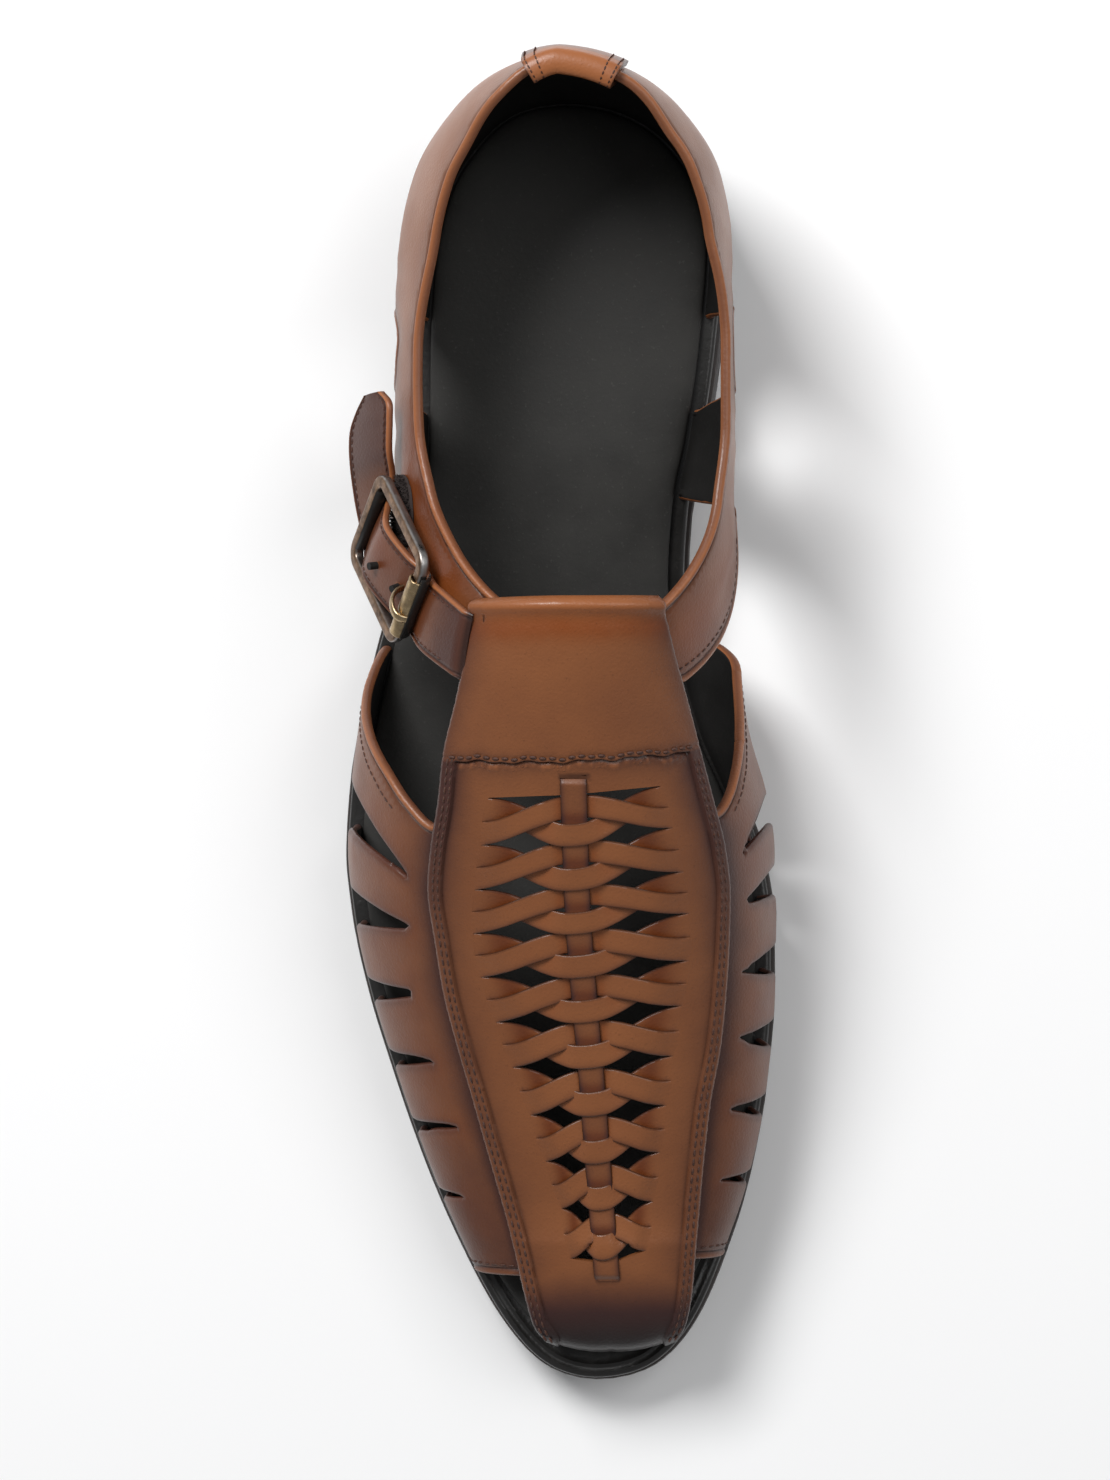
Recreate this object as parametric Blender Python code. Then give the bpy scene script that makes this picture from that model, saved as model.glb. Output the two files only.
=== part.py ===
"""Right-foot closed sandal of the peshawari kind, made of named solids.

Lengths below are millimetres. A station is a distance forward from the back of the sole, x grows towards
the inner side of the foot, and heights stand on the floor. In the part's own frame the toe points to -Y,
the inner side to +X, and the origin is on the floor under the middle of the heel's flat.
"""
import math
from collections import namedtuple

import bmesh
import bpy
import numpy as np

MM = 0.001

# ---- driving dimensions --------------------------------------------------------------------------
SOLE_LENGTH = 296.6
ORIGIN_STATION = 65.0
OUTSOLE_THICKNESS = 5.0
MIDSOLE_THICKNESS = 3.0
MIDSOLE_INSET = 0.9
FOOTBED_THICKNESS = 2.6
FOOTBED_CLEARANCE = 0.6
TOE_SETBACK = 3.8
GAP = 0.3
STAND_GAP = 0.45
WALL = 2.0
RIM_WIDTH = 6.9
RIM_STEP = 0.5
PANEL_RECESS = 0.6
EDGE_BEVEL = 0.7

HEEL_AXIS = 37.0
TOE_AXIS = 262.0
UPPER_FRONT = 288.0
LOW_SHARE = 0.22
RIDGE_SLOPE_AT_TOE = -0.24

LATERAL = -1
MEDIAL = 1

# ---- short tables, a row for each section --------------------------------------------------------
SoleRow = namedtuple("SoleRow", "station lateral medial")
SOLE_OUTLINE = (
    SoleRow(0.0, -1.5, -1.5),
    SoleRow(2.6, -14.4, 12.9),
    SoleRow(10.3, -23.9, 24.6),
    SoleRow(23.4, -31.9, 32.8),
    SoleRow(37.9, -35.4, 35.3),
    SoleRow(58.0, -36.8, 33.6),
    SoleRow(80.0, -37.2, 30.4),
    SoleRow(96.0, -39.2, 27.2),
    SoleRow(112.0, -42.2, 26.2),
    SoleRow(130.0, -47.2, 28.0),
    SoleRow(145.0, -50.8, 31.8),
    SoleRow(160.0, -53.3, 38.2),
    SoleRow(175.0, -54.2, 43.7),
    SoleRow(190.0, -52.7, 45.9),
    SoleRow(206.0, -49.3, 46.1),
    SoleRow(227.0, -42.8, 44.5),
    SoleRow(250.0, -34.3, 40.4),
    SoleRow(268.0, -25.9, 34.8),
    SoleRow(284.0, -16.3, 27.4),
    SoleRow(293.5, -6.6, 18.0),
    SoleRow(296.6, 5.0, 5.0),
)

ProfileRow = namedtuple("ProfileRow", "station height")
SOLE_UNDERSIDE = (
    ProfileRow(0.0, 17.5),
    ProfileRow(40.0, 16.4),
    ProfileRow(80.0, 13.6),
    ProfileRow(105.0, 9.0),
    ProfileRow(130.0, 4.3),
    ProfileRow(152.0, 1.2),
    ProfileRow(172.0, 0.0),
    ProfileRow(214.0, 0.0),
    ProfileRow(238.0, 1.1),
    ProfileRow(262.0, 3.6),
    ProfileRow(282.0, 6.6),
    ProfileRow(296.6, 9.2),
)

# Sections of the upper's outer form. Up to HEEL_AXIS a station turns about the heel's axis, past
# TOE_AXIS about the toe's. "over" is how far a side leans out past its base, "rise" how high that is,
# "full" how square the side is above it.
SectionRow = namedtuple(
    "SectionRow",
    "station setback lateral_over medial_over rise ridge_x ridge_z lateral_full medial_full")
UPPER_SECTIONS = (
    SectionRow(0.0, 1.6, 4.4, 4.4, 20.0, 0.0, 104.0, 2.8, 2.8),
    SectionRow(10.0, 1.7, 4.6, 4.4, 19.0, 0.0, 103.0, 1.85, 2.62),
    SectionRow(22.0, 1.8, 4.8, 4.1, 18.0, 0.0, 102.0, 1.46, 2.02),
    SectionRow(37.0, 2.0, 4.4, 3.7, 18.0, 0.0, 101.0, 1.38, 2.12),
    SectionRow(62.0, 2.0, 3.8, 6.4, 18.0, 0.0, 99.0, 1.58, 3.6),
    SectionRow(80.0, 2.0, 3.6, 9.4, 18.0, 0.3, 96.0, 1.64, 3.5),
    SectionRow(93.0, 2.0, 2.8, 11.8, 18.0, 0.7, 93.5, 1.6, 3.3),
    SectionRow(112.0, 2.0, 1.4, 14.3, 16.0, 2.0, 89.0, 1.68, 2.6),
    SectionRow(135.0, 2.0, 0.3, 11.8, 14.0, 3.0, 82.0, 1.95, 2.2),
    SectionRow(160.0, 2.0, -0.5, 8.2, 12.0, 3.5, 73.0, 2.05, 2.2),
    SectionRow(185.0, 2.0, -0.6, 3.0, 10.0, 4.2, 62.0, 2.1, 2.3),
    SectionRow(210.0, 2.0, -0.6, 2.2, 9.0, 5.2, 51.5, 2.15, 2.3),
    SectionRow(236.0, 2.0, -0.5, 2.0, 8.0, 7.0, 42.5, 2.15, 2.3),
    SectionRow(262.0, 2.0, -0.2, 1.2, 6.0, 8.5, 35.5, 2.2, 2.3),
    SectionRow(276.0, 1.6, 0.2, 0.5, 5.0, 8.5, 35.5, 2.2, 2.3),
    SectionRow(281.0, 4.4, 0.3, 0.4, 4.0, 8.5, 35.5, 2.2, 2.3),
    SectionRow(288.0, 7.4, 0.4, 0.4, 3.5, 8.5, 35.5, 2.2, 2.2),
)

CollarRow = namedtuple("CollarRow", "station lateral medial")
COLLAR_LINE = (
    CollarRow(-20.0, 80.0, 80.0),
    CollarRow(4.0, 79.5, 79.5),
    CollarRow(20.0, 75.5, 75.5),
    CollarRow(40.0, 70.5, 70.5),
    CollarRow(62.0, 67.0, 67.0),
    CollarRow(80.0, 66.5, 67.0),
    CollarRow(94.0, 69.5, 70.0),
    CollarRow(106.0, 75.5, 74.5),
    CollarRow(117.6, 82.5, 80.0),
)
COLLAR_SIDE_X = 12.0

WallPoint = namedtuple("WallPoint", "station above_base")
REAR_OPENING = (
    WallPoint(54.5, -3.0),
    WallPoint(52.5, 9.0),
    WallPoint(52.8, 17.0),
    WallPoint(56.0, 23.5),
    WallPoint(61.0, 26.0),
    WallPoint(66.0, 23.0),
    WallPoint(69.5, 15.0),
    WallPoint(71.5, 6.0),
    WallPoint(72.5, -3.0),
)

SidePoint = namedtuple("SidePoint", "station height")
# Waist openings, seen from the side: up the band, along the instep strap's lower edge, down the vamp
# panel's edge, then down the wing's rear edge.
WAIST_OPENING = {
    LATERAL: (
        SidePoint(93.5, 6.0), SidePoint(94.5, 25.0), SidePoint(97.5, 36.0), SidePoint(104.0, 43.0),
        SidePoint(110.0, 48.0), SidePoint(114.5, 56.0), SidePoint(118.0, 64.5), SidePoint(124.0, 71.0),
        SidePoint(130.0, 75.5), SidePoint(134.0, 77.0), SidePoint(140.0, 74.0), SidePoint(147.0, 71.5),
        SidePoint(154.0, 68.5), SidePoint(161.0, 65.5), SidePoint(166.0, 63.5), SidePoint(167.0, 61.0),
        SidePoint(162.0, 58.5), SidePoint(154.5, 54.0), SidePoint(147.0, 45.5), SidePoint(138.0, 33.0),
        SidePoint(130.0, 22.0), SidePoint(126.5, 14.0), SidePoint(125.5, 6.0)),
    MEDIAL: (
        SidePoint(93.5, 6.0), SidePoint(94.5, 25.0), SidePoint(97.5, 36.0), SidePoint(104.0, 41.5),
        SidePoint(110.0, 44.5), SidePoint(117.0, 48.0), SidePoint(124.5, 54.5), SidePoint(130.6, 61.5),
        SidePoint(135.5, 68.5), SidePoint(137.0, 70.5), SidePoint(147.0, 66.5), SidePoint(156.0, 63.0),
        SidePoint(162.5, 59.5), SidePoint(163.5, 56.5), SidePoint(155.0, 49.5), SidePoint(147.0, 40.5),
        SidePoint(139.0, 33.0), SidePoint(132.0, 27.0), SidePoint(126.0, 20.0), SidePoint(122.0, 13.0),
        SidePoint(121.0, 6.0)),
}

# Slashes in the wings: where each starts and ends on the wing's outer side, and its point.
SlashRow = namedtuple("SlashRow", "side rear front tip_x tip_station")
WING_SLASHES = (
    SlashRow(LATERAL, 158.5, 169.5, -34.2, 179.6),
    SlashRow(LATERAL, 183.0, 190.8, -33.1, 191.0),
    SlashRow(LATERAL, 203.0, 209.2, -30.5, 205.5),
    SlashRow(LATERAL, 219.6, 225.2, -26.9, 220.7),
    SlashRow(LATERAL, 235.6, 241.4, -23.2, 236.0),
    SlashRow(LATERAL, 251.4, 256.9, -19.7, 252.2),
    SlashRow(MEDIAL, 157.5, 167.0, 39.2, 174.6),
    SlashRow(MEDIAL, 178.0, 184.0, 39.4, 185.4),
    SlashRow(MEDIAL, 196.0, 201.8, 39.1, 200.4),
    SlashRow(MEDIAL, 213.0, 218.8, 38.0, 215.8),
    SlashRow(MEDIAL, 229.6, 235.3, 36.4, 231.8),
    SlashRow(MEDIAL, 246.2, 251.6, 34.6, 248.5),
)
SLASH_OUTER_X = {LATERAL: -50.0, MEDIAL: 46.0}

PlanPoint = namedtuple("PlanPoint", "x station")
TOE_CORNERS = (
    (PlanPoint(-45.0, 271.4), PlanPoint(-9.4, 270.8), PlanPoint(-7.6, 278.0), PlanPoint(-5.8, 283.0),
     PlanPoint(-3.0, 286.0), PlanPoint(-3.0, 302.0), PlanPoint(-45.0, 302.0)),
    (PlanPoint(52.0, 268.0), PlanPoint(26.6, 266.6), PlanPoint(25.8, 275.0), PlanPoint(24.0, 281.0),
     PlanPoint(21.0, 284.0), PlanPoint(21.0, 302.0), PlanPoint(52.0, 302.0)),
    (PlanPoint(-30.0, 281.2), PlanPoint(40.0, 281.2), PlanPoint(40.0, 303.0), PlanPoint(-30.0, 303.0)),
)

PlugRow = namedtuple("PlugRow", "station lateral medial")
PLUG_EDGES = (
    PlugRow(117.6, -18.8, 23.5),
    PlugRow(128.5, -20.0, 25.7),
    PlugRow(138.5, -22.3, 28.3),
    PlugRow(152.0, -25.9, 31.6),
    PlugRow(162.0, -27.3, 34.1),
    PlugRow(172.0, -29.3, 36.4),
    PlugRow(182.0, -30.4, 37.4),
    PlugRow(193.0, -29.2, 37.1),
    PlugRow(205.0, -27.6, 36.3),
    PlugRow(217.0, -24.9, 35.0),
    PlugRow(230.0, -21.5, 32.6),
    PlugRow(246.0, -17.4, 30.7),
    PlugRow(262.0, -13.3, 29.2),
    PlugRow(275.0, -10.6, 28.0),
    PlugRow(282.0, -8.8, 26.6),
    PlugRow(286.0, -6.4, 24.6),
)
PLUG_TOP = 117.6
PLUG_LIP = 0.1
PLUG_SEAM = 152.0
PLUG_END = 286.0
PLUG_BOW = 3.3
PLUG_BORDER = 2.8
PANEL_THICKNESS = 1.2
BORDER_THICKNESS = 2.0
BACKING = 5.5
THROAT = (128.0, 274.0)

# The weave's holes: each row names the outer tips of the pair of holes on the two sides of the thong.
HoleRow = namedtuple("HoleRow", "lateral_station lateral_x medial_station medial_x")
WEAVE_HOLES = (
    HoleRow(161.0, -16.0, 158.3, 22.6),
    HoleRow(171.4, -17.4, 167.4, 24.8),
    HoleRow(181.4, -19.3, 177.2, 26.9),
    HoleRow(191.3, -20.1, 186.5, 28.2),
    HoleRow(201.2, -18.7, 197.2, 27.8),
    HoleRow(211.4, -15.5, 207.4, 26.2),
    HoleRow(221.7, -12.0, 218.9, 24.1),
    HoleRow(232.7, -8.2, 230.2, 22.5),
    HoleRow(243.4, -4.9, 241.1, 20.9),
    HoleRow(254.4, -1.6, 252.6, 19.2),
    HoleRow(266.0, 0.3, 264.0, 17.6),
)
ThongRow = namedtuple("ThongRow", "station x")
THONG_LINE = (
    ThongRow(156.5, 3.5),
    ThongRow(184.0, 3.7),
    ThongRow(204.0, 4.6),
    ThongRow(224.0, 5.9),
    ThongRow(246.0, 7.1),
    ThongRow(271.0, 8.7),
)
THONG_HALF = 3.0
STRIP_HALF = 2.3
HOLE_HALF = 2.4
HOLE_END = 4.8

# Buckle: the frame is a flat rectangle with its corners named by where they lie on the outer side.
FRAME_CENTRE = (-38.8, 108.2, 59.75)
FRAME_ALONG = (10.9, 19.8, 17.5)
FRAME_ACROSS = (-7.9, 16.8, -13.9)
FRAME_BAR = 1.3
FRAME_SIDES = 8
FRAME_CORNER = 3.0
ROLLER_RADIUS = 1.95
ROLLER_HALF = 8.6
LOOP_RADIUS = 2.1
LOOP_HALF = 7.5

# Strap: its two edges in the frame's own directions, from the apron through the buckle to the rounded
# end. "along" runs from the loop's bar to the roller's bar, "across" towards the toe, "out" away from the
# foot, all from the frame's centre.
StrapRow = namedtuple("StrapRow", "top_along top_across top_out low_along low_across low_out")
STRAP_ROWS = (
    StrapRow(28.9, -11.0, -5.1, 34.8, 3.4, -5.2),
    StrapRow(21.0, -9.2, -3.9, 24.1, 6.4, -2.7),
    StrapRow(16.6, -8.0, -3.2, 17.0, 8.2, -3.0),
    StrapRow(12.0, -7.4, -3.1, 12.0, 9.3, -3.1),
    StrapRow(6.4, -7.4, -0.9, 6.2, 9.4, -1.1),
    StrapRow(-2.7, -7.3, 0.7, -3.4, 9.4, 0.9),
    StrapRow(-9.4, -7.0, -1.9, -10.0, 9.4, -2.1),
    StrapRow(-13.0, -7.9, -3.4, -14.6, 9.0, -3.6),
    StrapRow(-15.3, -11.5, -3.2, -22.6, 3.2, -3.2),
    StrapRow(-17.1, -17.1, -0.6, -27.2, -3.8, 0.6),
    StrapRow(-21.3, -22.0, 0.8, -31.0, -9.4, 1.4),
    StrapRow(-24.9, -24.0, 0.8, -32.2, -14.6, 1.1),
    StrapRow(-28.7, -23.7, 0.7, -31.9, -19.9, 0.8),
)
STRAP_THICKNESS = 1.6
STRAP_EDGE = 0.5
STRAP_CROWN = 0.1

PATCH_STATIONS = (88.0, 94.0, 100.0, 105.5)
PATCH_HEIGHTS = (51.0, 65.0)
PATCH_THICKNESS = 1.0

TAB_TURNS = (-4.6, 0.0, 4.6, 9.2)
TAB_CLEARANCE = 0.5
TAB_OUTER = 10.5
TAB_INNER = 8.0
TAB_THICKNESS = 1.3

# ---- finishes ------------------------------------------------------------------------------------
Finish = namedtuple("Finish", "name color roughness metallic")
TAN_LEATHER = Finish("tan_leather", (0.25, 0.10, 0.04), 0.42, 0.0)
BLACK_COVER = Finish("black_cover", (0.012, 0.011, 0.010), 0.5, 0.0)
FOOTBED_COVER = Finish("footbed_cover", (0.02, 0.018, 0.016), 0.75, 0.0)
SOLE_RUBBER = Finish("sole_rubber", (0.14, 0.075, 0.05), 0.6, 0.0)
HEEL_RUBBER = Finish("heel_rubber", (0.04, 0.028, 0.028), 0.6, 0.0)
BRASS = Finish("antique_brass", (0.32, 0.24, 0.14), 0.35, 1.0)
FUZZ = Finish("fuzzy_patch", (0.02, 0.018, 0.018), 0.95, 0.0)


# ---- small tools ---------------------------------------------------------------------------------
def ease(rows, field, x):
    """Value of one column at x, through the rows, with slopes that never overshoot."""
    xs = [row.station for row in rows]
    ys = [getattr(row, field) for row in rows]
    x = min(max(x, xs[0]), xs[-1])
    steps = [(ys[i + 1] - ys[i]) / (xs[i + 1] - xs[i]) for i in range(len(xs) - 1)]
    slopes = [steps[0]]
    for before, after in zip(steps, steps[1:]):
        slopes.append(0.0 if before * after <= 0.0 else 2.0 * before * after / (before + after))
    slopes.append(steps[-1])
    k = min(max(sum(1 for edge in xs if edge <= x) - 1, 0), len(xs) - 2)
    span = xs[k + 1] - xs[k]
    t = (x - xs[k]) / span
    return ((1 + 2 * t) * (1 - t) ** 2 * ys[k] + t * (1 - t) ** 2 * span * slopes[k]
            + t * t * (3 - 2 * t) * ys[k + 1] + t * t * (t - 1) * span * slopes[k + 1])


def turn_of(station):
    """Where a station lies on the round of the sole, 0 at the heel's back and 1 at the toe's tip."""
    share = min(max(station / SOLE_LENGTH, 0.0), 1.0)
    return math.acos(1.0 - 2.0 * share) / math.pi


def station_of(turn):
    """The station at a turn."""
    return SOLE_LENGTH * (1.0 - math.cos(math.pi * turn)) / 2.0


TurnRow = namedtuple("TurnRow", "station lateral medial")
SOLE_BY_TURN = tuple(TurnRow(turn_of(row.station), row.lateral, row.medial) for row in SOLE_OUTLINE)


def sole_x(side, turn):
    """x of the sole's edge on one side at a turn. Past an end it runs on to the other side."""
    if turn < 0.0:
        return sole_x(-side, -turn)
    if turn > 1.0:
        return sole_x(-side, 2.0 - turn)
    return ease(SOLE_BY_TURN, "lateral" if side == LATERAL else "medial", turn)


def edge_point(side, turn, inset=0.0):
    """Plan point (x, station) on the sole's outline, moved in by inset."""
    step = 0.004
    ahead = np.array([sole_x(side, turn + step), station_of(turn + step)])
    behind = np.array([sole_x(side, turn - step), station_of(turn - step)])
    along = (ahead - behind) / np.linalg.norm(ahead - behind)
    inward = np.array([-along[1], along[0]]) * side
    return np.array([sole_x(side, turn), station_of(turn)]) + inward * inset


def underside(station):
    """Height of the outsole's lower face."""
    return ease(SOLE_UNDERSIDE, "height", station)


def midsole_top(station):
    """Height that the upper and the footbed stand on."""
    return underside(station) + OUTSOLE_THICKNESS + GAP + MIDSOLE_THICKNESS + STAND_GAP


def place(x, station, height):
    """A point of the shoe in the part's frame, in metres."""
    return (x * MM, (ORIGIN_STATION - station) * MM, height * MM)


def make_material(finish):
    """The Principled material of a finish, made once."""
    known = bpy.data.materials.get(finish.name)
    if known:
        return known
    material = bpy.data.materials.new(finish.name)
    material.use_nodes = True
    shader = material.node_tree.nodes["Principled BSDF"]
    shader.inputs["Base Color"].default_value = (*finish.color, 1.0)
    shader.inputs["Roughness"].default_value = finish.roughness
    shader.inputs["Metallic"].default_value = finish.metallic
    return material


def make_object(name, points, faces, finish=None, crease=35.0):
    """A closed mesh object from shoe points (x, station, height) and faces, with its normals outward."""
    mesh = bpy.data.meshes.new(name)
    mesh.from_pydata([place(*point) for point in points], [], faces)
    work = bmesh.new()
    work.from_mesh(mesh)
    bmesh.ops.remove_doubles(work, verts=work.verts, dist=1e-6)
    bmesh.ops.dissolve_degenerate(work, edges=work.edges, dist=1e-6)
    bmesh.ops.triangulate(work, faces=work.faces)
    bmesh.ops.recalc_face_normals(work, faces=work.faces)
    work.to_mesh(mesh)
    work.free()
    shoe_object = bpy.data.objects.new(name, mesh)
    bpy.context.scene.collection.objects.link(shoe_object)
    if finish:
        mesh.materials.append(make_material(finish))
        mesh.shade_smooth()
        mesh.set_sharp_from_angle(angle=math.radians(crease))
    return shoe_object


def make_cutter(name, points, faces):
    """A closed mesh that only cuts."""
    cutter = make_object(name, points, faces)
    cutter.hide_render = True
    cutter.display_type = "WIRE"
    return cutter


def boolean(target, tool, operation="DIFFERENCE"):
    """Cut a tool out of an object, or join it on, with the exact solver."""
    modifier = target.modifiers.new(tool.name, "BOOLEAN")
    modifier.operation = operation
    modifier.solver = "EXACT"
    modifier.object = tool


def grid_faces(rows, columns, first=0, flip=False):
    """Quads of a grid of points listed row by row."""
    faces = []
    for i in range(rows - 1):
        for j in range(columns - 1):
            a = first + i * columns + j
            quad = (a, a + 1, a + columns + 1, a + columns)
            faces.append(quad[::-1] if flip else quad)
    return faces


def prism(sections):
    """Points and faces of a closed solid through rings of equal count, with flat ends."""
    points = [point for ring in sections for point in ring]
    count = len(sections[0])
    faces = []
    for k in range(len(sections) - 1):
        for j in range(count):
            a = k * count + j
            b = k * count + (j + 1) % count
            faces.append((a, b, b + count, a + count))
    faces.append(tuple(range(count))[::-1])
    faces.append(tuple((len(sections) - 1) * count + j for j in range(count)))
    return points, faces


# ---- sole ----------------------------------------------------------------------------------------
MIDSOLE_TURNS = 56


def make_midsole():
    """Midsole: a layer between two heights that depend on the station alone.

    Each turn gives one point on the outer side and one on the inner side, so the top and the underside
    are strips that stay flat across the foot.
    """
    turns = [k / (MIDSOLE_TURNS - 1) for k in range(MIDSOLE_TURNS)]
    points = []
    faces = []
    for lift in (OUTSOLE_THICKNESS + GAP, OUTSOLE_THICKNESS + GAP + MIDSOLE_THICKNESS):
        for side in (LATERAL, MEDIAL):
            for turn in turns:
                x, station = edge_point(side, turn, MIDSOLE_INSET)
                points.append((x, station, underside(station) + lift))
    ring = 2 * MIDSOLE_TURNS
    for a in list(range(MIDSOLE_TURNS - 1)) + list(range(MIDSOLE_TURNS, ring - 1)):
        faces.append((a, a + 1, a + 1 + ring, a + ring))
    for a in (0, MIDSOLE_TURNS - 1):
        faces.append((a, a + MIDSOLE_TURNS, a + MIDSOLE_TURNS + ring, a + ring))
    for start in (0, ring):
        for j in range(MIDSOLE_TURNS - 1):
            a = start + j
            faces.append((a, a + 1, a + MIDSOLE_TURNS + 1, a + MIDSOLE_TURNS))
    return make_object("midsole", points, faces, BLACK_COVER)


WaveRow = namedtuple("WaveRow", "station phase")
TREAD_BANDS = tuple(WaveRow(256.5 - 11.38 * k, math.pi * k) for k in range(10))
HEEL_BANDS = tuple(WaveRow(44.5 - 12.0 * k, math.pi * k) for k in range(4))
WAVE_LENGTH = 31.0
WAVE_HEIGHT = 1.8
BAND_HALF = 3.0
BAND_DEPTH = 0.8


def wave(x, phase):
    """How far a tread band swings forward at x."""
    return WAVE_HEIGHT * math.sin(2.0 * math.pi * x / WAVE_LENGTH + phase)


def calming(share):
    """How much of a tread band's wave and depth is left at a share of the way across."""
    return min(1.0, 4.0 * share, 4.0 * (1.0 - share))


TreadLine = namedtuple("TreadLine", "station phase swing depth")


def tread_lines(bands, first, last, extra):
    """Lines across the tread: three for each sunk band, and plain ones at the extra stations."""
    lines = [TreadLine(station, 0.0, 0.0, 0.0) for station in extra]
    for band in bands:
        for offset, depth in ((-BAND_HALF, 0.0), (0.0, BAND_DEPTH), (BAND_HALF, 0.0)):
            lines.append(TreadLine(band.station + offset, band.phase, 1.0, depth))
    lines.sort(key=lambda line: line.station)
    return [line for line in lines if first <= line.station <= last]


def turn_at_inset(side, station, inset):
    """The turn whose moved-in edge point has a given station."""
    low, high = 0.0, 1.0
    for _ in range(30):
        middle = (low + high) / 2.0
        if edge_point(side, middle, inset)[1] < station:
            low = middle
        else:
            high = middle
    return (low + high) / 2.0


PANEL_COLUMNS = 10
TREAD_END = 289.0
WAIST_LINES = [8.0, 16.0, 26.0, 38.0, 52.0, 66.0, 80.0, 90.0, 99.0, 108.0, 117.0, 126.0, 135.0, 144.0]
TOE_LINES = [264.0, 269.0, 274.0, 278.5, 282.5, 286.0, TREAD_END]


def make_outsole():
    """Outsole: flat top, bevelled edge, rim band and a sunk panel with wavy tread bands."""
    panel_inset = RIM_WIDTH + RIM_STEP
    lines = tread_lines(TREAD_BANDS, 0.0, TREAD_END, WAIST_LINES + TOE_LINES)
    turns = {side: [0.0] + [turn_at_inset(side, line.station, panel_inset) for line in lines] + [1.0]
             for side in (LATERAL, MEDIAL)}
    levels = [
        (EDGE_BEVEL, OUTSOLE_THICKNESS),
        (0.0, OUTSOLE_THICKNESS - EDGE_BEVEL),
        (0.0, EDGE_BEVEL),
        (EDGE_BEVEL, 0.0),
        (RIM_WIDTH, 0.0),
        (panel_inset, PANEL_RECESS),
    ]
    count = len(lines) + 2
    ring = 2 * count
    points = []
    for inset, lift in levels:
        for side in (LATERAL, MEDIAL):
            for turn in turns[side]:
                x, station = edge_point(side, turn, inset)
                points.append((x, station, underside(station) + lift))
    faces = []
    for k in range(len(levels) - 1):
        for start in (0, count):
            for j in range(count - 1):
                a = k * ring + start + j
                faces.append((a, a + 1, a + 1 + ring, a + ring))
        for j in (0, count - 1):
            a = k * ring + j
            faces.append((a, a + count, a + count + ring, a + ring))
    for j in range(count - 1):
        faces.append((j, j + 1, count + j + 1, count + j))
    last = (len(levels) - 1) * ring
    inner = len(points)
    for i, line in enumerate(lines):
        left = points[last + 1 + i]
        right = points[last + count + 1 + i]
        for k in range(1, PANEL_COLUMNS):
            share = k / PANEL_COLUMNS
            x = left[0] + (right[0] - left[0]) * share
            calm = calming(share)
            station = left[1] + (right[1] - left[1]) * share + calm * line.swing * wave(x, line.phase)
            points.append((x, station, underside(station) + PANEL_RECESS + line.depth * calm))

    def panel_row(i):
        """Point numbers across the panel at one line, edge to edge."""
        middle = [inner + i * (PANEL_COLUMNS - 1) + k for k in range(PANEL_COLUMNS - 1)]
        return [last + 1 + i] + middle + [last + count + 1 + i]

    for i in range(len(lines) - 1):
        here = panel_row(i)
        ahead = panel_row(i + 1)
        for k in range(PANEL_COLUMNS):
            faces.append((here[k], here[k + 1], ahead[k + 1], ahead[k]))
    faces.append(tuple([last, last + count] + panel_row(0)[::-1]))
    faces.append(tuple([last + count - 1, last + ring - 1] + panel_row(len(lines) - 1)[::-1]))
    return make_object("outsole", points, faces, SOLE_RUBBER)


BREAST_LATERAL = 80.5
BREAST_MEDIAL = 86.5
BREAST_HOLLOW = 6.0
HEEL_COLUMNS = 11
HEEL_LENGTH = 80.0
HEEL_START = 2.0
HEEL_LINES = [3.4, 53.0, 60.0, 71.0, HEEL_LENGTH]


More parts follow.
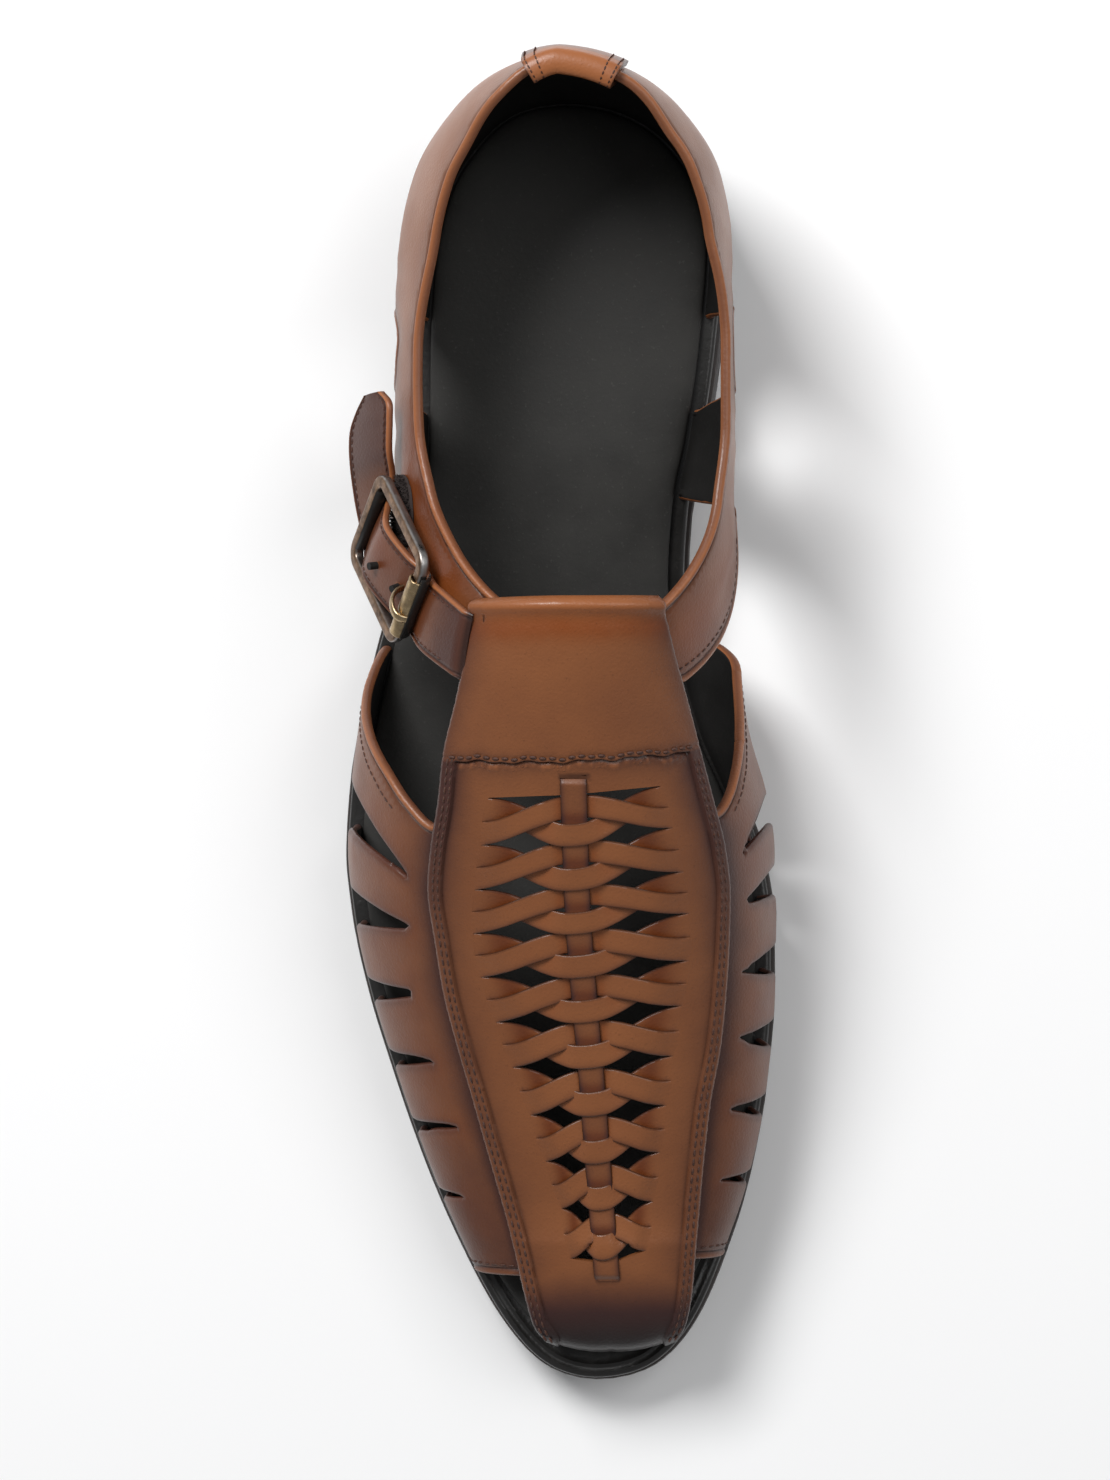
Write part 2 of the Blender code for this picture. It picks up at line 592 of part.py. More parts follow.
def make_heel():
    """Heel block: the sole's outline behind a hollow breast, with wavy bands sunk in its tread."""
    lines = tread_lines(HEEL_BANDS, HEEL_START, HEEL_LENGTH, HEEL_LINES)
    rows = [line.station / HEEL_LENGTH for line in lines]
    count = len(lines) + 1
    ends = {LATERAL: BREAST_LATERAL, MEDIAL: BREAST_MEDIAL}
    levels = [(EDGE_BEVEL, None), (0.0, EDGE_BEVEL), (0.0, 0.0)]
    points = []
    for level, (inset, lift) in enumerate(levels):
        for side in (LATERAL, MEDIAL):
            for share in [0.0] + rows:
                turn = turn_at_inset(side, share * ends[side], inset) if share else 0.0
                x, station = edge_point(side, turn, inset)
                top = underside(station) - GAP
                height = 0.0 if level == 0 else (lift if level == 1 else top)
                points.append((x, station, height))
    ring = 2 * count
    faces = []
    for k in range(len(levels) - 1):
        for start in (0, count):
            for j in range(count - 1):
                a = k * ring + start + j
                faces.append((a, a + 1, a + 1 + ring, a + ring))
        faces.append((k * ring, k * ring + count, k * ring + count + ring, k * ring + ring))
    grids = []
    for level in (0, 2):
        grid = []
        for i, line in enumerate(lines):
            left = points[level * ring + 1 + i]
            right = points[level * ring + count + 1 + i]
            row = [level * ring + 1 + i]
            for k in range(1, HEEL_COLUMNS):
                share = k / HEEL_COLUMNS
                x = left[0] + (right[0] - left[0]) * share
                calm = calming(share)
                hollow = BREAST_HOLLOW * 4.0 * share * (1.0 - share) * rows[i] ** 3
                station = left[1] + (right[1] - left[1]) * share - hollow
                if level == 0:
                    station += calm * line.swing * wave(x, line.phase)
                    height = line.depth * calm
                else:
                    height = underside(station) - GAP
                row.append(len(points))
                points.append((x, station, height))
            row.append(level * ring + count + 1 + i)
            grid.append(row)
        for here, ahead in zip(grid, grid[1:]):
            for k in range(HEEL_COLUMNS):
                faces.append((here[k], here[k + 1], ahead[k + 1], ahead[k]))
        faces.append(tuple([level * ring, level * ring + count] + grid[0][::-1]))
        grids.append(grid)
    low = grids[0][-1]
    high = grids[1][-1]
    middle = [ring + count - 1, 2 * ring - 1]
    faces.append((low[0], low[1], high[1], high[0], middle[0]))
    for k in range(1, HEEL_COLUMNS - 1):
        faces.append((low[k], low[k + 1], high[k + 1], high[k]))
    faces.append((low[-2], low[-1], middle[1], high[-1], high[-2]))
    return make_object("heel", points, faces, HEEL_RUBBER)


# ---- the upper's form ----------------------------------------------------------------------------
class Section:
    """One half section of the upper's outer form, in an upright plane through the last's axis."""

    def __init__(self, station, side):
        self.side = side
        self.axis_x = ease(UPPER_SECTIONS, "ridge_x", station)
        self.axis_station = min(max(station, HEEL_AXIS), TOE_AXIS)
        self.slope = 0.0
        angle = 0.0
        if station < HEEL_AXIS:
            angle = -math.pi / 2.0 * (1.0 - station / HEEL_AXIS)
        if station > TOE_AXIS:
            angle = math.pi / 2.0 * (station - TOE_AXIS) / (UPPER_FRONT - TOE_AXIS)
            self.slope = RIDGE_SLOPE_AT_TOE * math.sin(angle)
        self.out = np.array([side * math.cos(angle), math.sin(angle)])
        setback = ease(UPPER_SECTIONS, "setback", station)
        self.reach = base_reach(self.axis_x, self.axis_station, self.out, setback)
        prefix = "lateral" if side == LATERAL else "medial"
        self.over = ease(UPPER_SECTIONS, prefix + "_over", station)
        self.full = ease(UPPER_SECTIONS, prefix + "_full", station)
        self.rise = ease(UPPER_SECTIONS, "rise", station)
        self.top = ease(UPPER_SECTIONS, "ridge_z", station)
        foot = self.axis_station + self.out[1] * self.reach
        self.base = midsole_top(foot)

    def at(self, share):
        """Shoe point at a share of the way from the base (0) to the ridge (1)."""
        widest = self.reach + self.over
        if share < LOW_SHARE:
            t = share / LOW_SHARE
            away = self.reach + self.over * math.sin(math.pi / 2.0 * t)
            height = self.base + self.rise * t
        else:
            angle = math.pi / 2.0 * (share - LOW_SHARE) / (1.0 - LOW_SHARE)
            away = widest * max(math.cos(angle), 0.0) ** (2.0 / self.full)
            waist = self.base + self.rise
            top = self.top + self.slope * away
            height = waist + (top - waist) * math.sin(angle) ** (2.0 / self.full)
        x = self.axis_x + self.out[0] * away
        return np.array([x, self.axis_station + self.out[1] * away, height])


def base_reach(axis_x, axis_station, out, setback):
    """How far the upper's base lies from an axis, looking along out. Turns run on round both ends."""
    axis = np.array([axis_x, axis_station])
    low, high = (0.5, 1.5) if axis_station > SOLE_LENGTH / 2.0 else (-0.5, 0.5)
    across = np.array([-out[1], out[0]])
    for _ in range(32):
        middle = (low + high) / 2.0
        if np.dot(edge_point(MEDIAL, middle, setback) - axis, across) < 0.0:
            low = middle
        else:
            high = middle
    return float(np.dot(edge_point(MEDIAL, (low + high) / 2.0, setback) - axis, out))


STATION_STEP = 0.4
SHARE_STEP = 0.01
NEAR_RIDGE = 0.97
SECTION_CACHE = {}


def section(station, side):
    """The half section at a station, kept once made."""
    key = (round(station, 2), side)
    if key not in SECTION_CACHE:
        SECTION_CACHE[key] = Section(key[0], side)
    return SECTION_CACHE[key]


def form_point(station, side, share, offset=0.0):
    """Point on the upper's outer form, moved out along its normal by offset."""
    here = section(station, side).at(share)
    if not offset:
        return here
    clear = min(share, NEAR_RIDGE)
    ahead = section(min(station + STATION_STEP, UPPER_FRONT), side).at(clear)
    behind = section(max(station - STATION_STEP, 0.0), side).at(clear)
    higher = section(station, side).at(min(share + SHARE_STEP, 1.0))
    lower = section(station, side).at(max(share - SHARE_STEP, 0.0))
    normal = np.cross(ahead - behind, higher - lower) * side
    return here + normal / np.linalg.norm(normal) * offset


def locate(x, station):
    """Station, side and share of the form's point above a plan point, by turning about the axes."""
    ridge = ease(UPPER_SECTIONS, "ridge_x", min(max(station, HEEL_AXIS), TOE_AXIS))
    side = MEDIAL if x >= ridge else LATERAL
    turned = station
    away = abs(x - ridge)
    if station > TOE_AXIS:
        beyond = station - TOE_AXIS
        angle = math.atan2(beyond, away)
        turned = TOE_AXIS + (UPPER_FRONT - TOE_AXIS) * angle / (math.pi / 2.0)
        away = math.hypot(beyond, away)
    half = section(turned, side)
    ratio = min(away / (half.reach + half.over), 0.9999)
    angle = math.acos(ratio ** (half.full / 2.0))
    return turned, side, LOW_SHARE + (1.0 - LOW_SHARE) * angle / (math.pi / 2.0)


def foot_of(x, station, lift):
    """Station, side and share of the form's point that, moved out by lift, stands over a plan point."""
    target = np.array([x, station])
    foot = target.copy()
    for _ in range(3):
        raised = form_point(*locate(*foot), lift)
        foot += target - raised[:2]
    return locate(*foot)


UPPER_STATIONS = (
    [0.0, 4.6, 9.2, 14.0, 21.0, 29.0, 37.0, 48.0, 60.0, 73.0, 87.0, 100.0, 112.0, 124.0, 137.0, 150.0]
    + [163.0, 176.0, 190.0, 205.0, 220.0, 235.0, 249.0, 262.0, 268.0, 274.0, 279.0, 284.0, 288.0])
UPPER_SHARES = [0.0, LOW_SHARE, 0.34, 0.46, 0.59, 0.72, 0.86, 1.0]


def shell_sheet(offset):
    """The form as a closed dome of points, from base to base over the ridge, at an offset."""
    rows = []
    for station in UPPER_STATIONS:
        across = [(LATERAL, share) for share in UPPER_SHARES]
        across += [(MEDIAL, share) for share in UPPER_SHARES[-2::-1]]
        row = []
        for side, share in across:
            point = form_point(station, side, share, offset)
            floor = section(station, side).base
            if share == 0.0:
                point[2] = floor
            row.append(point)
        rows.append(row)
    for row in (rows[0], rows[-1]):
        for j in range(len(UPPER_SHARES) - 1):
            row[j] = row[-1 - j] = (row[j] + row[-1 - j]) / 2.0
    return rows


def make_shell(name):
    """The upper before it is cut open: a domed wall, open underneath."""
    outer = shell_sheet(0.0)
    inner = shell_sheet(-WALL)
    columns = len(outer[0])
    count = len(outer)
    points = [point for row in outer for point in row]
    lower = len(points)
    points += [point for row in inner for point in row]
    faces = grid_faces(count, columns) + grid_faces(count, columns, lower, flip=True)
    for i in range(count - 1):
        for j in (0, columns - 1):
            a = i * columns + j
            faces.append((a, a + columns, a + columns + lower, a + lower))
    return make_object(name, points, faces, TAN_LEATHER)


# How far the cutters reach past the upper: below it, above it, and out from and near the middle.
CUT_LOW = -10.0
CUT_TOP = 120.0
CUT_OUT = 90.0
CUT_NEAR = 4.0
THROAT_LOW = 12.0
THROAT_STEPS = 14


def collar_cutter():
    """Everything above the collar line, behind the throat."""
    rows = []
    for row in COLLAR_LINE:
        for x, height in ((-CUT_OUT, row.lateral), (-COLLAR_SIDE_X, row.lateral),
                          (COLLAR_SIDE_X, row.medial), (CUT_OUT, row.medial)):
            rows.append((x, row.station, height))
    count = len(COLLAR_LINE)
    points = rows + [(x, station, CUT_TOP) for x, station, height in rows]
    faces = grid_faces(count, 4) + grid_faces(count, 4, len(rows), flip=True)
    high = len(rows)
    for i in range(count - 1):
        for j in (0, 3):
            a = i * 4 + j
            faces.append((a, a + 4, a + 4 + high, a + high))
    for j in range(3):
        for i in (0, count - 1):
            a = i * 4 + j
            faces.append((a, a + 1, a + 1 + high, a + high))
    return make_cutter("collar_cutter", points, faces)


def wall_prism(name, side, outline):
    """A cutter through one side wall: a side-view outline run straight across."""
    rings = [[(side * x, station, height) for station, height in outline] for x in (CUT_NEAR, CUT_OUT)]
    points, faces = prism(rings)
    return make_cutter(name, points, faces)


def plan_prism(name, outline, low=CUT_LOW):
    """A cutter straight down through a plan outline."""
    rings = [[(x, station, height) for x, station in outline] for height in (low, CUT_TOP)]
    points, faces = prism(rings)
    return make_cutter(name, points, faces)


def join_solids(solids):
    """Points and faces of several solids as one list."""
    points = []
    faces = []
    for more_points, more_faces in solids:
        first = len(points)
        points += more_points
        faces += [tuple(first + k for k in face) for face in more_faces]
    return points, faces


# A slash's rear edge bends at a point between its corners, and its mouth runs on past the wing.
SLASH_BEND = (0.45, 0.05, 0.5)
SLASH_REACH = 1.7


def slash_cutter():
    """All the wing slashes: wedges that widen outwards from their tips."""
    wedges = []
    for row in WING_SLASHES:
        outer = SLASH_OUTER_X[row.side]
        tip = np.array([row.tip_x, row.tip_station])
        rear = np.array([outer, row.rear])
        front = np.array([outer, row.front])
        bend = rear * SLASH_BEND[0] + front * SLASH_BEND[1] + tip * SLASH_BEND[2]
        far = [tip + (corner - tip) * SLASH_REACH for corner in (rear, front)]
        outline = [tip, front, far[1], far[0], rear, bend]
        rings = [[(x, station, height) for x, station in outline] for height in (CUT_LOW, CUT_TOP)]
        wedges.append(prism(rings))
    points, faces = join_solids(wedges)
    return make_cutter("slash_cutter", points, faces)


def throat_cutter():
    """The opening under the vamp panel, leaving a backing along the panel's edges."""
    span = THROAT[1] - THROAT[0]
    stations = [THROAT[0] + span * k / THROAT_STEPS for k in range(THROAT_STEPS + 1)]
    left = [(ease(PLUG_EDGES, "lateral", station) + BACKING, station) for station in stations]
    right = [(ease(PLUG_EDGES, "medial", station) - BACKING, station) for station in stations]
    return plan_prism("throat_cutter", left + right[::-1], low=THROAT_LOW)


def make_upper():
    """The hollow upper with its collar, side openings, throat, slashes and toe corners cut."""
    upper = make_shell("upper")
    boolean(upper, collar_cutter())
    rear = [(p.station, midsole_top(p.station) + p.above_base) for p in REAR_OPENING]
    for side, word in ((LATERAL, "lateral"), (MEDIAL, "medial")):
        boolean(upper, wall_prism("rear_opening_" + word, side, rear))
        waist = [(p.station, p.height) for p in WAIST_OPENING[side]]
        boolean(upper, wall_prism("waist_opening_" + word, side, waist))
    boolean(upper, throat_cutter())
    boolean(upper, slash_cutter())
    for number, corner in enumerate(TOE_CORNERS):
        boolean(upper, plan_prism("toe_corner_%d" % number, corner))
    return upper


def make_footbed():
    """The insole: a slab inside the upper's base."""
    inset = WALL + FOOTBED_CLEARANCE
    rings = []
    for lift in (0.0, FOOTBED_THICKNESS):
        ring = []
        for side, stations in ((LATERAL, UPPER_STATIONS), (MEDIAL, UPPER_STATIONS[::-1])):
            for station in stations:
                half = section(station, side)
                past_axis = max(0.0, (station - TOE_AXIS) / (UPPER_FRONT - TOE_AXIS))
                away = half.reach - inset - TOE_SETBACK * past_axis
                x = half.axis_x + half.out[0] * away
                forward = half.axis_station + half.out[1] * away
                ring.append((x, forward, midsole_top(forward) + lift))
        rings.append(ring)
    count = len(rings[0])
    points = rings[0] + rings[1]
    faces = []
    for j in range(count):
        after = (j + 1) % count
        faces.append((j, after, after + count, j + count))
    for start in (0, count):
        for j in range(count // 2 - 1):
            other = count - 1 - j
            faces.append((start + j, start + j + 1, start + other - 1, start + other))
    return make_object("footbed", points, faces, FOOTBED_COVER)


# ---- vamp panel ----------------------------------------------------------------------------------
PLUG_STATIONS = ([PLUG_TOP, 121.0, 127.0, 135.0, 143.5, PLUG_SEAM, PLUG_SEAM]
                 + [166.0, 180.0, 195.0, 210.0, 226.0, 244.0, 262.0]
                 + [269.0, 275.0, 279.0, 282.5, PLUG_END])
PLUG_COLUMNS = 4


def plug_bow(station, share):
    """How far a row of the panel bows forward, growing to the rounded front edge."""
    grown = max(0.0, (station - TOE_AXIS) / (PLUG_END - TOE_AXIS))
    return PLUG_BOW * grown ** 2 * 4.0 * share * (1.0 - share)


def make_plug():
    """Apron, raised border and sunk panel in one wall, laid over the upper's form."""
    top_rows = []
    low_rows = []
    seam_passed = False
    for i, station in enumerate(PLUG_STATIONS):
        seam_passed = seam_passed or (i > 0 and PLUG_STATIONS[i - 1] == station)
        left = ease(PLUG_EDGES, "lateral", station)
        right = ease(PLUG_EDGES, "medial", station)
        inner = [left + PLUG_BORDER, right - PLUG_BORDER]
        xs = [left, left + PLUG_BORDER / 2.0, inner[0]]
        xs += [inner[0] + (inner[1] - inner[0]) * k / (PLUG_COLUMNS + 1) for k in range(PLUG_COLUMNS + 2)]
        xs += [inner[1], right - PLUG_BORDER / 2.0, right]
        last = len(xs) - 1
        tops = []
        lows = []
        for j, x in enumerate(xs):
            raised = j < 3 or j > last - 3 or not seam_passed
            lift = GAP + (BORDER_THICKNESS if raised else PANEL_THICKNESS)
            forward = station + plug_bow(station, (x - left) / (right - left))
            foot = foot_of(x, forward, GAP + BORDER_THICKNESS)
            tops.append(form_point(*foot, lift))
            lows.append(form_point(*foot, GAP))
        top_rows.append(tops)
        low_rows.append(lows)
    for point in low_rows[-1]:
        point[2] = midsole_top(point[1]) + PLUG_LIP
    rows = len(top_rows)
    columns = len(top_rows[0])
    points = [point for row in top_rows for point in row] + [point for row in low_rows for point in row]
    under = rows * columns
    faces = grid_faces(rows, columns) + grid_faces(rows, columns, under, flip=True)
    for i in range(rows - 1):
        for j in (0, columns - 1):
            a = i * columns + j
            faces.append((a, a + columns, a + columns + under, a + under))
    for j in range(columns - 1):
        for i in (0, rows - 1):
            a = i * columns + j
            faces.append((a, a + 1, a + 1 + under, a + under))
    return make_object("vamp_panel", points, faces, TAN_LEATHER)


# Where a hole's two middle corners lie between its end and its tip, and how high its cutter runs.
HOLE_REAR = 0.35
HOLE_FRONT = 0.5
HOLE_SPAN = (20.0, 100.0)


def hole_cutter():
    """The weave's holes: a pair of four-cornered holes for each row."""
    holes = []
    for row in WEAVE_HOLES:
        centre = (row.lateral_station + row.medial_station) / 2.0
        middle = ease(THONG_LINE, "x", centre)
        for side, tip_x, tip_station in ((LATERAL, row.lateral_x, row.lateral_station),
                                         (MEDIAL, row.medial_x, row.medial_station)):
            end_x = middle + side * HOLE_END
            rear_x = end_x + (tip_x - end_x) * HOLE_REAR
            front_x = end_x + (tip_x - end_x) * HOLE_FRONT
            outline = [(tip_x, tip_station), (rear_x, centre - HOLE_HALF), (end_x, centre),
                       (front_x, centre + HOLE_HALF)]
            holes.append(prism([[(x, station, height) for x, station in outline] for height in HOLE_SPAN]))
    points, faces = join_solids(holes)
    return make_cutter("hole_cutter", points, faces)


def ribbon(path, half):
    """Points and faces of a flat strip over the form: path rows are x, station, lower and upper lift."""
    rings = []
    for i, (x, station, low, high) in enumerate(path):
        before = path[max(i - 1, 0)]
        after = path[min(i + 1, len(path) - 1)]
        along = np.array([after[0] - before[0], after[1] - before[1]])
        across = np.array([-along[1], along[0]]) / np.linalg.norm(along) * half
        ring = []
        for sign, lifts in ((1, (low, high)), (-1, (high, low))):
            foot = foot_of(x + sign * across[0], station + sign * across[1], FLUSH)
            ring += [form_point(*foot, lift) for lift in lifts]
        rings.append(ring)
    return prism(rings)


FLOOR = GAP + 0.5
FLUSH = GAP + PANEL_THICKNESS + 0.15
STRIP_SWING = 1.15


def strip_path(k, bend, lifts):
    """Centre line of a strip across the weave between hole rows k and k + 1, bent at its middle."""
    here = WEAVE_HOLES[k]
    after = WEAVE_HOLES[k + 1]
    left = (here.lateral_station + after.lateral_station) / 2.0
    right = (here.medial_station + after.medial_station) / 2.0
    middle_x = ease(THONG_LINE, "x", (left + right) / 2.0)
    left_x = (here.lateral_x + after.lateral_x) / 2.0
    right_x = (here.medial_x + after.medial_x) / 2.0
    path = []
    for share, lift in lifts:
        end_x, end_station = (left_x, left) if share < 0 else (right_x, right)
        reach = abs(share)
        x = middle_x + (end_x - middle_x) * reach
        station = (left + right) / 2.0 + (end_station - (left + right) / 2.0) * reach
        swing = math.cos(math.pi * min(reach * STRIP_SWING, 1.0))
        path.append((x, station + bend * swing, FLOOR, FLUSH + lift))
    return path


# Reach from the thong and lift over the panel, along each kind of strip; then along the thong, how far
# from a pair's middle it dips and rises, and its lift there.
OVER_STRIP = ((-0.98, 0.1), (-0.62, 0.9), (-0.3, 0.6), (0.3, 0.6), (0.62, 0.9), (0.98, 0.1))
LENS_STRIP = ((-0.46, 0.1), (-0.16, 1.4), (0.16, 1.4), (0.46, 0.1))
THONG_WAVE = ((-2.9, 1.15), (2.6, 0.2))
THONG_TOP_LIFT = 0.2
THONG_END_LIFT = 0.1
STRIP_BEND = 2.75
LENS_HALF = 2.07


def make_weave_strips():
    """The raised strips: frowns under the thong, smiles over it, and the thong itself."""
    pairs = range(len(WEAVE_HOLES) - 1)
    over = join_solids([ribbon(strip_path(k, -STRIP_BEND, OVER_STRIP), STRIP_HALF) for k in pairs])
    lens = join_solids([ribbon(strip_path(k, STRIP_BEND, LENS_STRIP), LENS_HALF) for k in pairs])
    first = THONG_LINE[0]
    last = THONG_LINE[-1]
    path = [(first.x, first.station, FLOOR, FLUSH + THONG_TOP_LIFT)]
    for here, after in zip(WEAVE_HOLES, WEAVE_HOLES[1:]):
        left = (here.lateral_station + after.lateral_station) / 2.0
        right = (here.medial_station + after.medial_station) / 2.0
        middle = (left + right) / 2.0
        for shift, lift in THONG_WAVE:
            station = middle + shift
            path.append((ease(THONG_LINE, "x", station), station, FLOOR, FLUSH + lift))
    path.append((last.x, last.station, FLOOR, FLUSH + THONG_END_LIFT))
    thong = ribbon(path, THONG_HALF)
    tools = []
    for name, (points, faces) in (("over_strips", over), ("lens_strips", lens), ("thong_strip", thong)):
        tools.append(make_cutter(name, points, faces))
    return tools


# ---- collar tab, strap and buckle ----------------------------------------------------------------
def collar_height(station):
    """Height of the collar's cut edge near the heel, straight between the table's rows."""
    return float(np.interp(station, [row.station for row in COLLAR_LINE], [row.medial for row in COLLAR_LINE]))


def point_at_height(station, side, height, offset):
    """The form's point that, moved out by offset, reaches a height."""
    low, high = 0.0, 1.0
    for _ in range(24):
        middle = (low + high) / 2.0
        if form_point(station, side, middle, offset)[2] < height:
            low = middle
        else:
            high = middle
    return form_point(station, side, (low + high) / 2.0, offset)


def wall_point(turned, height, offset):
    """Point at a height on the heel's wall, moved out by offset.

    turned counts stations round the back, negative on the outer side.
    """
    side = LATERAL if turned < 0.0 else MEDIAL
    return point_at_height(abs(turned), side, height, offset)


def make_back_tab():
    """Small piece folded over the collar at the heel."""
    near = TAB_CLEARANCE
    far = TAB_CLEARANCE + TAB_THICKNESS
    rings = []
    for turned in TAB_TURNS:
        edge = wall_point(turned, COLLAR_LINE[1].medial, 0.0)
        top = collar_height(edge[1]) + TAB_CLEARANCE
        crest = top + TAB_THICKNESS
        rings.append([
            wall_point(turned, top - TAB_OUTER, near),
            wall_point(turned, top - TAB_OUTER, far),
            wall_point(turned, top - TAB_OUTER / 2.0, far),
            wall_point(turned, top, far),
            wall_point(turned, crest, near),
            wall_point(turned, crest, -WALL - near),
            wall_point(turned, top, -WALL - far),
            wall_point(turned, top - TAB_INNER, -WALL - far),
            wall_point(turned, top - TAB_INNER, -WALL - near),
            wall_point(turned, top, -WALL - near),
            wall_point(turned, top, near),
            wall_point(turned, top - TAB_OUTER / 2.0, near),
        ])
    points, faces = prism(rings)
    return make_object("back_tab", points, faces, TAN_LEATHER)


def make_strap():
    """The buckle strap, a flat strip between its two edges, with a slightly crowned face."""
    centre, along, across, normal, _, _ = frame_axes()
    tops = [centre + along * row.top_along + across * row.top_across + normal * row.top_out
            for row in STRAP_ROWS]
    lows = [centre + along * row.low_along + across * row.low_across + normal * row.low_out
            for row in STRAP_ROWS]
    rings = []
    for i in range(len(STRAP_ROWS)):
        before = max(i - 1, 0)
        after = min(i + 1, len(STRAP_ROWS) - 1)
        run = (tops[after] + lows[after]) - (tops[before] + lows[before])
        width = lows[i] - tops[i]
        face = np.cross(run, width)
        face *= STRAP_THICKNESS / 2.0 / np.linalg.norm(face)
        if face[0] > 0.0:
            face = -face
        upper_edge = [tops[i] - face, tops[i] + face * STRAP_EDGE, tops[i] + width * STRAP_CROWN + face]
        lower_edge = [lows[i] - width * STRAP_CROWN + face, lows[i] + face * STRAP_EDGE, lows[i] - face]
        rings.append(upper_edge + lower_edge)
    points, faces = prism(rings)
    return make_object("buckle_strap", points, faces, TAN_LEATHER)


def frame_axes():
    """Centre, unit directions and half lengths of the buckle's frame."""
    centre = np.array(FRAME_CENTRE)
    along = np.array(FRAME_ALONG)
    across = np.array(FRAME_ACROSS)
    length = np.linalg.norm(along)
    width = np.linalg.norm(across)
    along = along / length
    across = across - along * np.dot(along, across)
    across = across / np.linalg.norm(across)
    normal = np.cross(along, across)
    if normal[0] > 0.0:
        normal = -normal
    return centre, along, across, normal, length / 2.0, width / 2.0


def make_frame():
    """The buckle's frame: a round bar bent into a rectangle with small corners."""
    centre, along, across, normal, long_half, wide_half = frame_axes()
    path = []
    for a_sign, c_sign in ((1, 1), (1, -1), (-1, -1), (-1, 1)):
        corner = along * a_sign * (long_half - FRAME_CORNER) + across * c_sign * (wide_half - FRAME_CORNER)
        turns = (0.0, 45.0, 90.0)
        ends = (across * c_sign, along * a_sign)
        if a_sign * c_sign < 0:
            ends = (along * a_sign, across * c_sign)
        for turn in turns:
            out = ends[0] * math.cos(math.radians(turn)) + ends[1] * math.sin(math.radians(turn))
            path.append((centre + corner + out * FRAME_CORNER, out))
    count = FRAME_SIDES
    points = []
    for place_at, out in path:
        for k in range(count):
            angle = 2.0 * math.pi * (k + 0.5) / count
            points.append(place_at + (out * math.cos(angle) + normal * math.sin(angle)) * FRAME_BAR)
    faces = []
    total = len(path)
    for i in range(total):
        for k in range(count):
            a = i * count + k
            b = i * count + (k + 1) % count
            shift = ((i + 1) % total - i) * count
            faces.append((a, b, b + shift, a + shift))
    return make_object("buckle_frame", points, faces, BRASS)


TUBE_SIDES = 12


def tube(name, middle, axis, normal, half, inner, outer, finish):
    """A short tube round a bar."""
    count = TUBE_SIDES
    side = np.cross(axis, normal)
    points = []
    for radius, reach in ((outer, -half), (outer, half), (inner, half), (inner, -half)):
        for k in range(count):
            angle = 2.0 * math.pi * k / count
            points.append(middle + axis * reach + (side * math.cos(angle) + normal * math.sin(angle)) * radius)
    faces = []
    for level in range(4):
        for k in range(count):
            a = level * count + k
            b = level * count + (k + 1) % count
            shift = ((level + 1) % 4 - level) * count
            faces.append((a, b, b + shift, a + shift))
    return make_object(name, points, faces, finish)


# How far back from the roller's bar the prong lies, and how high over it.
PRONG_LINE = ((2.35, 0.2), (2.9, 1.6), (4.4, 3.0), (6.2, 3.9), (8.0, 4.1))
PRONG_SIDES = 6
PRONG_RADIUS = 0.6


def make_prong():
    """The prong: a thin bent rod from the roller to the strap's hole."""
    centre, along, across, normal, long_half, _ = frame_axes()
    bar = centre + along * long_half
    rings = []
    for back, up in PRONG_LINE:
        middle = bar - along * back + normal * up
        ring = []
        for k in range(PRONG_SIDES):
            angle = 2.0 * math.pi * k / PRONG_SIDES
            ring.append(middle + (across * math.cos(angle) + normal * math.sin(angle)) * PRONG_RADIUS)
        rings.append(ring)
    points, faces = prism(rings)
    return make_object("buckle_prong", points, faces, BRASS)


def make_patch():
    """The fuzzy fastening patch on the outer quarter, under the strap's end."""
    rings = []
    for station in PATCH_STATIONS:
        ring = []
        for lift, heights in ((GAP, (0.0, 0.5, 1.0)), (GAP + PATCH_THICKNESS, (1.0, 0.5, 0.0))):
            for share in heights:
                height = PATCH_HEIGHTS[0] + (PATCH_HEIGHTS[1] - PATCH_HEIGHTS[0]) * share
                ring.append(point_at_height(station, LATERAL, height, lift))
        rings.append(ring)
    points, faces = prism(rings)
    return make_object("hook_patch", points, faces, FUZZ)


def clear_scene():
    """Remove whatever the file holds."""
    for old in list(bpy.data.objects):
        bpy.data.objects.remove(old)


def main():
    """Build the shoe."""
    clear_scene()
    make_outsole()
    make_heel()
    make_midsole()
    make_footbed()
    make_upper()
    panel = make_plug()
    boolean(panel, hole_cutter())
    for tool in make_weave_strips():
        boolean(panel, tool, "UNION")
    make_back_tab()
    make_strap()
    make_frame()
    centre, along, across, normal, long_half, _ = frame_axes()
    tube("buckle_roller", centre + along * long_half, across, normal, ROLLER_HALF,
         FRAME_BAR + GAP, ROLLER_RADIUS, BRASS)
    tube("buckle_loop", centre - along * long_half, across, normal, LOOP_HALF,
         FRAME_BAR + GAP, LOOP_RADIUS, BLACK_COVER)
    make_prong()
    make_patch()


main()
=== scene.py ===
"""Looks of a right-foot peshawari chappal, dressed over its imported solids.

Shapes are worked out in the shoe's own millimetres: x grows towards the inner side of the foot, a station is
a distance forward from the back of the sole, and heights stand on the floor. Meshes are written in metres in
the part's frame, where the toe points to -Y and the origin is on the floor under the heel's flat.
"""

import logging
import math
from collections import namedtuple
from dataclasses import dataclass, field
from enum import Enum
from typing import Callable

import bmesh
import bpy
import numpy as np
from bpy.types import ID, Material, Mesh, Node, NodeSocket, NodeTree, Object
from mathutils import Matrix, Vector, kdtree


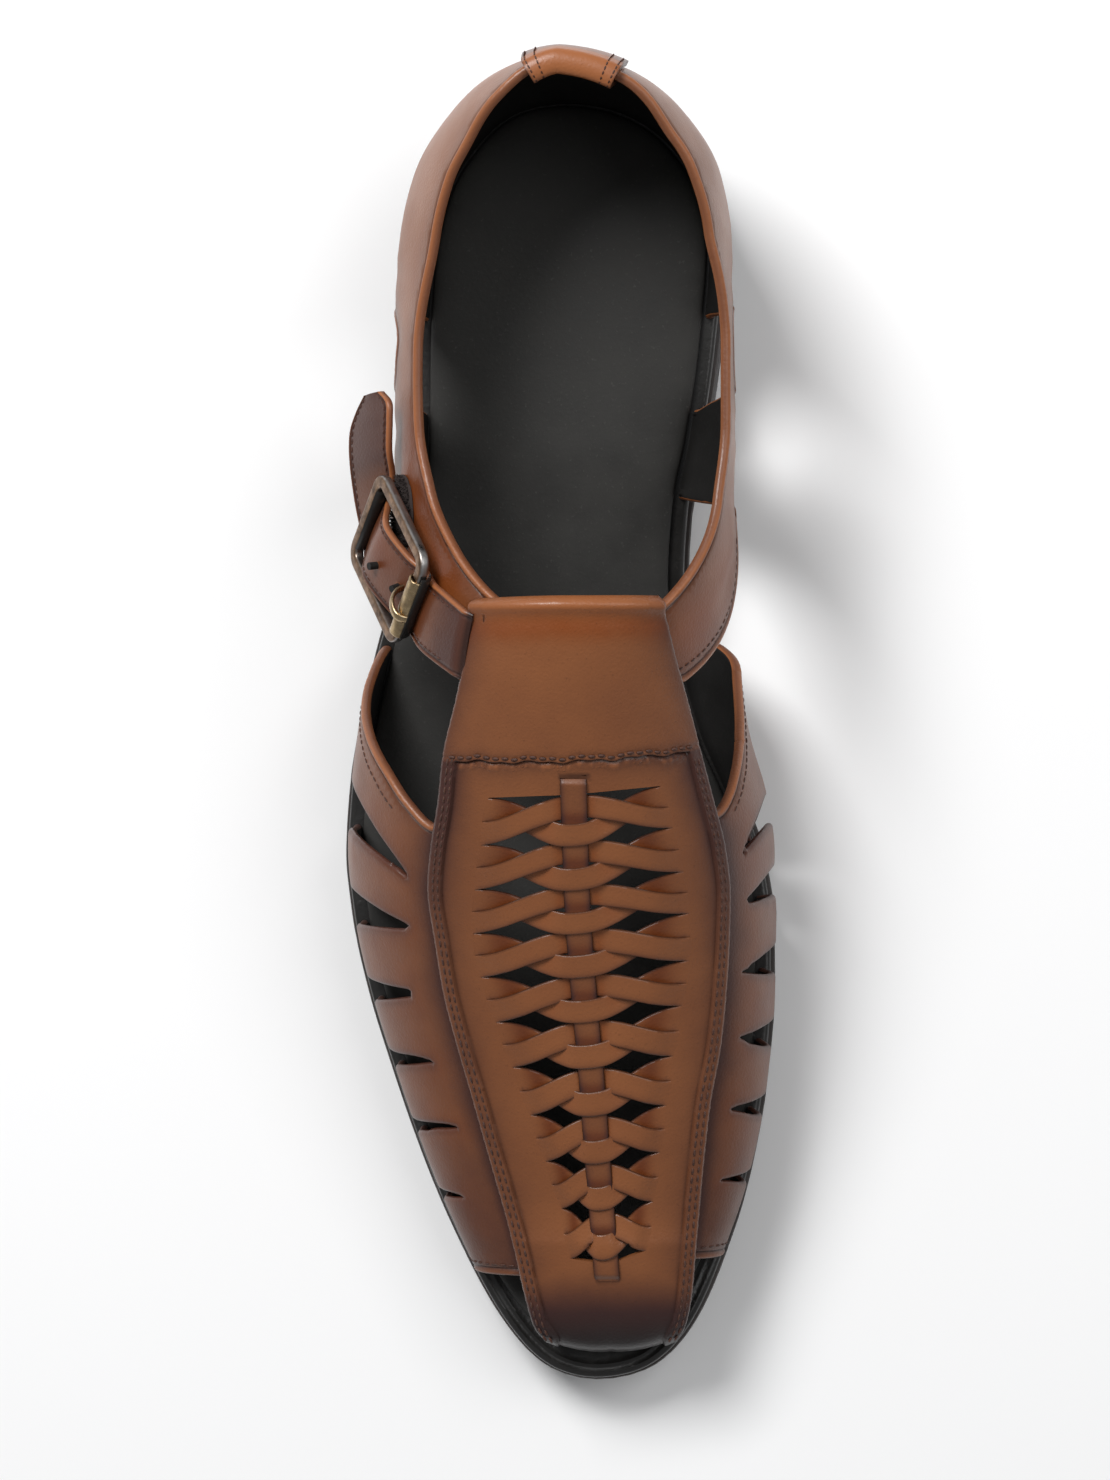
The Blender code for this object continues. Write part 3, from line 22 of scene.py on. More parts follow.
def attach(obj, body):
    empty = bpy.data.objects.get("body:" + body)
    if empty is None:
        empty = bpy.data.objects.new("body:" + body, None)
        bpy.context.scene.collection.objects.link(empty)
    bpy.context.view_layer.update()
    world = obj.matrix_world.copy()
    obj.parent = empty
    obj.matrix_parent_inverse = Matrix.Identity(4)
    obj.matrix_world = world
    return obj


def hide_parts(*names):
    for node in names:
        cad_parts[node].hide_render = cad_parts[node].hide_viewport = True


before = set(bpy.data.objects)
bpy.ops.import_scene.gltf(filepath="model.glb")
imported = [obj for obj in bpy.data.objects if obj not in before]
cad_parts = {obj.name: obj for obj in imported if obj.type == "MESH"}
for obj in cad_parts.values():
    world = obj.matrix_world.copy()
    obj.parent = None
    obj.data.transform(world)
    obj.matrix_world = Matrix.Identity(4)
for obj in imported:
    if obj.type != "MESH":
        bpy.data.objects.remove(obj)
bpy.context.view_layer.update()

LOG = logging.getLogger("chappal")

MM = 0.001
LATERAL = -1
MEDIAL = 1
SIDES = {LATERAL: "lateral", MEDIAL: "medial"}

Array = np.ndarray
Numbers = np.ndarray | float


def table(name: str, fields: str, *rows: tuple[float, ...]) -> tuple:
    """Rows of numbers with named fields."""
    kind = namedtuple(name, fields)
    return tuple(kind(*row) for row in rows)


# ---- the shoe's driving sizes, as its solids have them -------------------------------------------
SOLE_LENGTH = 296.6
ORIGIN_STATION = 65.0
OUTSOLE_THICKNESS = 5.0
MIDSOLE_THICKNESS = 3.0
GAP = 0.3
STAND_GAP = 0.45
WALL = 2.0
RIM_WIDTH = 6.9
PANEL_RECESS = 0.6
HEEL_AXIS = 37.0
TOE_AXIS = 262.0
UPPER_FRONT = 288.0
LOW_SHARE = 0.22
RIDGE_SLOPE_AT_TOE = -0.24

SOLE_OUTLINE = table(
    "SoleRow", "station lateral medial",
    (0.0, -1.5, -1.5), (2.6, -14.4, 12.9), (10.3, -23.9, 24.6), (23.4, -31.9, 32.8), (37.9, -35.4, 35.3),
    (58.0, -36.8, 33.6), (80.0, -37.2, 30.4), (96.0, -39.2, 27.2), (112.0, -42.2, 26.2),
    (130.0, -47.2, 28.0), (145.0, -50.8, 31.8), (160.0, -53.3, 38.2), (175.0, -54.2, 43.7),
    (190.0, -52.7, 45.9), (206.0, -49.3, 46.1), (227.0, -42.8, 44.5), (250.0, -34.3, 40.4),
    (268.0, -25.9, 34.8), (284.0, -16.3, 27.4), (293.5, -6.6, 18.0), (296.6, 5.0, 5.0),
)
SOLE_UNDERSIDE = table(
    "ProfileRow", "station height",
    (0.0, 17.5), (40.0, 16.4), (80.0, 13.6), (105.0, 9.0), (130.0, 4.3), (152.0, 1.2), (172.0, 0.0),
    (214.0, 0.0), (238.0, 1.1), (262.0, 3.6), (282.0, 6.6), (296.6, 9.2),
)
UPPER_SECTIONS = table(
    "SectionRow", "station setback lateral_over medial_over rise ridge_x ridge_z lateral_full medial_full",
    (0.0, 1.6, 4.4, 4.4, 20.0, 0.0, 104.0, 2.8, 2.8), (10.0, 1.7, 4.6, 4.4, 19.0, 0.0, 103.0, 1.85, 2.62),
    (22.0, 1.8, 4.8, 4.1, 18.0, 0.0, 102.0, 1.46, 2.02),
    (37.0, 2.0, 4.4, 3.7, 18.0, 0.0, 101.0, 1.38, 2.12), (62.0, 2.0, 3.8, 6.4, 18.0, 0.0, 99.0, 1.58, 3.6),
    (80.0, 2.0, 3.6, 9.4, 18.0, 0.3, 96.0, 1.64, 3.5), (93.0, 2.0, 2.8, 11.8, 18.0, 0.7, 93.5, 1.6, 3.3),
    (112.0, 2.0, 1.4, 14.3, 16.0, 2.0, 89.0, 1.68, 2.6),
    (135.0, 2.0, 0.3, 11.8, 14.0, 3.0, 82.0, 1.95, 2.2),
    (160.0, 2.0, -0.5, 8.2, 12.0, 3.5, 73.0, 2.05, 2.2), (185.0, 2.0, -0.6, 3.0, 10.0, 4.2, 62.0, 2.1, 2.3),
    (210.0, 2.0, -0.6, 2.2, 9.0, 5.2, 51.5, 2.15, 2.3), (236.0, 2.0, -0.5, 2.0, 8.0, 7.0, 42.5, 2.15, 2.3),
    (262.0, 2.0, -0.2, 1.2, 6.0, 8.5, 35.5, 2.2, 2.3), (276.0, 1.6, 0.2, 0.5, 5.0, 8.5, 35.5, 2.2, 2.3),
    (281.0, 4.4, 0.3, 0.4, 4.0, 8.5, 35.5, 2.2, 2.3), (288.0, 7.4, 0.4, 0.4, 3.5, 8.5, 35.5, 2.2, 2.2),
)
COLLAR_LINE = table(
    "CollarRow", "station lateral medial",
    (-20.0, 80.0, 80.0), (4.0, 79.5, 79.5), (20.0, 75.5, 75.5), (40.0, 70.5, 70.5), (62.0, 67.0, 67.0),
    (80.0, 66.5, 67.0), (94.0, 69.5, 70.0), (106.0, 75.5, 74.5), (117.6, 82.5, 80.0), (124.0, 86.5, 83.5),
)
COLLAR_SIDE_X = 12.0
COLLAR_FRONT = 119.6

REAR_OPENING = table(
    "WallPoint", "station above_base",
    (54.5, -3.0), (52.5, 9.0), (52.8, 17.0), (56.0, 23.5), (61.0, 26.0), (66.0, 23.0), (69.5, 15.0),
    (71.5, 6.0), (72.5, -3.0),
)
WAIST_OPENING = {
    LATERAL: (
        (93.5, 6.0), (94.5, 25.0), (97.5, 36.0), (104.0, 43.0), (110.0, 48.0), (114.5, 56.0), (118.0, 64.5),
        (124.0, 71.0), (130.0, 75.5), (134.0, 77.0), (140.0, 74.0), (147.0, 71.5), (154.0, 68.5),
        (161.0, 65.5), (166.0, 63.5), (167.0, 61.0), (162.0, 58.5), (154.5, 54.0), (147.0, 45.5),
        (138.0, 33.0), (130.0, 22.0), (126.5, 14.0), (125.5, 6.0),
    ),
    MEDIAL: (
        (93.5, 6.0), (94.5, 25.0), (97.5, 36.0), (104.0, 41.5), (110.0, 44.5), (117.0, 48.0), (124.5, 54.5),
        (130.6, 61.5), (135.5, 68.5), (137.0, 70.5), (147.0, 66.5), (156.0, 63.0), (162.5, 59.5),
        (163.5, 56.5), (155.0, 49.5), (147.0, 40.5), (139.0, 33.0), (132.0, 27.0), (126.0, 20.0),
        (122.0, 13.0), (121.0, 6.0),
    ),
}
WING_SLASHES = table(
    "SlashRow", "side rear front tip_x tip_station",
    (LATERAL, 158.5, 169.5, -34.2, 179.6), (LATERAL, 183.0, 190.8, -33.1, 191.0),
    (LATERAL, 203.0, 209.2, -30.5, 205.5), (LATERAL, 219.6, 225.2, -26.9, 220.7),
    (LATERAL, 235.6, 241.4, -23.2, 236.0), (LATERAL, 251.4, 256.9, -19.7, 252.2),
    (MEDIAL, 157.5, 167.0, 39.2, 174.6), (MEDIAL, 178.0, 184.0, 39.4, 185.4),
    (MEDIAL, 196.0, 201.8, 39.1, 200.4), (MEDIAL, 213.0, 218.8, 38.0, 215.8),
    (MEDIAL, 229.6, 235.3, 36.4, 231.8), (MEDIAL, 246.2, 251.6, 34.6, 248.5),
)
SLASH_OUTER_X = {LATERAL: -50.0, MEDIAL: 46.0}
TOE_CORNERS = (
    ((-45.0, 271.4), (-9.4, 270.8), (-7.6, 278.0), (-5.8, 283.0), (-3.0, 286.0), (-3.0, 302.0),
     (-45.0, 302.0)),
    ((52.0, 268.0), (26.6, 266.6), (25.8, 275.0), (24.0, 281.0), (21.0, 284.0), (21.0, 302.0), (52.0, 302.0)),
    ((-30.0, 281.2), (40.0, 281.2), (40.0, 303.0), (-30.0, 303.0)),
)
PLUG_EDGES = table(
    "PlugRow", "station lateral medial",
    (117.6, -18.8, 23.5), (128.5, -20.0, 25.7), (138.5, -22.3, 28.3), (152.0, -25.9, 31.6),
    (162.0, -27.3, 34.1), (172.0, -29.3, 36.4), (182.0, -30.4, 37.4), (193.0, -29.2, 37.1),
    (205.0, -27.6, 36.3), (217.0, -24.9, 35.0), (230.0, -21.5, 32.6), (246.0, -17.4, 30.7),
    (262.0, -13.3, 29.2), (275.0, -10.6, 28.0), (282.0, -8.8, 26.6), (286.0, -6.4, 24.6),
)
PLUG_START = 117.6
PLUG_SEAM = 152.0
PLUG_END = 286.0
PLUG_BOW = 3.3
PANEL_THICKNESS = 1.2
BORDER_THICKNESS = 2.0
BACKING = 5.5
THROAT = (128.0, 274.0)
THROAT_BASE = 12.0
OPENING_INNER_X = 4.0

WEAVE_HOLES = table(
    "HoleRow", "lateral_station lateral_x medial_station medial_x",
    (161.0, -16.0, 158.3, 22.6), (171.4, -17.4, 167.4, 24.8), (181.4, -19.3, 177.2, 26.9),
    (191.3, -20.1, 186.5, 28.2), (201.2, -18.7, 197.2, 27.8), (211.4, -15.5, 207.4, 26.2),
    (221.7, -12.0, 218.9, 24.1), (232.7, -8.2, 230.2, 22.5), (243.4, -4.9, 241.1, 20.9),
    (254.4, -1.6, 252.6, 19.2), (266.0, 0.3, 264.0, 17.6),
)
THONG_LINE = table(
    "ThongRow", "station x",
    (156.5, 3.5), (184.0, 3.7), (204.0, 4.6), (224.0, 5.9), (246.0, 7.1), (271.0, 8.7),
)

FRAME_CENTRE = (-38.8, 108.2, 59.75)
FRAME_ALONG = (10.9, 19.8, 17.5)
FRAME_ACROSS = (-7.9, 16.8, -13.9)
FRAME_BAR = 1.3
FRAME_CORNER = 3.0
ROLLER_HALF = 8.6
LOOP_RADIUS = 2.1
LOOP_HALF = 7.5
STRAP_ROWS = table(
    "StrapRow", "top_along top_across top_out low_along low_across low_out",
    (30.5, -11.4, -6.0, 36.9, 2.8, -5.9), (21.0, -9.2, -3.9, 24.1, 6.4, -2.7),
    (16.6, -8.0, -3.2, 17.0, 8.2, -3.0), (12.0, -7.4, -3.1, 12.0, 9.3, -3.1),
    (6.4, -7.4, -0.6, 6.2, 9.2, -0.6), (-2.7, -7.3, 1.0, -3.4, 9.2, 1.3),
    (-9.4, -7.0, -1.5, -10.0, 9.2, -1.2), (-13.0, -7.9, -3.2, -14.6, 9.0, -2.3),
    (-15.3, -11.5, -3.5, -22.6, 3.2, -1.1), (-17.1, -17.1, -1.6, -27.2, -3.8, 0.6),
    (-20.6, -22.7, -1.2, -31.0, -9.4, 1.0), (-23.4, -25.4, -1.2, -32.2, -14.6, 0.6),
    (-27.7, -24.9, -0.9, -31.9, -19.9, 0.3),
)
STRAP_THICKNESS = 1.6
# Numbers that colour the leather: a lighter lip that is partly a painted highlight, dark burnish with painted
# shade, orange-brown painted shade, dark lines and near-black char.
TONES = ("lip", "burnish_and_shade", "glow", "line", "char")
PATCH_STATIONS = (88.0, 105.5)
PATCH_THICKNESS = 1.0
BRISTLE_SEED = 4
TAB_TURNS = (-4.6, 9.2)
TAB_CLEARANCE = 0.5
TAB_OUTER = 10.5
TAB_INNER = 8.0
TAB_THICKNESS = 1.3


# ---- curves and outlines -------------------------------------------------------------------------
def ease(rows: tuple, column: str, x: Numbers) -> Array:
    """Values of one column through the rows of a table, with slopes that never overshoot.

    Args:
        rows: table rows that each have a station.
        column: the field to read.
        x: stations at which to read it.

    Returns:
        The column's value at each x.
    """
    xs = np.array([row.station for row in rows], float)
    ys = np.array([getattr(row, column) for row in rows], float)
    at = np.clip(np.asarray(x, float), xs[0], xs[-1])
    steps = np.diff(ys) / np.diff(xs)
    product = steps[:-1] * steps[1:]
    total = np.where(product > 0.0, steps[:-1] + steps[1:], 1.0)
    slopes = np.concatenate([[steps[0]], np.where(product > 0.0, 2.0 * product / total, 0.0), [steps[-1]]])
    k = np.clip(np.searchsorted(xs, at, side="right") - 1, 0, len(xs) - 2)
    span = xs[k + 1] - xs[k]
    t = (at - xs[k]) / span
    return ((1 + 2 * t) * (1 - t) ** 2 * ys[k] + t * (1 - t) ** 2 * span * slopes[k]
            + t * t * (3 - 2 * t) * ys[k + 1] + t * t * (t - 1) * span * slopes[k + 1])


def smooth(t: Numbers, low: float, high: float) -> Array:
    """A soft step from 0 at low to 1 at high."""
    u = np.clip((np.asarray(t, float) - low) / (high - low), 0.0, 1.0)
    return u * u * (3.0 - 2.0 * u)


def bump(t: Numbers, centre: float, width: float) -> Array:
    """A soft hill of height 1 at the centre."""
    return np.exp(-((np.asarray(t, float) - centre) / width) ** 2)


def turn_of(station: Numbers) -> Array:
    """Where a station lies on the round of the sole, 0 at the heel's back and 1 at the toe's tip."""
    return np.arccos(1.0 - 2.0 * np.clip(np.asarray(station, float) / SOLE_LENGTH, 0.0, 1.0)) / math.pi


def station_of(turn: Numbers) -> Array:
    """The station at a turn."""
    return SOLE_LENGTH * (1.0 - np.cos(math.pi * np.asarray(turn, float))) / 2.0


SOLE_BY_TURN = table("TurnRow", "station lateral medial",
                     *[(float(turn_of(row.station)), row.lateral, row.medial) for row in SOLE_OUTLINE])


def sole_x(side: Numbers, turn: Numbers) -> Array:
    """x of the sole's edge on one side at a turn. Past an end it runs on to the other side."""
    side, turn = np.broadcast_arrays(np.asarray(side), np.asarray(turn, float))
    crossed = (turn < 0.0) | (turn > 1.0)
    folded = np.where(turn < 0.0, -turn, np.where(turn > 1.0, 2.0 - turn, turn))
    side = np.where(crossed, -side, side)
    return np.where(side < 0, ease(SOLE_BY_TURN, "lateral", folded), ease(SOLE_BY_TURN, "medial", folded))


def sole_spot(side: Numbers, turn: Numbers) -> Array:
    """Plan points on the sole's outline itself."""
    return np.stack([sole_x(side, turn), station_of(turn)], -1)


def edge_point(side: Numbers, turn: Numbers, inset: Numbers = 0.0) -> Array:
    """Plan points (x, station) on the sole's outline, moved in by inset.

    Args:
        side: LATERAL or MEDIAL, one for each turn or one for all.
        turn: places on the round of the sole.
        inset: how far in from the edge.

    Returns:
        An array with a row for each turn.
    """
    step = 0.004
    along = sole_spot(side, turn + step) - sole_spot(side, turn - step)
    along = along / np.linalg.norm(along, axis=-1, keepdims=True)
    inward = np.stack([-along[..., 1], along[..., 0]], -1) * np.asarray(side)[..., None]
    return sole_spot(side, turn) + inward * np.asarray(inset, float)[..., None]


def bisect(low: Array, high: Array, short: Callable[[Array], Array], steps: int) -> Array:
    """Numbers between low and high up to which a test holds, halving the span at each step."""
    for _ in range(steps):
        middle = (low + high) / 2.0
        under = short(middle)
        low, high = np.where(under, middle, low), np.where(under, high, middle)
    return (low + high) / 2.0


def turn_at_inset(side: int, station: Array, inset: float) -> Array:
    """Turns whose moved-in edge points have given stations."""
    return bisect(np.zeros_like(station), np.ones_like(station),
                  lambda turn: edge_point(side, turn, inset)[..., 1] < station, 30)


def underside(station: Numbers) -> Array:
    """Height of the outsole's lower face."""
    return ease(SOLE_UNDERSIDE, "height", station)


def midsole_top(station: Numbers) -> Array:
    """Height that the upper and the footbed stand on."""
    return underside(station) + OUTSOLE_THICKNESS + GAP + MIDSOLE_THICKNESS + STAND_GAP


def curve(p0: Array, p1: Array, p2: Array, p3: Array, u: Numbers) -> Array:
    """A smooth curve's points between p1 (u = 0) and p2 (u = 1)."""
    return 0.5 * (2 * p1 + (p2 - p0) * u + (2 * p0 - 5 * p1 + 4 * p2 - p3) * u ** 2
                  + (3 * p1 - p0 - 3 * p2 + p3) * u ** 3)


def smooth_outline(corners: list[tuple[float, float]], steps: int = 6) -> Array:
    """A closed curve that runs through the corners of an outline."""
    points = np.array(corners, float)
    around = [np.roll(points, shift, 0) for shift in (1, 0, -1, -2)]
    return np.stack([curve(*around, t) for t in np.arange(steps) / steps], 1).reshape(-1, 2)


FAR = 30.0


def outline_distance(points: Array, outline: Array) -> Array:
    """Signed distance of flat points to a closed outline, positive outside and FAR where it is remote."""
    margin = 8.0
    near = np.all((points > outline.min(0) - margin) & (points < outline.max(0) + margin), axis=1)
    some = points[near]
    best = np.full(len(some), FAR)
    inside = np.zeros(len(some), bool)
    for start, end in zip(outline, np.roll(outline, -1, 0)):
        edge = end - start
        share = np.clip((some - start) @ edge / max(edge @ edge, 1e-9), 0.0, 1.0)
        best = np.minimum(best, np.linalg.norm(some - start - share[:, None] * edge, axis=1))
        if start[1] != end[1]:
            crosses = (start[1] > some[:, 1]) != (end[1] > some[:, 1])
            at = start[0] + (some[:, 1] - start[1]) / edge[1] * edge[0]
            inside ^= crosses & (some[:, 0] < at)
    result = np.full(len(points), FAR)
    result[near] = np.where(inside, -best, best)
    return result


def outlines_distance(points: Array, outlines: list[Array]) -> Array:
    """The least signed distance to any of several outlines."""
    return np.minimum.reduce([outline_distance(points, outline) for outline in outlines])


# ---- the last's form -----------------------------------------------------------------------------
@dataclass
class LastForm:
    """The upper's outer form, as half sections along the foot.

    Across runs from -1 at the outer side's base over 0 on the ridge to 1 at the inner side's base.
    """

    step: float = 0.5
    tables: dict[int, Array] = field(default_factory=dict)
    stations: Array = field(default_factory=lambda: np.zeros(0))

    def __post_init__(self) -> None:
        """Work out the half sections once."""
        self.stations = np.arange(0.0, UPPER_FRONT + self.step / 2, self.step)
        self.tables = {side: self._half_sections(side, word) for side, word in SIDES.items()}

    def _half_sections(self, side: int, word: str) -> Array:
        """The values that shape each half section of one side."""
        s = self.stations
        axis_x = ease(UPPER_SECTIONS, "ridge_x", s)
        axis_station = np.clip(s, HEEL_AXIS, TOE_AXIS)
        toe_angle = math.pi / 2.0 * (s - TOE_AXIS) / (UPPER_FRONT - TOE_AXIS)
        heel_angle = -math.pi / 2.0 * (1.0 - s / HEEL_AXIS)
        angle = np.where(s < HEEL_AXIS, heel_angle, np.where(s > TOE_AXIS, toe_angle, 0.0))
        slope = np.where(s > TOE_AXIS, RIDGE_SLOPE_AT_TOE * np.sin(angle), 0.0)
        out = np.stack([side * np.cos(angle), np.sin(angle)], 1)
        setback = ease(UPPER_SECTIONS, "setback", s)
        axis = np.stack([axis_x, axis_station], 1)
        across = np.stack([-out[:, 1], out[:, 0]], 1)
        low = np.where(axis_station > SOLE_LENGTH / 2.0, 0.5, -0.5)
        turn = bisect(low, low + 1.0,
                      lambda t: np.sum((edge_point(MEDIAL, t, setback) - axis) * across, 1) < 0.0, 32)
        reach = np.sum((edge_point(MEDIAL, turn, setback) - axis) * out, 1)
        base = midsole_top(axis_station + out[:, 1] * reach)
        columns = [axis_x, axis_station, out[:, 0], out[:, 1], slope, reach]
        columns += [ease(UPPER_SECTIONS, word + "_over", s), ease(UPPER_SECTIONS, word + "_full", s)]
        columns += [ease(UPPER_SECTIONS, "rise", s), ease(UPPER_SECTIONS, "ridge_z", s), base]
        return np.stack(columns)

    def half(self, station: Array, side: Numbers) -> Array:
        """The shaping values at stations on given sides."""
        at = np.clip(station, 0.0, UPPER_FRONT)
        both = [np.stack([np.interp(at, self.stations, row) for row in self.tables[s]]) for s in SIDES]
        return np.where(side < 0, *both)

    def surface(self, station: Array, across: Array) -> Array:
        """Points (x, station, height) on the form itself."""
        side = np.where(across < 0.0, LATERAL, MEDIAL)
        share = 1.0 - np.clip(np.abs(across), 0.0, 1.0)
        axis_x, axis_s, out_x, out_s, slope, reach, over, full, rise, top, base = self.half(station, side)
        t = share / LOW_SHARE
        low_away = reach + over * np.sin(math.pi / 2.0 * np.minimum(t, 1.0))
        angle = math.pi / 2.0 * np.clip((share - LOW_SHARE) / (1.0 - LOW_SHARE), 0.0, 1.0)
        high_away = (reach + over) * np.maximum(np.cos(angle), 0.0) ** (2.0 / full)
        low = share < LOW_SHARE
        away = np.where(low, low_away, high_away)
        crest = top + slope * away
        height = base + rise + (crest - base - rise) * np.sin(angle) ** (2.0 / full)
        height = np.where(low, base + rise * t, height)
        return np.stack([axis_x + out_x * away, axis_s + out_s * away, height], -1)

    def normal(self, station: Array, across: Array) -> Array:
        """Unit directions out of the form."""
        kept = np.where(np.abs(across) < 0.03, np.where(across < 0.0, -0.03, 0.03), across)
        along = (self.surface(np.minimum(station + 0.4, UPPER_FRONT), kept)
                 - self.surface(np.maximum(station - 0.4, 0.0), kept))
        over = (self.surface(station, np.minimum(across + 0.01, 1.0))
                - self.surface(station, np.maximum(across - 0.01, -1.0)))
        out = np.cross(over, along)
        return out / np.maximum(np.linalg.norm(out, axis=-1, keepdims=True), 1e-9)

    def point(self, station: Array, across: Array, lift: Numbers = 0.0) -> Array:
        """Points moved out of the form by lift."""
        moved = self.normal(station, across) * np.asarray(lift, float)[..., None]
        return self.surface(station, across) + moved

    def locate(self, x: Array, station: Array) -> tuple[Array, Array]:
        """Station and across of the form's points above plan points, by turning about the toe's axis."""
        ridge = ease(UPPER_SECTIONS, "ridge_x", np.clip(station, HEEL_AXIS, TOE_AXIS))
        side = np.where(x >= ridge, MEDIAL, LATERAL)
        away = np.abs(x - ridge)
        beyond = np.maximum(station - TOE_AXIS, 0.0)
        turned = np.where(beyond > 0.0,
                          TOE_AXIS + (UPPER_FRONT
                                      - TOE_AXIS) * np.arctan2(beyond, away) / (math.pi / 2.0), station)
        away = np.hypot(beyond, away)
        values = self.half(turned, side)
        ratio = np.minimum(away / (values[5] + values[6]), 0.9999)
        angle = np.arccos(ratio ** (values[7] / 2.0))
        share = LOW_SHARE + (1.0 - LOW_SHARE) * angle / (math.pi / 2.0)
        return turned, side * (1.0 - share)

    def over_plan(self, x: Array, station: Array, lift: float) -> tuple[Array, Array]:
        """Station and across of the points that, moved out by lift, stand over plan points."""
        foot_x, foot_s = x.copy(), station.copy()
        for _ in range(3):
            raised = self.point(*self.locate(foot_x, foot_s), lift)
            foot_x += x - raised[..., 0]
            foot_s += station - raised[..., 1]
        return self.locate(foot_x, foot_s)

    def at_height(self, station: Array, side: Numbers, height: Array, lift: float = 0.0) -> Array:
        """Across of the points at given heights on one side, moved out by lift."""
        low = np.zeros(np.broadcast(station, height).shape)
        share = bisect(low, low + 1.0,
                       lambda t: self.point(station, side * (1.0 - t), lift)[..., 2] < height, 24)
        return side * (1.0 - share)


FORM = LastForm()


# ---- meshes --------------------------------------------------------------------------------------
def to_world(points: Array) -> Array:
    """Shoe points (x, station, height) in the part's frame, in metres."""
    points = np.asarray(points, float)
    return np.stack([points[:, 0], ORIGIN_STATION - points[:, 1], points[:, 2]], 1) * MM


def numbered(rows: int, columns: int, first: int = 0) -> Array:
    """The numbers of points listed row by row."""
    return first + np.arange(rows * columns).reshape(rows, columns)


def quads_of(grid: Array, loop: bool = False) -> Array:
    """Quads of a grid of point numbers, with its rows joined round if they loop."""
    if loop:
        grid = np.column_stack([grid, grid[:, 0]])
    return np.stack([grid[:-1, :-1], grid[:-1, 1:], grid[1:, 1:], grid[1:, :-1]], -1).reshape(-1, 4)


def loft(lines: Array, first: int = 0, loop: bool = False) -> list:
    """Faces of a tube through rings of points.

    Args:
        lines: the rings, as rows of points.
        first: the number of the first point.
        loop: whether the last ring joins the first; otherwise both ends are closed.

    Returns:
        Groups of faces.
    """
    grid = numbered(*lines.shape[:2], first)
    if loop:
        return [quads_of(np.vstack([grid, grid[:1]]), loop=True)]
    return [quads_of(grid, loop=True), [tuple(grid[0][::-1].tolist()), tuple(grid[-1].tolist())]]


def lofts(parts: list[Array], loop: bool = False) -> tuple[Array, list]:
    """Points and faces of several lofts in one piece."""
    faces, first = [], 0
    for lines in parts:
        faces += loft(lines, first, loop)
        first += lines[..., 0].size
    return np.concatenate([lines.reshape(-1, 3) for lines in parts]), faces


def make_piece(name: str, points: Array, faces: list, materials: list[Material],
               choice: Array | None = None, values: dict[str, Array] | None = None,
               crease: float = 42.0, weld: float = 0.02) -> Object:
    """A smooth closed piece from shoe points.

    Args:
        name: the object's name.
        points: shoe points in millimetres.
        faces: groups of faces, each an array or a list of tuples.
        materials: the materials of its slots.
        choice: the slot of each face, in the faces' order.
        values: named numbers for each point, kept as attributes.
        crease: the angle in degrees past which an edge is sharp.
        weld: points nearer than this many millimetres become one.

    Returns:
        The linked object, at the origin.
    """
    flat = [tuple(face) for group in faces
            for face in (group.tolist() if isinstance(group, Array) else group)]
    mesh = bpy.data.meshes.new(name)
    mesh.from_pydata(to_world(points).tolist(), [], flat)
    for material in materials:
        mesh.materials.append(material)
    if choice is not None:
        mesh.polygons.foreach_set("material_index", np.asarray(choice, np.int32))
    for word, numbers in (values or {}).items():
        layer = mesh.attributes.new(word, "FLOAT", "POINT")
        layer.data.foreach_set("value", np.asarray(numbers, np.float32))
    work = bmesh.new()
    work.from_mesh(mesh)
    bmesh.ops.remove_doubles(work, verts=work.verts, dist=weld * MM)
    bmesh.ops.dissolve_degenerate(work, edges=work.edges, dist=weld * MM / 4.0)
    loose = [vertex for vertex in work.verts if not vertex.link_faces]
    bmesh.ops.delete(work, geom=loose, context="VERTS")
    bmesh.ops.recalc_face_normals(work, faces=work.faces)
    work.to_mesh(mesh)
    work.free()
    mesh.shade_smooth()
    mesh.set_sharp_from_angle(angle=math.radians(crease))
    return place_object(name, mesh)


def with_modifiers(piece: Object) -> Mesh:
    """A new mesh of a piece as its modifiers leave it."""
    bpy.context.view_layer.update()
    return bpy.data.meshes.new_from_object(piece.evaluated_get(bpy.context.evaluated_depsgraph_get()))


def place_object(name: str, data: ID) -> Object:
    """A new object of the scene."""
    made = bpy.data.objects.new(name, data)
    bpy.context.scene.collection.objects.link(made)
    return made


def settle(piece: Object, slot: str, *nodes: str) -> Object:
    """Give a finished piece its body and hide the solids that it stands for."""
    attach(piece, "root")
    if nodes:
        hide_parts(*nodes)
    LOG.info("%s: %d faces", piece.name, len(piece.data.polygons))
    return piece


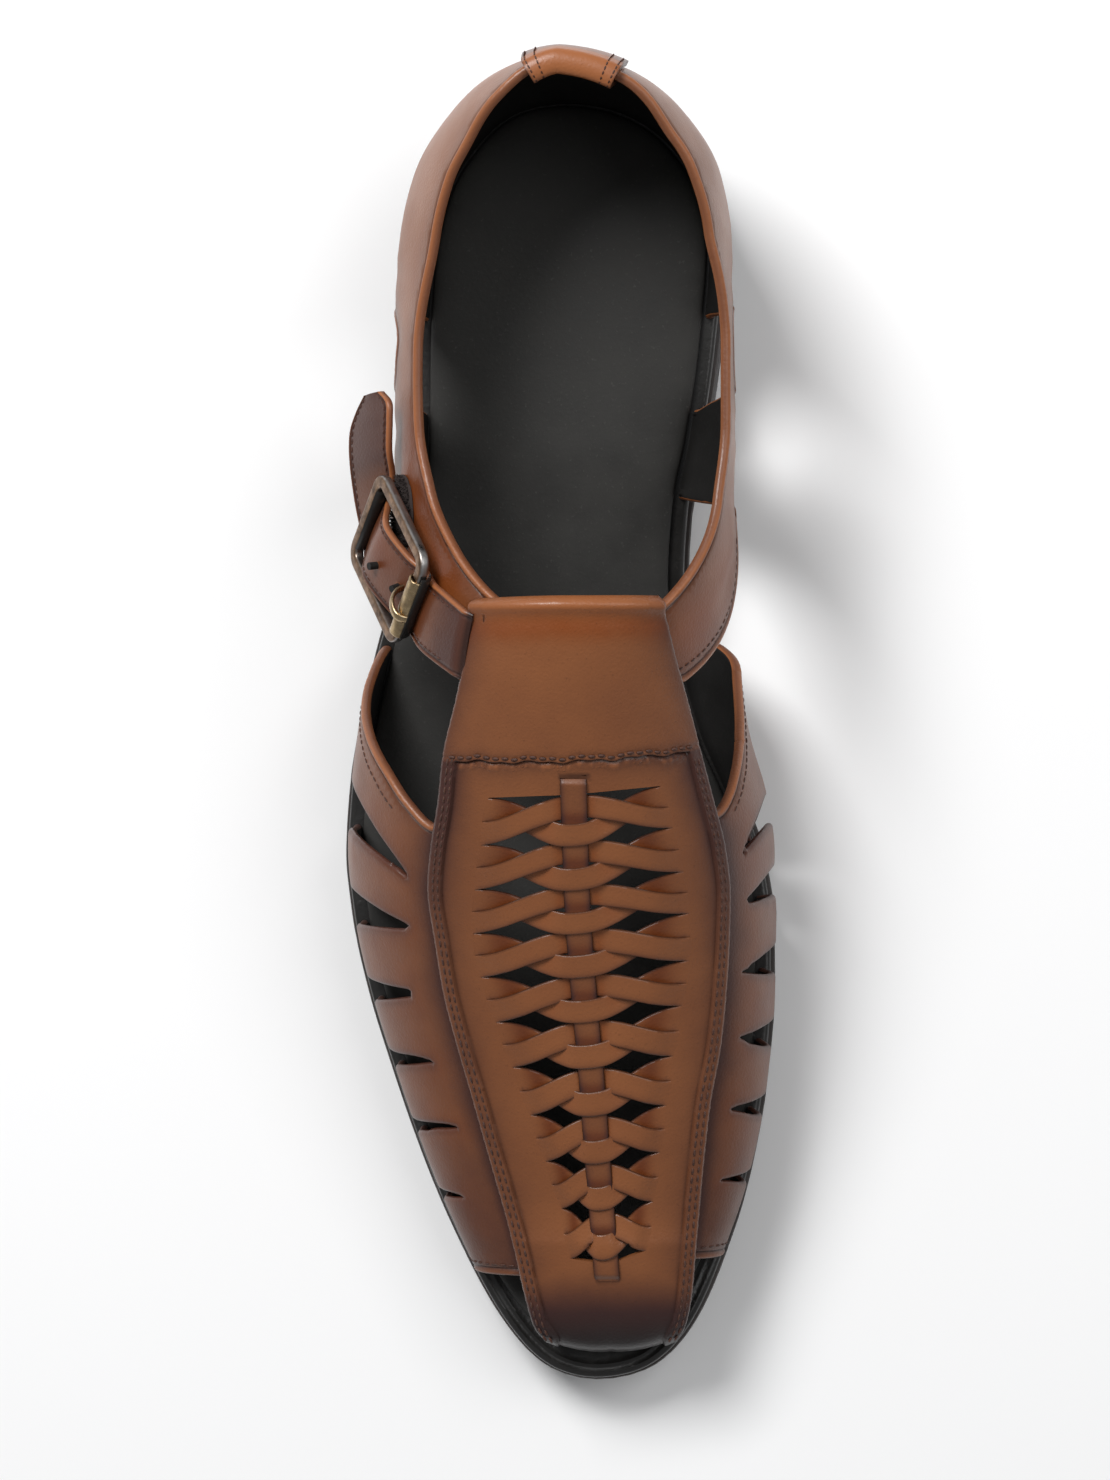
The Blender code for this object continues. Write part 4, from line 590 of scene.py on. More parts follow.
@dataclass
class TrimmedSheet:
    """Triangles over named numbers at each point, which can be cut along any of those numbers."""

    faces: Array
    values: dict[str, Array]

    @classmethod
    def from_grid(cls, rows: int, columns: int, values: dict[str, Array]) -> "TrimmedSheet":
        """A sheet over a grid, with its diagonals alternating."""
        quads = quads_of(numbered(rows, columns))
        odd = (np.arange(len(quads)) // (columns - 1) + np.arange(len(quads)) % (columns - 1)) % 2 == 1
        a, b, c, d = quads.T
        first = np.where(odd[:, None], np.stack([a, b, d], 1), np.stack([a, b, c], 1))
        second = np.where(odd[:, None], np.stack([b, c, d], 1), np.stack([a, c, d], 1))
        return cls(np.concatenate([first, second]), values)

    def split(self, name: str, level: float) -> None:
        """Cut every triangle that the named number crosses at a level."""
        off = self.values[name] - level
        off = np.where(np.abs(off) < 1e-7, 1e-7, off)
        above = off[self.faces] > 0.0
        count = above.sum(1)
        mixed = (count == 1) | (count == 2)
        if not mixed.any():
            return
        cut = self.faces[mixed]
        up = above[mixed]
        odd = np.where(count[mixed] == 1, np.argmax(up, 1), np.argmin(up, 1))
        row = np.arange(len(cut))
        p, q, r = cut[row, odd], cut[row, (odd + 1) % 3], cut[row, (odd + 2) % 3]
        pairs = np.sort(np.concatenate([np.stack([p, q], 1), np.stack([p, r], 1)]), axis=1)
        unique, back = np.unique(pairs, axis=0, return_inverse=True)
        back = back.reshape(-1)
        low, high = unique.T
        share = off[low] / (off[low] - off[high])
        first = len(off)
        for word, numbers in self.values.items():
            fresh = numbers[low] * (1.0 - share) + numbers[high] * share
            if word == name:
                fresh = np.full(len(fresh), level)
            self.values[word] = np.concatenate([numbers, fresh])
        pq = first + back[:len(cut)]
        pr = first + back[len(cut):]
        parts = [np.stack([p, pq, pr], 1), np.stack([pq, q, r], 1), np.stack([pq, r, pr], 1)]
        self.faces = np.concatenate([self.faces[~mixed]] + parts)

    def keep(self, name: str, level: float = 0.0) -> None:
        """Drop the triangles whose named number lies below a level, and the points that they leave."""
        middle = self.values[name][self.faces].mean(1)
        self.faces = self.faces[middle > level]
        used, back = np.unique(self.faces, return_inverse=True)
        self.faces = back.reshape(-1, 3)
        self.values = {word: numbers[used] for word, numbers in self.values.items()}

    def rim(self) -> Array:
        """Edges that bound the sheet, as pairs in their triangle's direction."""
        edges = np.concatenate([self.faces[:, [0, 1]], self.faces[:, [1, 2]], self.faces[:, [2, 0]]])
        _, back, count = np.unique(np.sort(edges, 1), axis=0, return_inverse=True, return_counts=True)
        return edges[count[back.reshape(-1)] == 1]


def nearest(points: Array, targets: Array) -> Array:
    """Distance from each point to the nearest target."""
    if not len(targets):
        return np.full(len(points), FAR)
    tree = kdtree.KDTree(len(targets))
    for i, target in enumerate(targets.tolist()):
        tree.insert(target, i)
    tree.balance()
    return np.array([tree.find(point)[2] for point in points.tolist()])


def along_edges(points: Array, edges: Array, parts: int = 5) -> Array:
    """Points spread along edges."""
    shares = np.arange(parts)[:, None, None] / parts
    return (points[edges[:, 0]] * (1.0 - shares) + points[edges[:, 1]] * shares).reshape(-1, 3)


def round_drop(distance: Array, radius: float) -> Array:
    """How far a rounded edge falls at a distance in from it."""
    into = np.clip(radius - distance, 0.0, radius)
    return radius - np.sqrt(np.maximum(radius ** 2 - into ** 2, 0.0))


# ---- finishes ------------------------------------------------------------------------------------
class NodeSheet:
    """A node tree with short ways to add and join nodes."""

    def __init__(self, tree: NodeTree) -> None:
        self.tree = tree

    def feed(self, node: Node, inputs: dict) -> Node:
        """Give a node's inputs their values, or join sockets to them."""
        for key, value in inputs.items():
            if isinstance(value, NodeSocket):
                self.tree.links.new(value, node.inputs[key])
            else:
                node.inputs[key].default_value = value
        return node

    def add(self, kind: str, inputs: dict | None = None, **settings: object) -> Node:
        """A node with its settings and its inputs, each a value or a socket to join.

        Args:
            kind: the node's type.
            inputs: values or sockets by input name or number.
            settings: properties of the node.

        Returns:
            The new node.
        """
        node = self.tree.nodes.new(kind)
        for word, value in settings.items():
            setattr(node, word, value)
        return self.feed(node, inputs or {})

    def math(self, operation: str, *terms: object) -> NodeSocket:
        """The result of a math node on values or sockets."""
        return self.add("ShaderNodeMath", dict(enumerate(terms)), operation=operation).outputs[0]

    def layers(self, tone: object, *layers: tuple[object, object]) -> NodeSocket:
        """A colour with others laid over it, each through its own mask."""
        for mask, colour in layers:
            tone = self.add("ShaderNodeMix", {0: mask, 6: tone, 7: colour}, data_type="RGBA").outputs[2]
        return tone

    def ramp(self, value: object, low: float, high: float, start: float = 0.0,
             end: float = 1.0) -> NodeSocket:
        """A number mapped from one range to another, clamped."""
        node = self.add("ShaderNodeMapRange", {0: value, 1: low, 2: high, 3: start, 4: end}, clamp=True)
        return node.outputs[0]

    def noise(self, **inputs: object) -> NodeSocket:
        """Noise in the object's own space."""
        place = self.add("ShaderNodeTexCoord").outputs["Object"]
        return self.add("ShaderNodeTexNoise", {"Vector": place, **inputs}).outputs["Fac"]

    def number(self, word: str) -> NodeSocket:
        """A named number of the mesh."""
        return self.add("ShaderNodeAttribute", attribute_name=word).outputs["Fac"]

    def group(self, build: Callable[[], NodeTree], inputs: dict) -> Node:
        """A shared group with its own values, built once and found again by its name."""
        tree = bpy.data.node_groups.get(build.__name__) or build()
        return self.add("ShaderNodeGroup", inputs, node_tree=tree)

    def grain(self, pores: float, pebble: float, mottle: float) -> list[NodeSocket]:
        """Height, mottling and specks of a hide."""
        return self.group(hide_grain, {"Pores": pores, "Pebble": pebble, "Mottle": mottle}).outputs[:3]

    def worn(self, word: str, scale: float, broken: float) -> NodeSocket:
        """A named number of the mesh with its edges broken up."""
        values = {"Mask": self.number(word), "Scale": scale, "Break": broken}
        return self.group(worn_edge, values).outputs[0]


def shader_group(name: str, inputs: dict[str, float],
                 outputs: tuple[str, ...]) -> tuple[NodeSheet, object, Node]:
    """An empty shader group of numbers.

    Args:
        name: the group's name.
        inputs: defaults by input name.
        outputs: the outputs' names.

    Returns:
        Its sheet, the sockets that bring its inputs in, and the node that takes its outputs.
    """
    tree = bpy.data.node_groups.new(name, "ShaderNodeTree")
    for word, value in inputs.items():
        tree.interface.new_socket(name=word, in_out="INPUT", socket_type=NUMBER).default_value = value
    for word in outputs:
        tree.interface.new_socket(name=word, in_out="OUTPUT", socket_type=NUMBER)
    sheet = NodeSheet(tree)
    return sheet, sheet.add("NodeGroupInput").outputs, sheet.add("NodeGroupOutput")


def hide_grain() -> NodeTree:
    """Fine pores and pebbles of a hide, and its slow mottling, shared by every grained finish."""
    sheet, given, wanted = shader_group("hide_grain", {"Pores": 900.0, "Pebble": 0.5, "Mottle": 60.0},
                                        ("Height", "Mottle", "Speck"))
    place = sheet.add("ShaderNodeTexCoord").outputs["Object"]
    cells = sheet.add("ShaderNodeTexVoronoi", {"Vector": place, "Scale": given["Pores"]}, feature="F1")
    fine = sheet.noise(Scale=given["Pores"], Detail=3.0, Roughness=0.6)
    slow = sheet.noise(Scale=given["Mottle"], Detail=4.0, Roughness=0.55)
    pebbles = sheet.math("MULTIPLY", cells.outputs["Distance"], given["Pebble"])
    sheet.feed(wanted, {"Height": sheet.math("SUBTRACT", fine, pebbles), "Mottle": sheet.ramp(slow, 0.3, 0.7),
                        "Speck": sheet.ramp(fine, 0.62, 0.74)})
    return sheet.tree


def worn_edge() -> NodeTree:
    """A broken-up mask from a smooth one, for wear, for burnishing and for painted shade that fade unevenly.
    """
    sheet, given, wanted = shader_group("worn_edge", {"Mask": 0.0, "Scale": 300.0, "Break": 0.3}, ("Mask",))
    noise = sheet.noise(Scale=given["Scale"], Detail=3.0)
    swing = sheet.math("MULTIPLY", sheet.math("SUBTRACT", noise, 0.5), given["Break"])
    half = sheet.math("MULTIPLY", given["Mask"], sheet.math("SUBTRACT", 1.0, given["Mask"]))
    room = sheet.math("ADD", sheet.math("MULTIPLY", half, 4.0), 0.15)
    broken = sheet.math("ADD", given["Mask"], sheet.math("MULTIPLY", swing, room))
    sheet.feed(wanted, {"Mask": sheet.ramp(broken, 0.0, 1.0)})
    return sheet.tree


NUMBER = "NodeSocketFloat"
Colour = tuple[float, float, float, float]


@dataclass(frozen=True)
class Finish:
    """What every finish has: a name, a gloss and how deep its fine relief is."""

    name: str
    roughness: float = 0.5
    relief_mm: float = 0.03

    def material(self) -> Material:
        """The material, built when first asked for."""
        known = bpy.data.materials.get(self.name)
        if known:
            return known
        material = bpy.data.materials.new(self.name)
        material.use_nodes = True
        self.dress(NodeSheet(material.node_tree), material.node_tree.nodes["Principled BSDF"])
        return material

    def dress(self, sheet: NodeSheet, shader: Node) -> None:
        """Join the finish's nodes to the shader."""
        raise NotImplementedError

    def join(self, sheet: NodeSheet, shader: Node, tone: NodeSocket, rough: NodeSocket, height: NodeSocket,
             strength: float, more: dict | None = None) -> None:
        """Join the shader's inputs.

        Args:
            sheet: the material's sheet.
            shader: the shader.
            tone: its colour.
            rough: its roughness.
            height: the fine relief.
            strength: how strong the relief is.
            more: values of other inputs by name.
        """
        values = {"Height": height, "Strength": strength, "Distance": self.relief_mm * MM}
        normal = sheet.add("ShaderNodeBump", values).outputs["Normal"]
        sheet.feed(shader, {"Base Color": tone, "Roughness": rough, "Normal": normal, **(more or {})})


@dataclass(frozen=True)
class BurnishedLeather(Finish):
    """Tan leather, burnished dark along its edges and darkened by painted shade, tinted orange-brown as
    painted shade in its hollows and folds, and lightened on its rolled lips partly by a painted highlight.
    """

    tan: Colour = (0.235, 0.084, 0.030, 1.0)
    deep: Colour = (0.175, 0.056, 0.018, 1.0)
    # dark tone for burnishing and for painted shade
    dark: Colour = (0.044, 0.0155, 0.013, 1.0)
    # orange-brown painted shade for hollows, folds and places under other parts
    glow: Colour = (0.19, 0.043, 0.005, 1.0)
    # lighter rolled lip: partly the roll's own colour, partly a painted highlight
    lip: Colour = (0.36, 0.125, 0.042, 1.0)
    line: Colour = (0.018, 0.006, 0.004, 1.0)
    black: Colour = (0.010, 0.008, 0.008, 1.0)
    coat: float = 0.17

    def dress(self, sheet: NodeSheet, shader: Node) -> None:
        """Blend the tones by the mesh's own numbers, broken up by the hide's mottling: orange-brown painted
        shade, dark burnishing with painted shade, and a lighter lip that is partly a painted highlight.
        """
        height, mottle, speck = sheet.grain(1500.0, 0.6, 55.0)
        tone = sheet.layers(
            self.tan, (sheet.math("MULTIPLY", mottle, 0.5),
                       self.deep), (sheet.worn("glow", 260.0, 0.4), self.glow),
            (sheet.worn("burnish_and_shade", 140.0, 0.3), self.dark), (sheet.number("lip"), self.lip),
            (sheet.number("char"), self.black), (sheet.number("line"), self.line),
            (sheet.math("MULTIPLY", speck, 0.25), self.line))
        rough = sheet.ramp(mottle, 0.0, 1.0, self.roughness - 0.05, self.roughness + 0.07)
        self.join(sheet, shader, tone, rough, height, 0.8,
                  {"Specular IOR Level": 0.3, "Coat Weight": self.coat, "Coat Roughness": 0.2})


@dataclass(frozen=True)
class BlackCover(Finish):
    """Black covering, matt or glossy, with a fine grain and greyed rubs."""

    black: Colour = (0.009, 0.0085, 0.008, 1.0)
    rubbed: Colour = (0.026, 0.024, 0.022, 1.0)
    pores: float = 1200.0
    coat: float = 0.0
    wrinkle: float = 0.0

    def dress(self, sheet: NodeSheet, shader: Node) -> None:
        """Join grain, rubs and, on the wrapped rim, soft wrinkles."""
        height, mottle, speck = sheet.grain(self.pores, 0.4, 90.0)
        tone = sheet.layers(self.black, (sheet.math("MULTIPLY", mottle, 0.35), self.rubbed),
                            (sheet.math("MULTIPLY", speck, 0.6), self.rubbed))
        rough = sheet.ramp(mottle, 0.0, 1.0, self.roughness - 0.06, self.roughness + 0.08)
        if self.wrinkle:
            folds = sheet.noise(Scale=260.0, Detail=2.0, Distortion=1.2)
            height = sheet.math("ADD", height, sheet.math("MULTIPLY", folds, self.wrinkle))
        self.join(sheet, shader, tone, rough, height, 0.7,
                  {"Specular IOR Level": 0.32, "Coat Weight": self.coat, "Coat Roughness": 0.25})


@dataclass(frozen=True)
class MouldedRubber(Finish):
    """Moulded sole rubber, darker by its rim and, as painted shade, in its grooves, with a dusty bloom."""

    body: Colour = (0.24, 0.135, 0.095, 1.0)
    rim: Colour = (0.022, 0.015, 0.013, 1.0)
    bloom: Colour = (0.34, 0.22, 0.165, 1.0)

    def dress(self, sheet: NodeSheet, shader: Node) -> None:
        """Darken the dark rim, and the grooves as painted shade, by the mesh's number, and dust the rest."""
        height, mottle, _ = sheet.grain(2200.0, 0.3, 40.0)
        tone = sheet.layers(self.body, (sheet.math("MULTIPLY", mottle, 0.25), self.bloom),
                            (sheet.worn("burnish_and_shade", 120.0, 0.35), self.rim))
        rough = sheet.ramp(mottle, 0.0, 1.0, self.roughness - 0.05, self.roughness + 0.1)
        self.join(sheet, shader, tone, rough, height, 0.5)


@dataclass(frozen=True)
class AgedBrass(Finish):
    """Antique brass: brown-gold faces, grey where the outer side has worn."""

    gold: Colour = (0.25, 0.155, 0.095, 1.0)
    brown: Colour = (0.075, 0.044, 0.028, 1.0)
    grey: Colour = (0.34, 0.33, 0.32, 1.0)

    def dress(self, sheet: NodeSheet, shader: Node) -> None:
        """Blend gold, brown and worn grey by noise and the mesh's worn number."""
        patches = sheet.noise(Scale=420.0, Detail=5.0, Roughness=0.65)
        tone = sheet.layers(self.gold, (sheet.ramp(patches, 0.38, 0.68), self.brown),
                            (sheet.worn("worn", 900.0, 0.9), self.grey))
        rough = sheet.ramp(patches, 0.3, 0.7, self.roughness - 0.07, self.roughness + 0.15)
        self.join(sheet, shader, tone, rough, patches, 0.35, {"Metallic": 1.0})


@dataclass(frozen=True)
class SpunThread(Finish):
    """Sewing thread with a fine twist."""

    colour: Colour = (0.035, 0.012, 0.007, 1.0)
    light: Colour = (0.10, 0.035, 0.018, 1.0)

    def dress(self, sheet: NodeSheet, shader: Node) -> None:
        """Mottle the thread along its plies."""
        plies = sheet.noise(Scale=3200.0, Detail=2.0)
        tone = sheet.layers(self.colour, (sheet.ramp(plies, 0.4, 0.7), self.light))
        rough = sheet.ramp(plies, 0.3, 0.7, self.roughness, self.roughness + 0.2)
        self.join(sheet, shader, tone, rough, plies, 0.6)


LEATHER = BurnishedLeather("burnished_tan_leather", roughness=0.40, relief_mm=0.075)
LINING = BlackCover("black_lining", roughness=0.62, relief_mm=0.04, black=(0.006, 0.0055, 0.005, 1.0),
                    rubbed=(0.016, 0.015, 0.014, 1.0))
FOOTBED_SKIN = BlackCover("footbed_skin", roughness=0.66, relief_mm=0.05, pores=1100.0,
                          black=(0.022, 0.021, 0.0195, 1.0), rubbed=(0.052, 0.050, 0.046, 1.0))
RIM_WRAP = BlackCover("wrapped_rim", roughness=0.34, relief_mm=0.10, coat=0.35, wrinkle=1.6)
KEEPER_BLACK = BlackCover("keeper_black", roughness=0.38, relief_mm=0.03, coat=0.2)
FUZZ = BlackCover("hook_fuzz", roughness=0.8, black=(0.022, 0.016, 0.015, 1.0),
                  rubbed=(0.085, 0.066, 0.06, 1.0))
SOLE_RUBBER = MouldedRubber("moulded_sole_rubber", roughness=0.55)
HEEL_RUBBER = MouldedRubber("moulded_heel_rubber", roughness=0.5, body=(0.040, 0.028, 0.026, 1.0),
                            rim=(0.014, 0.011, 0.011, 1.0), bloom=(0.06, 0.046, 0.042, 1.0))
BRASS = AgedBrass("aged_brass", roughness=0.33, relief_mm=0.03)
PALE_BRASS = AgedBrass("polished_brass", roughness=0.27, relief_mm=0.02, gold=(0.46, 0.34, 0.19, 1.0),
                       brown=(0.22, 0.15, 0.08, 1.0))
THREAD = SpunThread("dark_thread", roughness=0.55, relief_mm=0.05)


# ---- geometry nodes ------------------------------------------------------------------------------
class NodeMaker:
    """A Geometry Nodes tree with named inputs, run once on an object."""

    def __init__(self, name: str, inputs: dict[str, tuple[str, object]]) -> None:
        self.tree = bpy.data.node_groups.new(name, "GeometryNodeTree")
        self.tree.interface.new_socket(name="Geometry", in_out="INPUT", socket_type="NodeSocketGeometry")
        self.tree.interface.new_socket(name="Geometry", in_out="OUTPUT", socket_type="NodeSocketGeometry")
        self.identifiers = {}
        for word, (kind, value) in inputs.items():
            socket = self.tree.interface.new_socket(name=word, in_out="INPUT", socket_type=kind)
            if value is not None:
                socket.default_value = value
            self.identifiers[word] = socket.identifier
        self.sheet = NodeSheet(self.tree)
        self.start = self.sheet.add("NodeGroupInput")
        self.end = self.sheet.add("NodeGroupOutput")

    def given(self, word: str) -> NodeSocket:
        """The socket that brings an input in."""
        return self.start.outputs[word]

    def close(self, instances: NodeSocket) -> None:
        """Realize the instances, give them their material and put them out."""
        real = self.sheet.add("GeometryNodeRealizeInstances", {"Geometry": instances})
        dressed = self.sheet.add("GeometryNodeSetMaterial",
                                 {"Geometry": real.outputs[0], "Material": self.given("Material")})
        round_off = self.sheet.add("GeometryNodeSetShadeSmooth", {"Geometry": dressed.outputs[0]})
        self.tree.links.new(round_off.outputs[0], self.end.inputs[0])

    def run(self, guide: Object, name: str, values: dict[str, object]) -> Object:
        """The tree's result on a guide, as a plain mesh piece.

        Args:
            guide: the object that the tree works on, removed afterwards.
            name: the new piece's name.
            values: values of the tree's inputs by name.

        Returns:
            The new piece.
        """
        modifier = guide.modifiers.new(name, "NODES")
        modifier.node_group = self.tree
        for word, value in values.items():
            modifier[self.identifiers[word]] = value
        mesh = with_modifiers(guide)
        mesh.name = name
        bpy.data.objects.remove(guide)
        return place_object(name, mesh)


def stitch_maker() -> NodeMaker:
    """Stitches laid along polylines, each a small plump thread lying on the leather."""
    maker = NodeMaker("stitch_rows", {
        "Pitch": (NUMBER, 0.0021), "Length": (NUMBER, 0.0016),
        "Radius": (NUMBER, 0.0003), "Material": ("NodeSocketMaterial", None)})
    sheet = maker.sheet
    curve = sheet.add("GeometryNodeMeshToCurve", {"Mesh": maker.start.outputs["Geometry"]})
    spaced = sheet.add("GeometryNodeResampleCurve",
                       {"Curve": curve.outputs[0], "Length": maker.given("Pitch")},
                       mode="LENGTH")
    up = sheet.add("GeometryNodeInputNamedAttribute", {"Name": "up"}, data_type="FLOAT_VECTOR")
    tangent = sheet.add("GeometryNodeInputTangent")
    first = sheet.add("FunctionNodeAlignRotationToVector", {"Vector": up.outputs[0]}, axis="Z")
    second = sheet.add("FunctionNodeAlignRotationToVector",
                       {"Rotation": first.outputs[0], "Vector": tangent.outputs[0]}, axis="X", pivot_axis="Z")
    ball = sheet.add("GeometryNodeMeshUVSphere", {"Segments": 6, "Rings": 6, "Radius": 1.0})
    half = sheet.math("MULTIPLY", maker.given("Length"), 0.5)
    flat = sheet.math("MULTIPLY", maker.given("Radius"), 0.85)
    size = sheet.add("ShaderNodeCombineXYZ", {0: flat, 1: maker.given("Radius"), 2: half})
    turned = sheet.add("GeometryNodeTransform", {"Geometry": ball.outputs[0], "Scale": size.outputs[0]})
    laid = sheet.add("GeometryNodeTransform",
                     {"Geometry": turned.outputs[0], "Rotation": (0.0, math.pi / 2.0, 0.0)})
    many = sheet.add("GeometryNodeInstanceOnPoints",
                     {"Points": spaced.outputs[0], "Instance": laid.outputs[0],
                      "Rotation": second.outputs[0]})
    maker.close(many.outputs[0])
    return maker


def bristle_maker() -> NodeMaker:
    """Short hooked bristles standing on a face."""
    maker = NodeMaker("bristles", {
        "Density": (NUMBER, 3.0e6), "Height": (NUMBER, 0.0009),
        "Radius": (NUMBER, 0.00016), "Seed": ("NodeSocketInt",
                                              BRISTLE_SEED), "Material": ("NodeSocketMaterial", None)})
    sheet = maker.sheet
    spread = sheet.add("GeometryNodeDistributePointsOnFaces",
                       {"Mesh": maker.start.outputs["Geometry"], "Density": maker.given("Density"),
                        "Seed": maker.given("Seed")}, distribute_method="RANDOM")
    lean = sheet.add("FunctionNodeRandomValue",
                     {0: (-0.7, -0.7, -3.0), 1: (0.7, 0.7, 3.0), "Seed": maker.given("Seed")},
                     data_type="FLOAT_VECTOR")
    turn = sheet.add("FunctionNodeEulerToRotation", {0: lean.outputs[0]})
    turned = sheet.add("FunctionNodeRotateRotation",
                       {"Rotation": spread.outputs["Rotation"],
                        "Rotate By": turn.outputs[0]}, rotation_space="LOCAL")
    hair = sheet.add("GeometryNodeMeshCone",
                     {"Vertices": 4, "Radius Top": 0.00006, "Radius Bottom": maker.given("Radius"),
                      "Depth": maker.given("Height")})
    many = sheet.add("GeometryNodeInstanceOnPoints",
                     {"Points": spread.outputs["Points"], "Instance": hair.outputs[0],
                      "Rotation": turned.outputs[0]})
    maker.close(many.outputs[0])
    return maker


@dataclass
class StitchRow:
    """A row of stitches: shoe points along it and the way out of the leather at each."""

    points: Array
    ups: Array


def stitch_row(place: tuple[Array, Array], lift: float) -> StitchRow:
    """A row over places on the form, at an even lift."""
    return StitchRow(FORM.point(*place, lift), FORM.normal(*place))


def sew(maker: NodeMaker, name: str, rows: list[StitchRow], slot: str, pitch: float = 2.1,
        length: float = 1.6,
        radius: float = 0.27) -> Object:
    """A piece with the stitches of several rows.

    Args:
        maker: the stitch tree.
        name: the piece's name.
        rows: the rows of stitches.
        slot: not used.
        pitch: distance between stitches in millimetres.
        length: length of a stitch in millimetres.
        radius: half a thread's width in millimetres.

    Returns:
        The settled piece.
    """
    points = np.concatenate([row.points for row in rows])
    ups = np.concatenate([row.ups for row in rows]) * (1.0, -1.0, 1.0)
    edges = []
    first = 0
    for row in rows:
        edges += [(first + k, first + k + 1) for k in range(len(row.points) - 1)]
        first += len(row.points)
    mesh = bpy.data.meshes.new(name + "_guide")
    mesh.from_pydata(to_world(points).tolist(), edges, [])
    layer = mesh.attributes.new("up", "FLOAT_VECTOR", "POINT")
    layer.data.foreach_set("vector", ups.astype(np.float32).ravel())
    guide = place_object(name + "_guide", mesh)
    values = {"Pitch": pitch * MM, "Length": length * MM, "Radius": radius * MM,
              "Material": THREAD.material()}
    return settle(maker.run(guide, name, values), slot)


# ---- sole ----------------------------------------------------------------------------------------
def sole_ring(inset: float, lift: Callable[[Array], Array], turns: dict[int, Array]) -> Array:
    """A ring of points round the sole at an inset, outer side from heel to toe and inner side back.

    Args:
        inset: distance in from the sole's edge.
        lift: height as a function of the station.
        turns: turns of each side, from the heel's back to the toe's tip.

    Returns:
        The ring's points.
    """
    outer, inner = (edge_point(side, turns[side], inset) for side in SIDES)
    plan = np.concatenate([outer, inner[::-1][1:-1]])
    return np.column_stack([plan, lift(plan[:, 1])])


def between_points(points: Array, left: Array, right: Array, shares: Array) -> tuple[Array, Array]:
    """x and station at shares of the way from left points to right points."""
    start, end = points[left][:, None, :2], points[right][:, None, :2]
    plan = start + (end - start) * shares[:, None]
    return plan[..., 0], plan[..., 1]


def ring_stack(rings: list[Array]) -> list:
    """Faces of rings joined one above the other and closed at both ends."""
    count = len(rings[0])
    return [quads_of(numbered(len(rings), count), loop=True), ring_caps(0, count, True),
            ring_caps((len(rings) - 1) * count, count, False)]


def ring_caps(first: int, count: int, flip: bool) -> list[tuple[int, ...]]:
    """Strips that close a ring across the foot."""
    half = count // 2
    faces = [(first, first + 1, first + count - 1)]
    for j in range(1, half - 1):
        faces.append((first + j, first + j + 1, first + count - j - 1, first + count - j))
    faces.append((first + half - 1, first + half, first + half + 1))
    return [face[::-1] for face in faces] if flip else faces


@dataclass
class Platform:
    """The black wrapped platform between the outsole and the upper."""

    inset: float = 0.9
    turns: int = 260
    ridges: tuple[float, float] = (2.3, 4.0)
    ridge_height: float = 0.32

    def top(self, station: Array, inset: float) -> Array:
        """Height of the wrap, with two ridges that rise towards the toe."""
        level = underside(station) + OUTSOLE_THICKNESS + GAP + MIDSOLE_THICKNESS
        rise = smooth(station, 262.0, 284.0) * self.ridge_height
        fold = sum(bump(inset, ridge, 0.42) for ridge in self.ridges)
        return level + rise * fold - 0.10 * smooth(station, 262.0, 284.0)

    def build(self) -> Object:
        """Loft the wrap's rings and close it above and below."""
        turns = dict.fromkeys(SIDES, np.linspace(0.0, 1.0, self.turns))
        rings = [sole_ring(self.inset + extra, lambda s: underside(s) + OUTSOLE_THICKNESS + GAP + lift, turns)
                 for extra, lift in ((0.6, 0.0), (0.1, 0.25), (0.0, 1.0), (0.0, 2.0))]
        levels = [(self.inset + extra, drop) for extra, drop in ((0.12, 0.55), (0.4, 0.2), (0.8, 0.04))]
        levels += [(inset, 0.0)
                   for inset in (2.0, 2.3, 2.6, 3.0, 3.4, 3.7, 4.0, 4.3, 4.7, 5.4, 6.4, 8.0, 10.0)]
        rings += [sole_ring(inset, lambda s: self.top(s, inset) - drop, turns) for inset, drop in levels]
        piece = make_piece("wrapped_platform", np.concatenate(rings), ring_stack(rings),
                           [RIM_WRAP.material()])
        return settle(piece, "black_cover", "midsole")


@dataclass
class Footbed:
    """The bare padded footbed, with a ledge round its edge."""

    clearance: float = 2.5
    ledge: float = 4.2
    toe_setback: float = 3.8
    stations: int = 240

    def build(self) -> Object:
        """Loft rings inside the upper's base and crown the pad slightly."""
        along = np.concatenate([np.linspace(0.0, HEEL_AXIS, 40),
                                np.linspace(HEEL_AXIS, TOE_AXIS, self.stations)[1:],
                                np.linspace(TOE_AXIS, UPPER_FRONT, 40)[1:]])
        profile = [(0.6, 0.0), (0.1, 0.2), (0.0, 0.7), (0.15, 1.2), (0.6, 1.65), (1.3, 1.98), (2.4, 2.25),
                   (self.ledge, 2.45), (self.ledge + 2.0,
                                        2.55), (self.ledge + 5.0, 2.61), (self.ledge + 12.0, 2.6)]
        rings = []
        for inset, lift in profile:
            halves = []
            for side, stations in ((LATERAL, along), (MEDIAL, along[::-1])):
                axis_x, axis_s, out_x, out_s, _, reach, *_ = FORM.half(stations, side)
                tip = np.maximum(0.0, (stations - TOE_AXIS) / (UPPER_FRONT - TOE_AXIS))
                away = np.maximum(reach - self.clearance - inset - self.toe_setback * tip, 1.0)
                x = axis_x + out_x * away
                s = axis_s + out_s * away
                halves.append(np.column_stack([x, s, midsole_top(s) + lift]))
            rings.append(np.concatenate([halves[0], halves[1][1:-1]]))
        piece = make_piece("footbed_pad", np.concatenate(rings), ring_stack(rings), [FOOTBED_SKIN.material()])
        return settle(piece, "footbed_cover", "footbed")


WaveBand = namedtuple("WaveBand", "station phase grooves pitch")


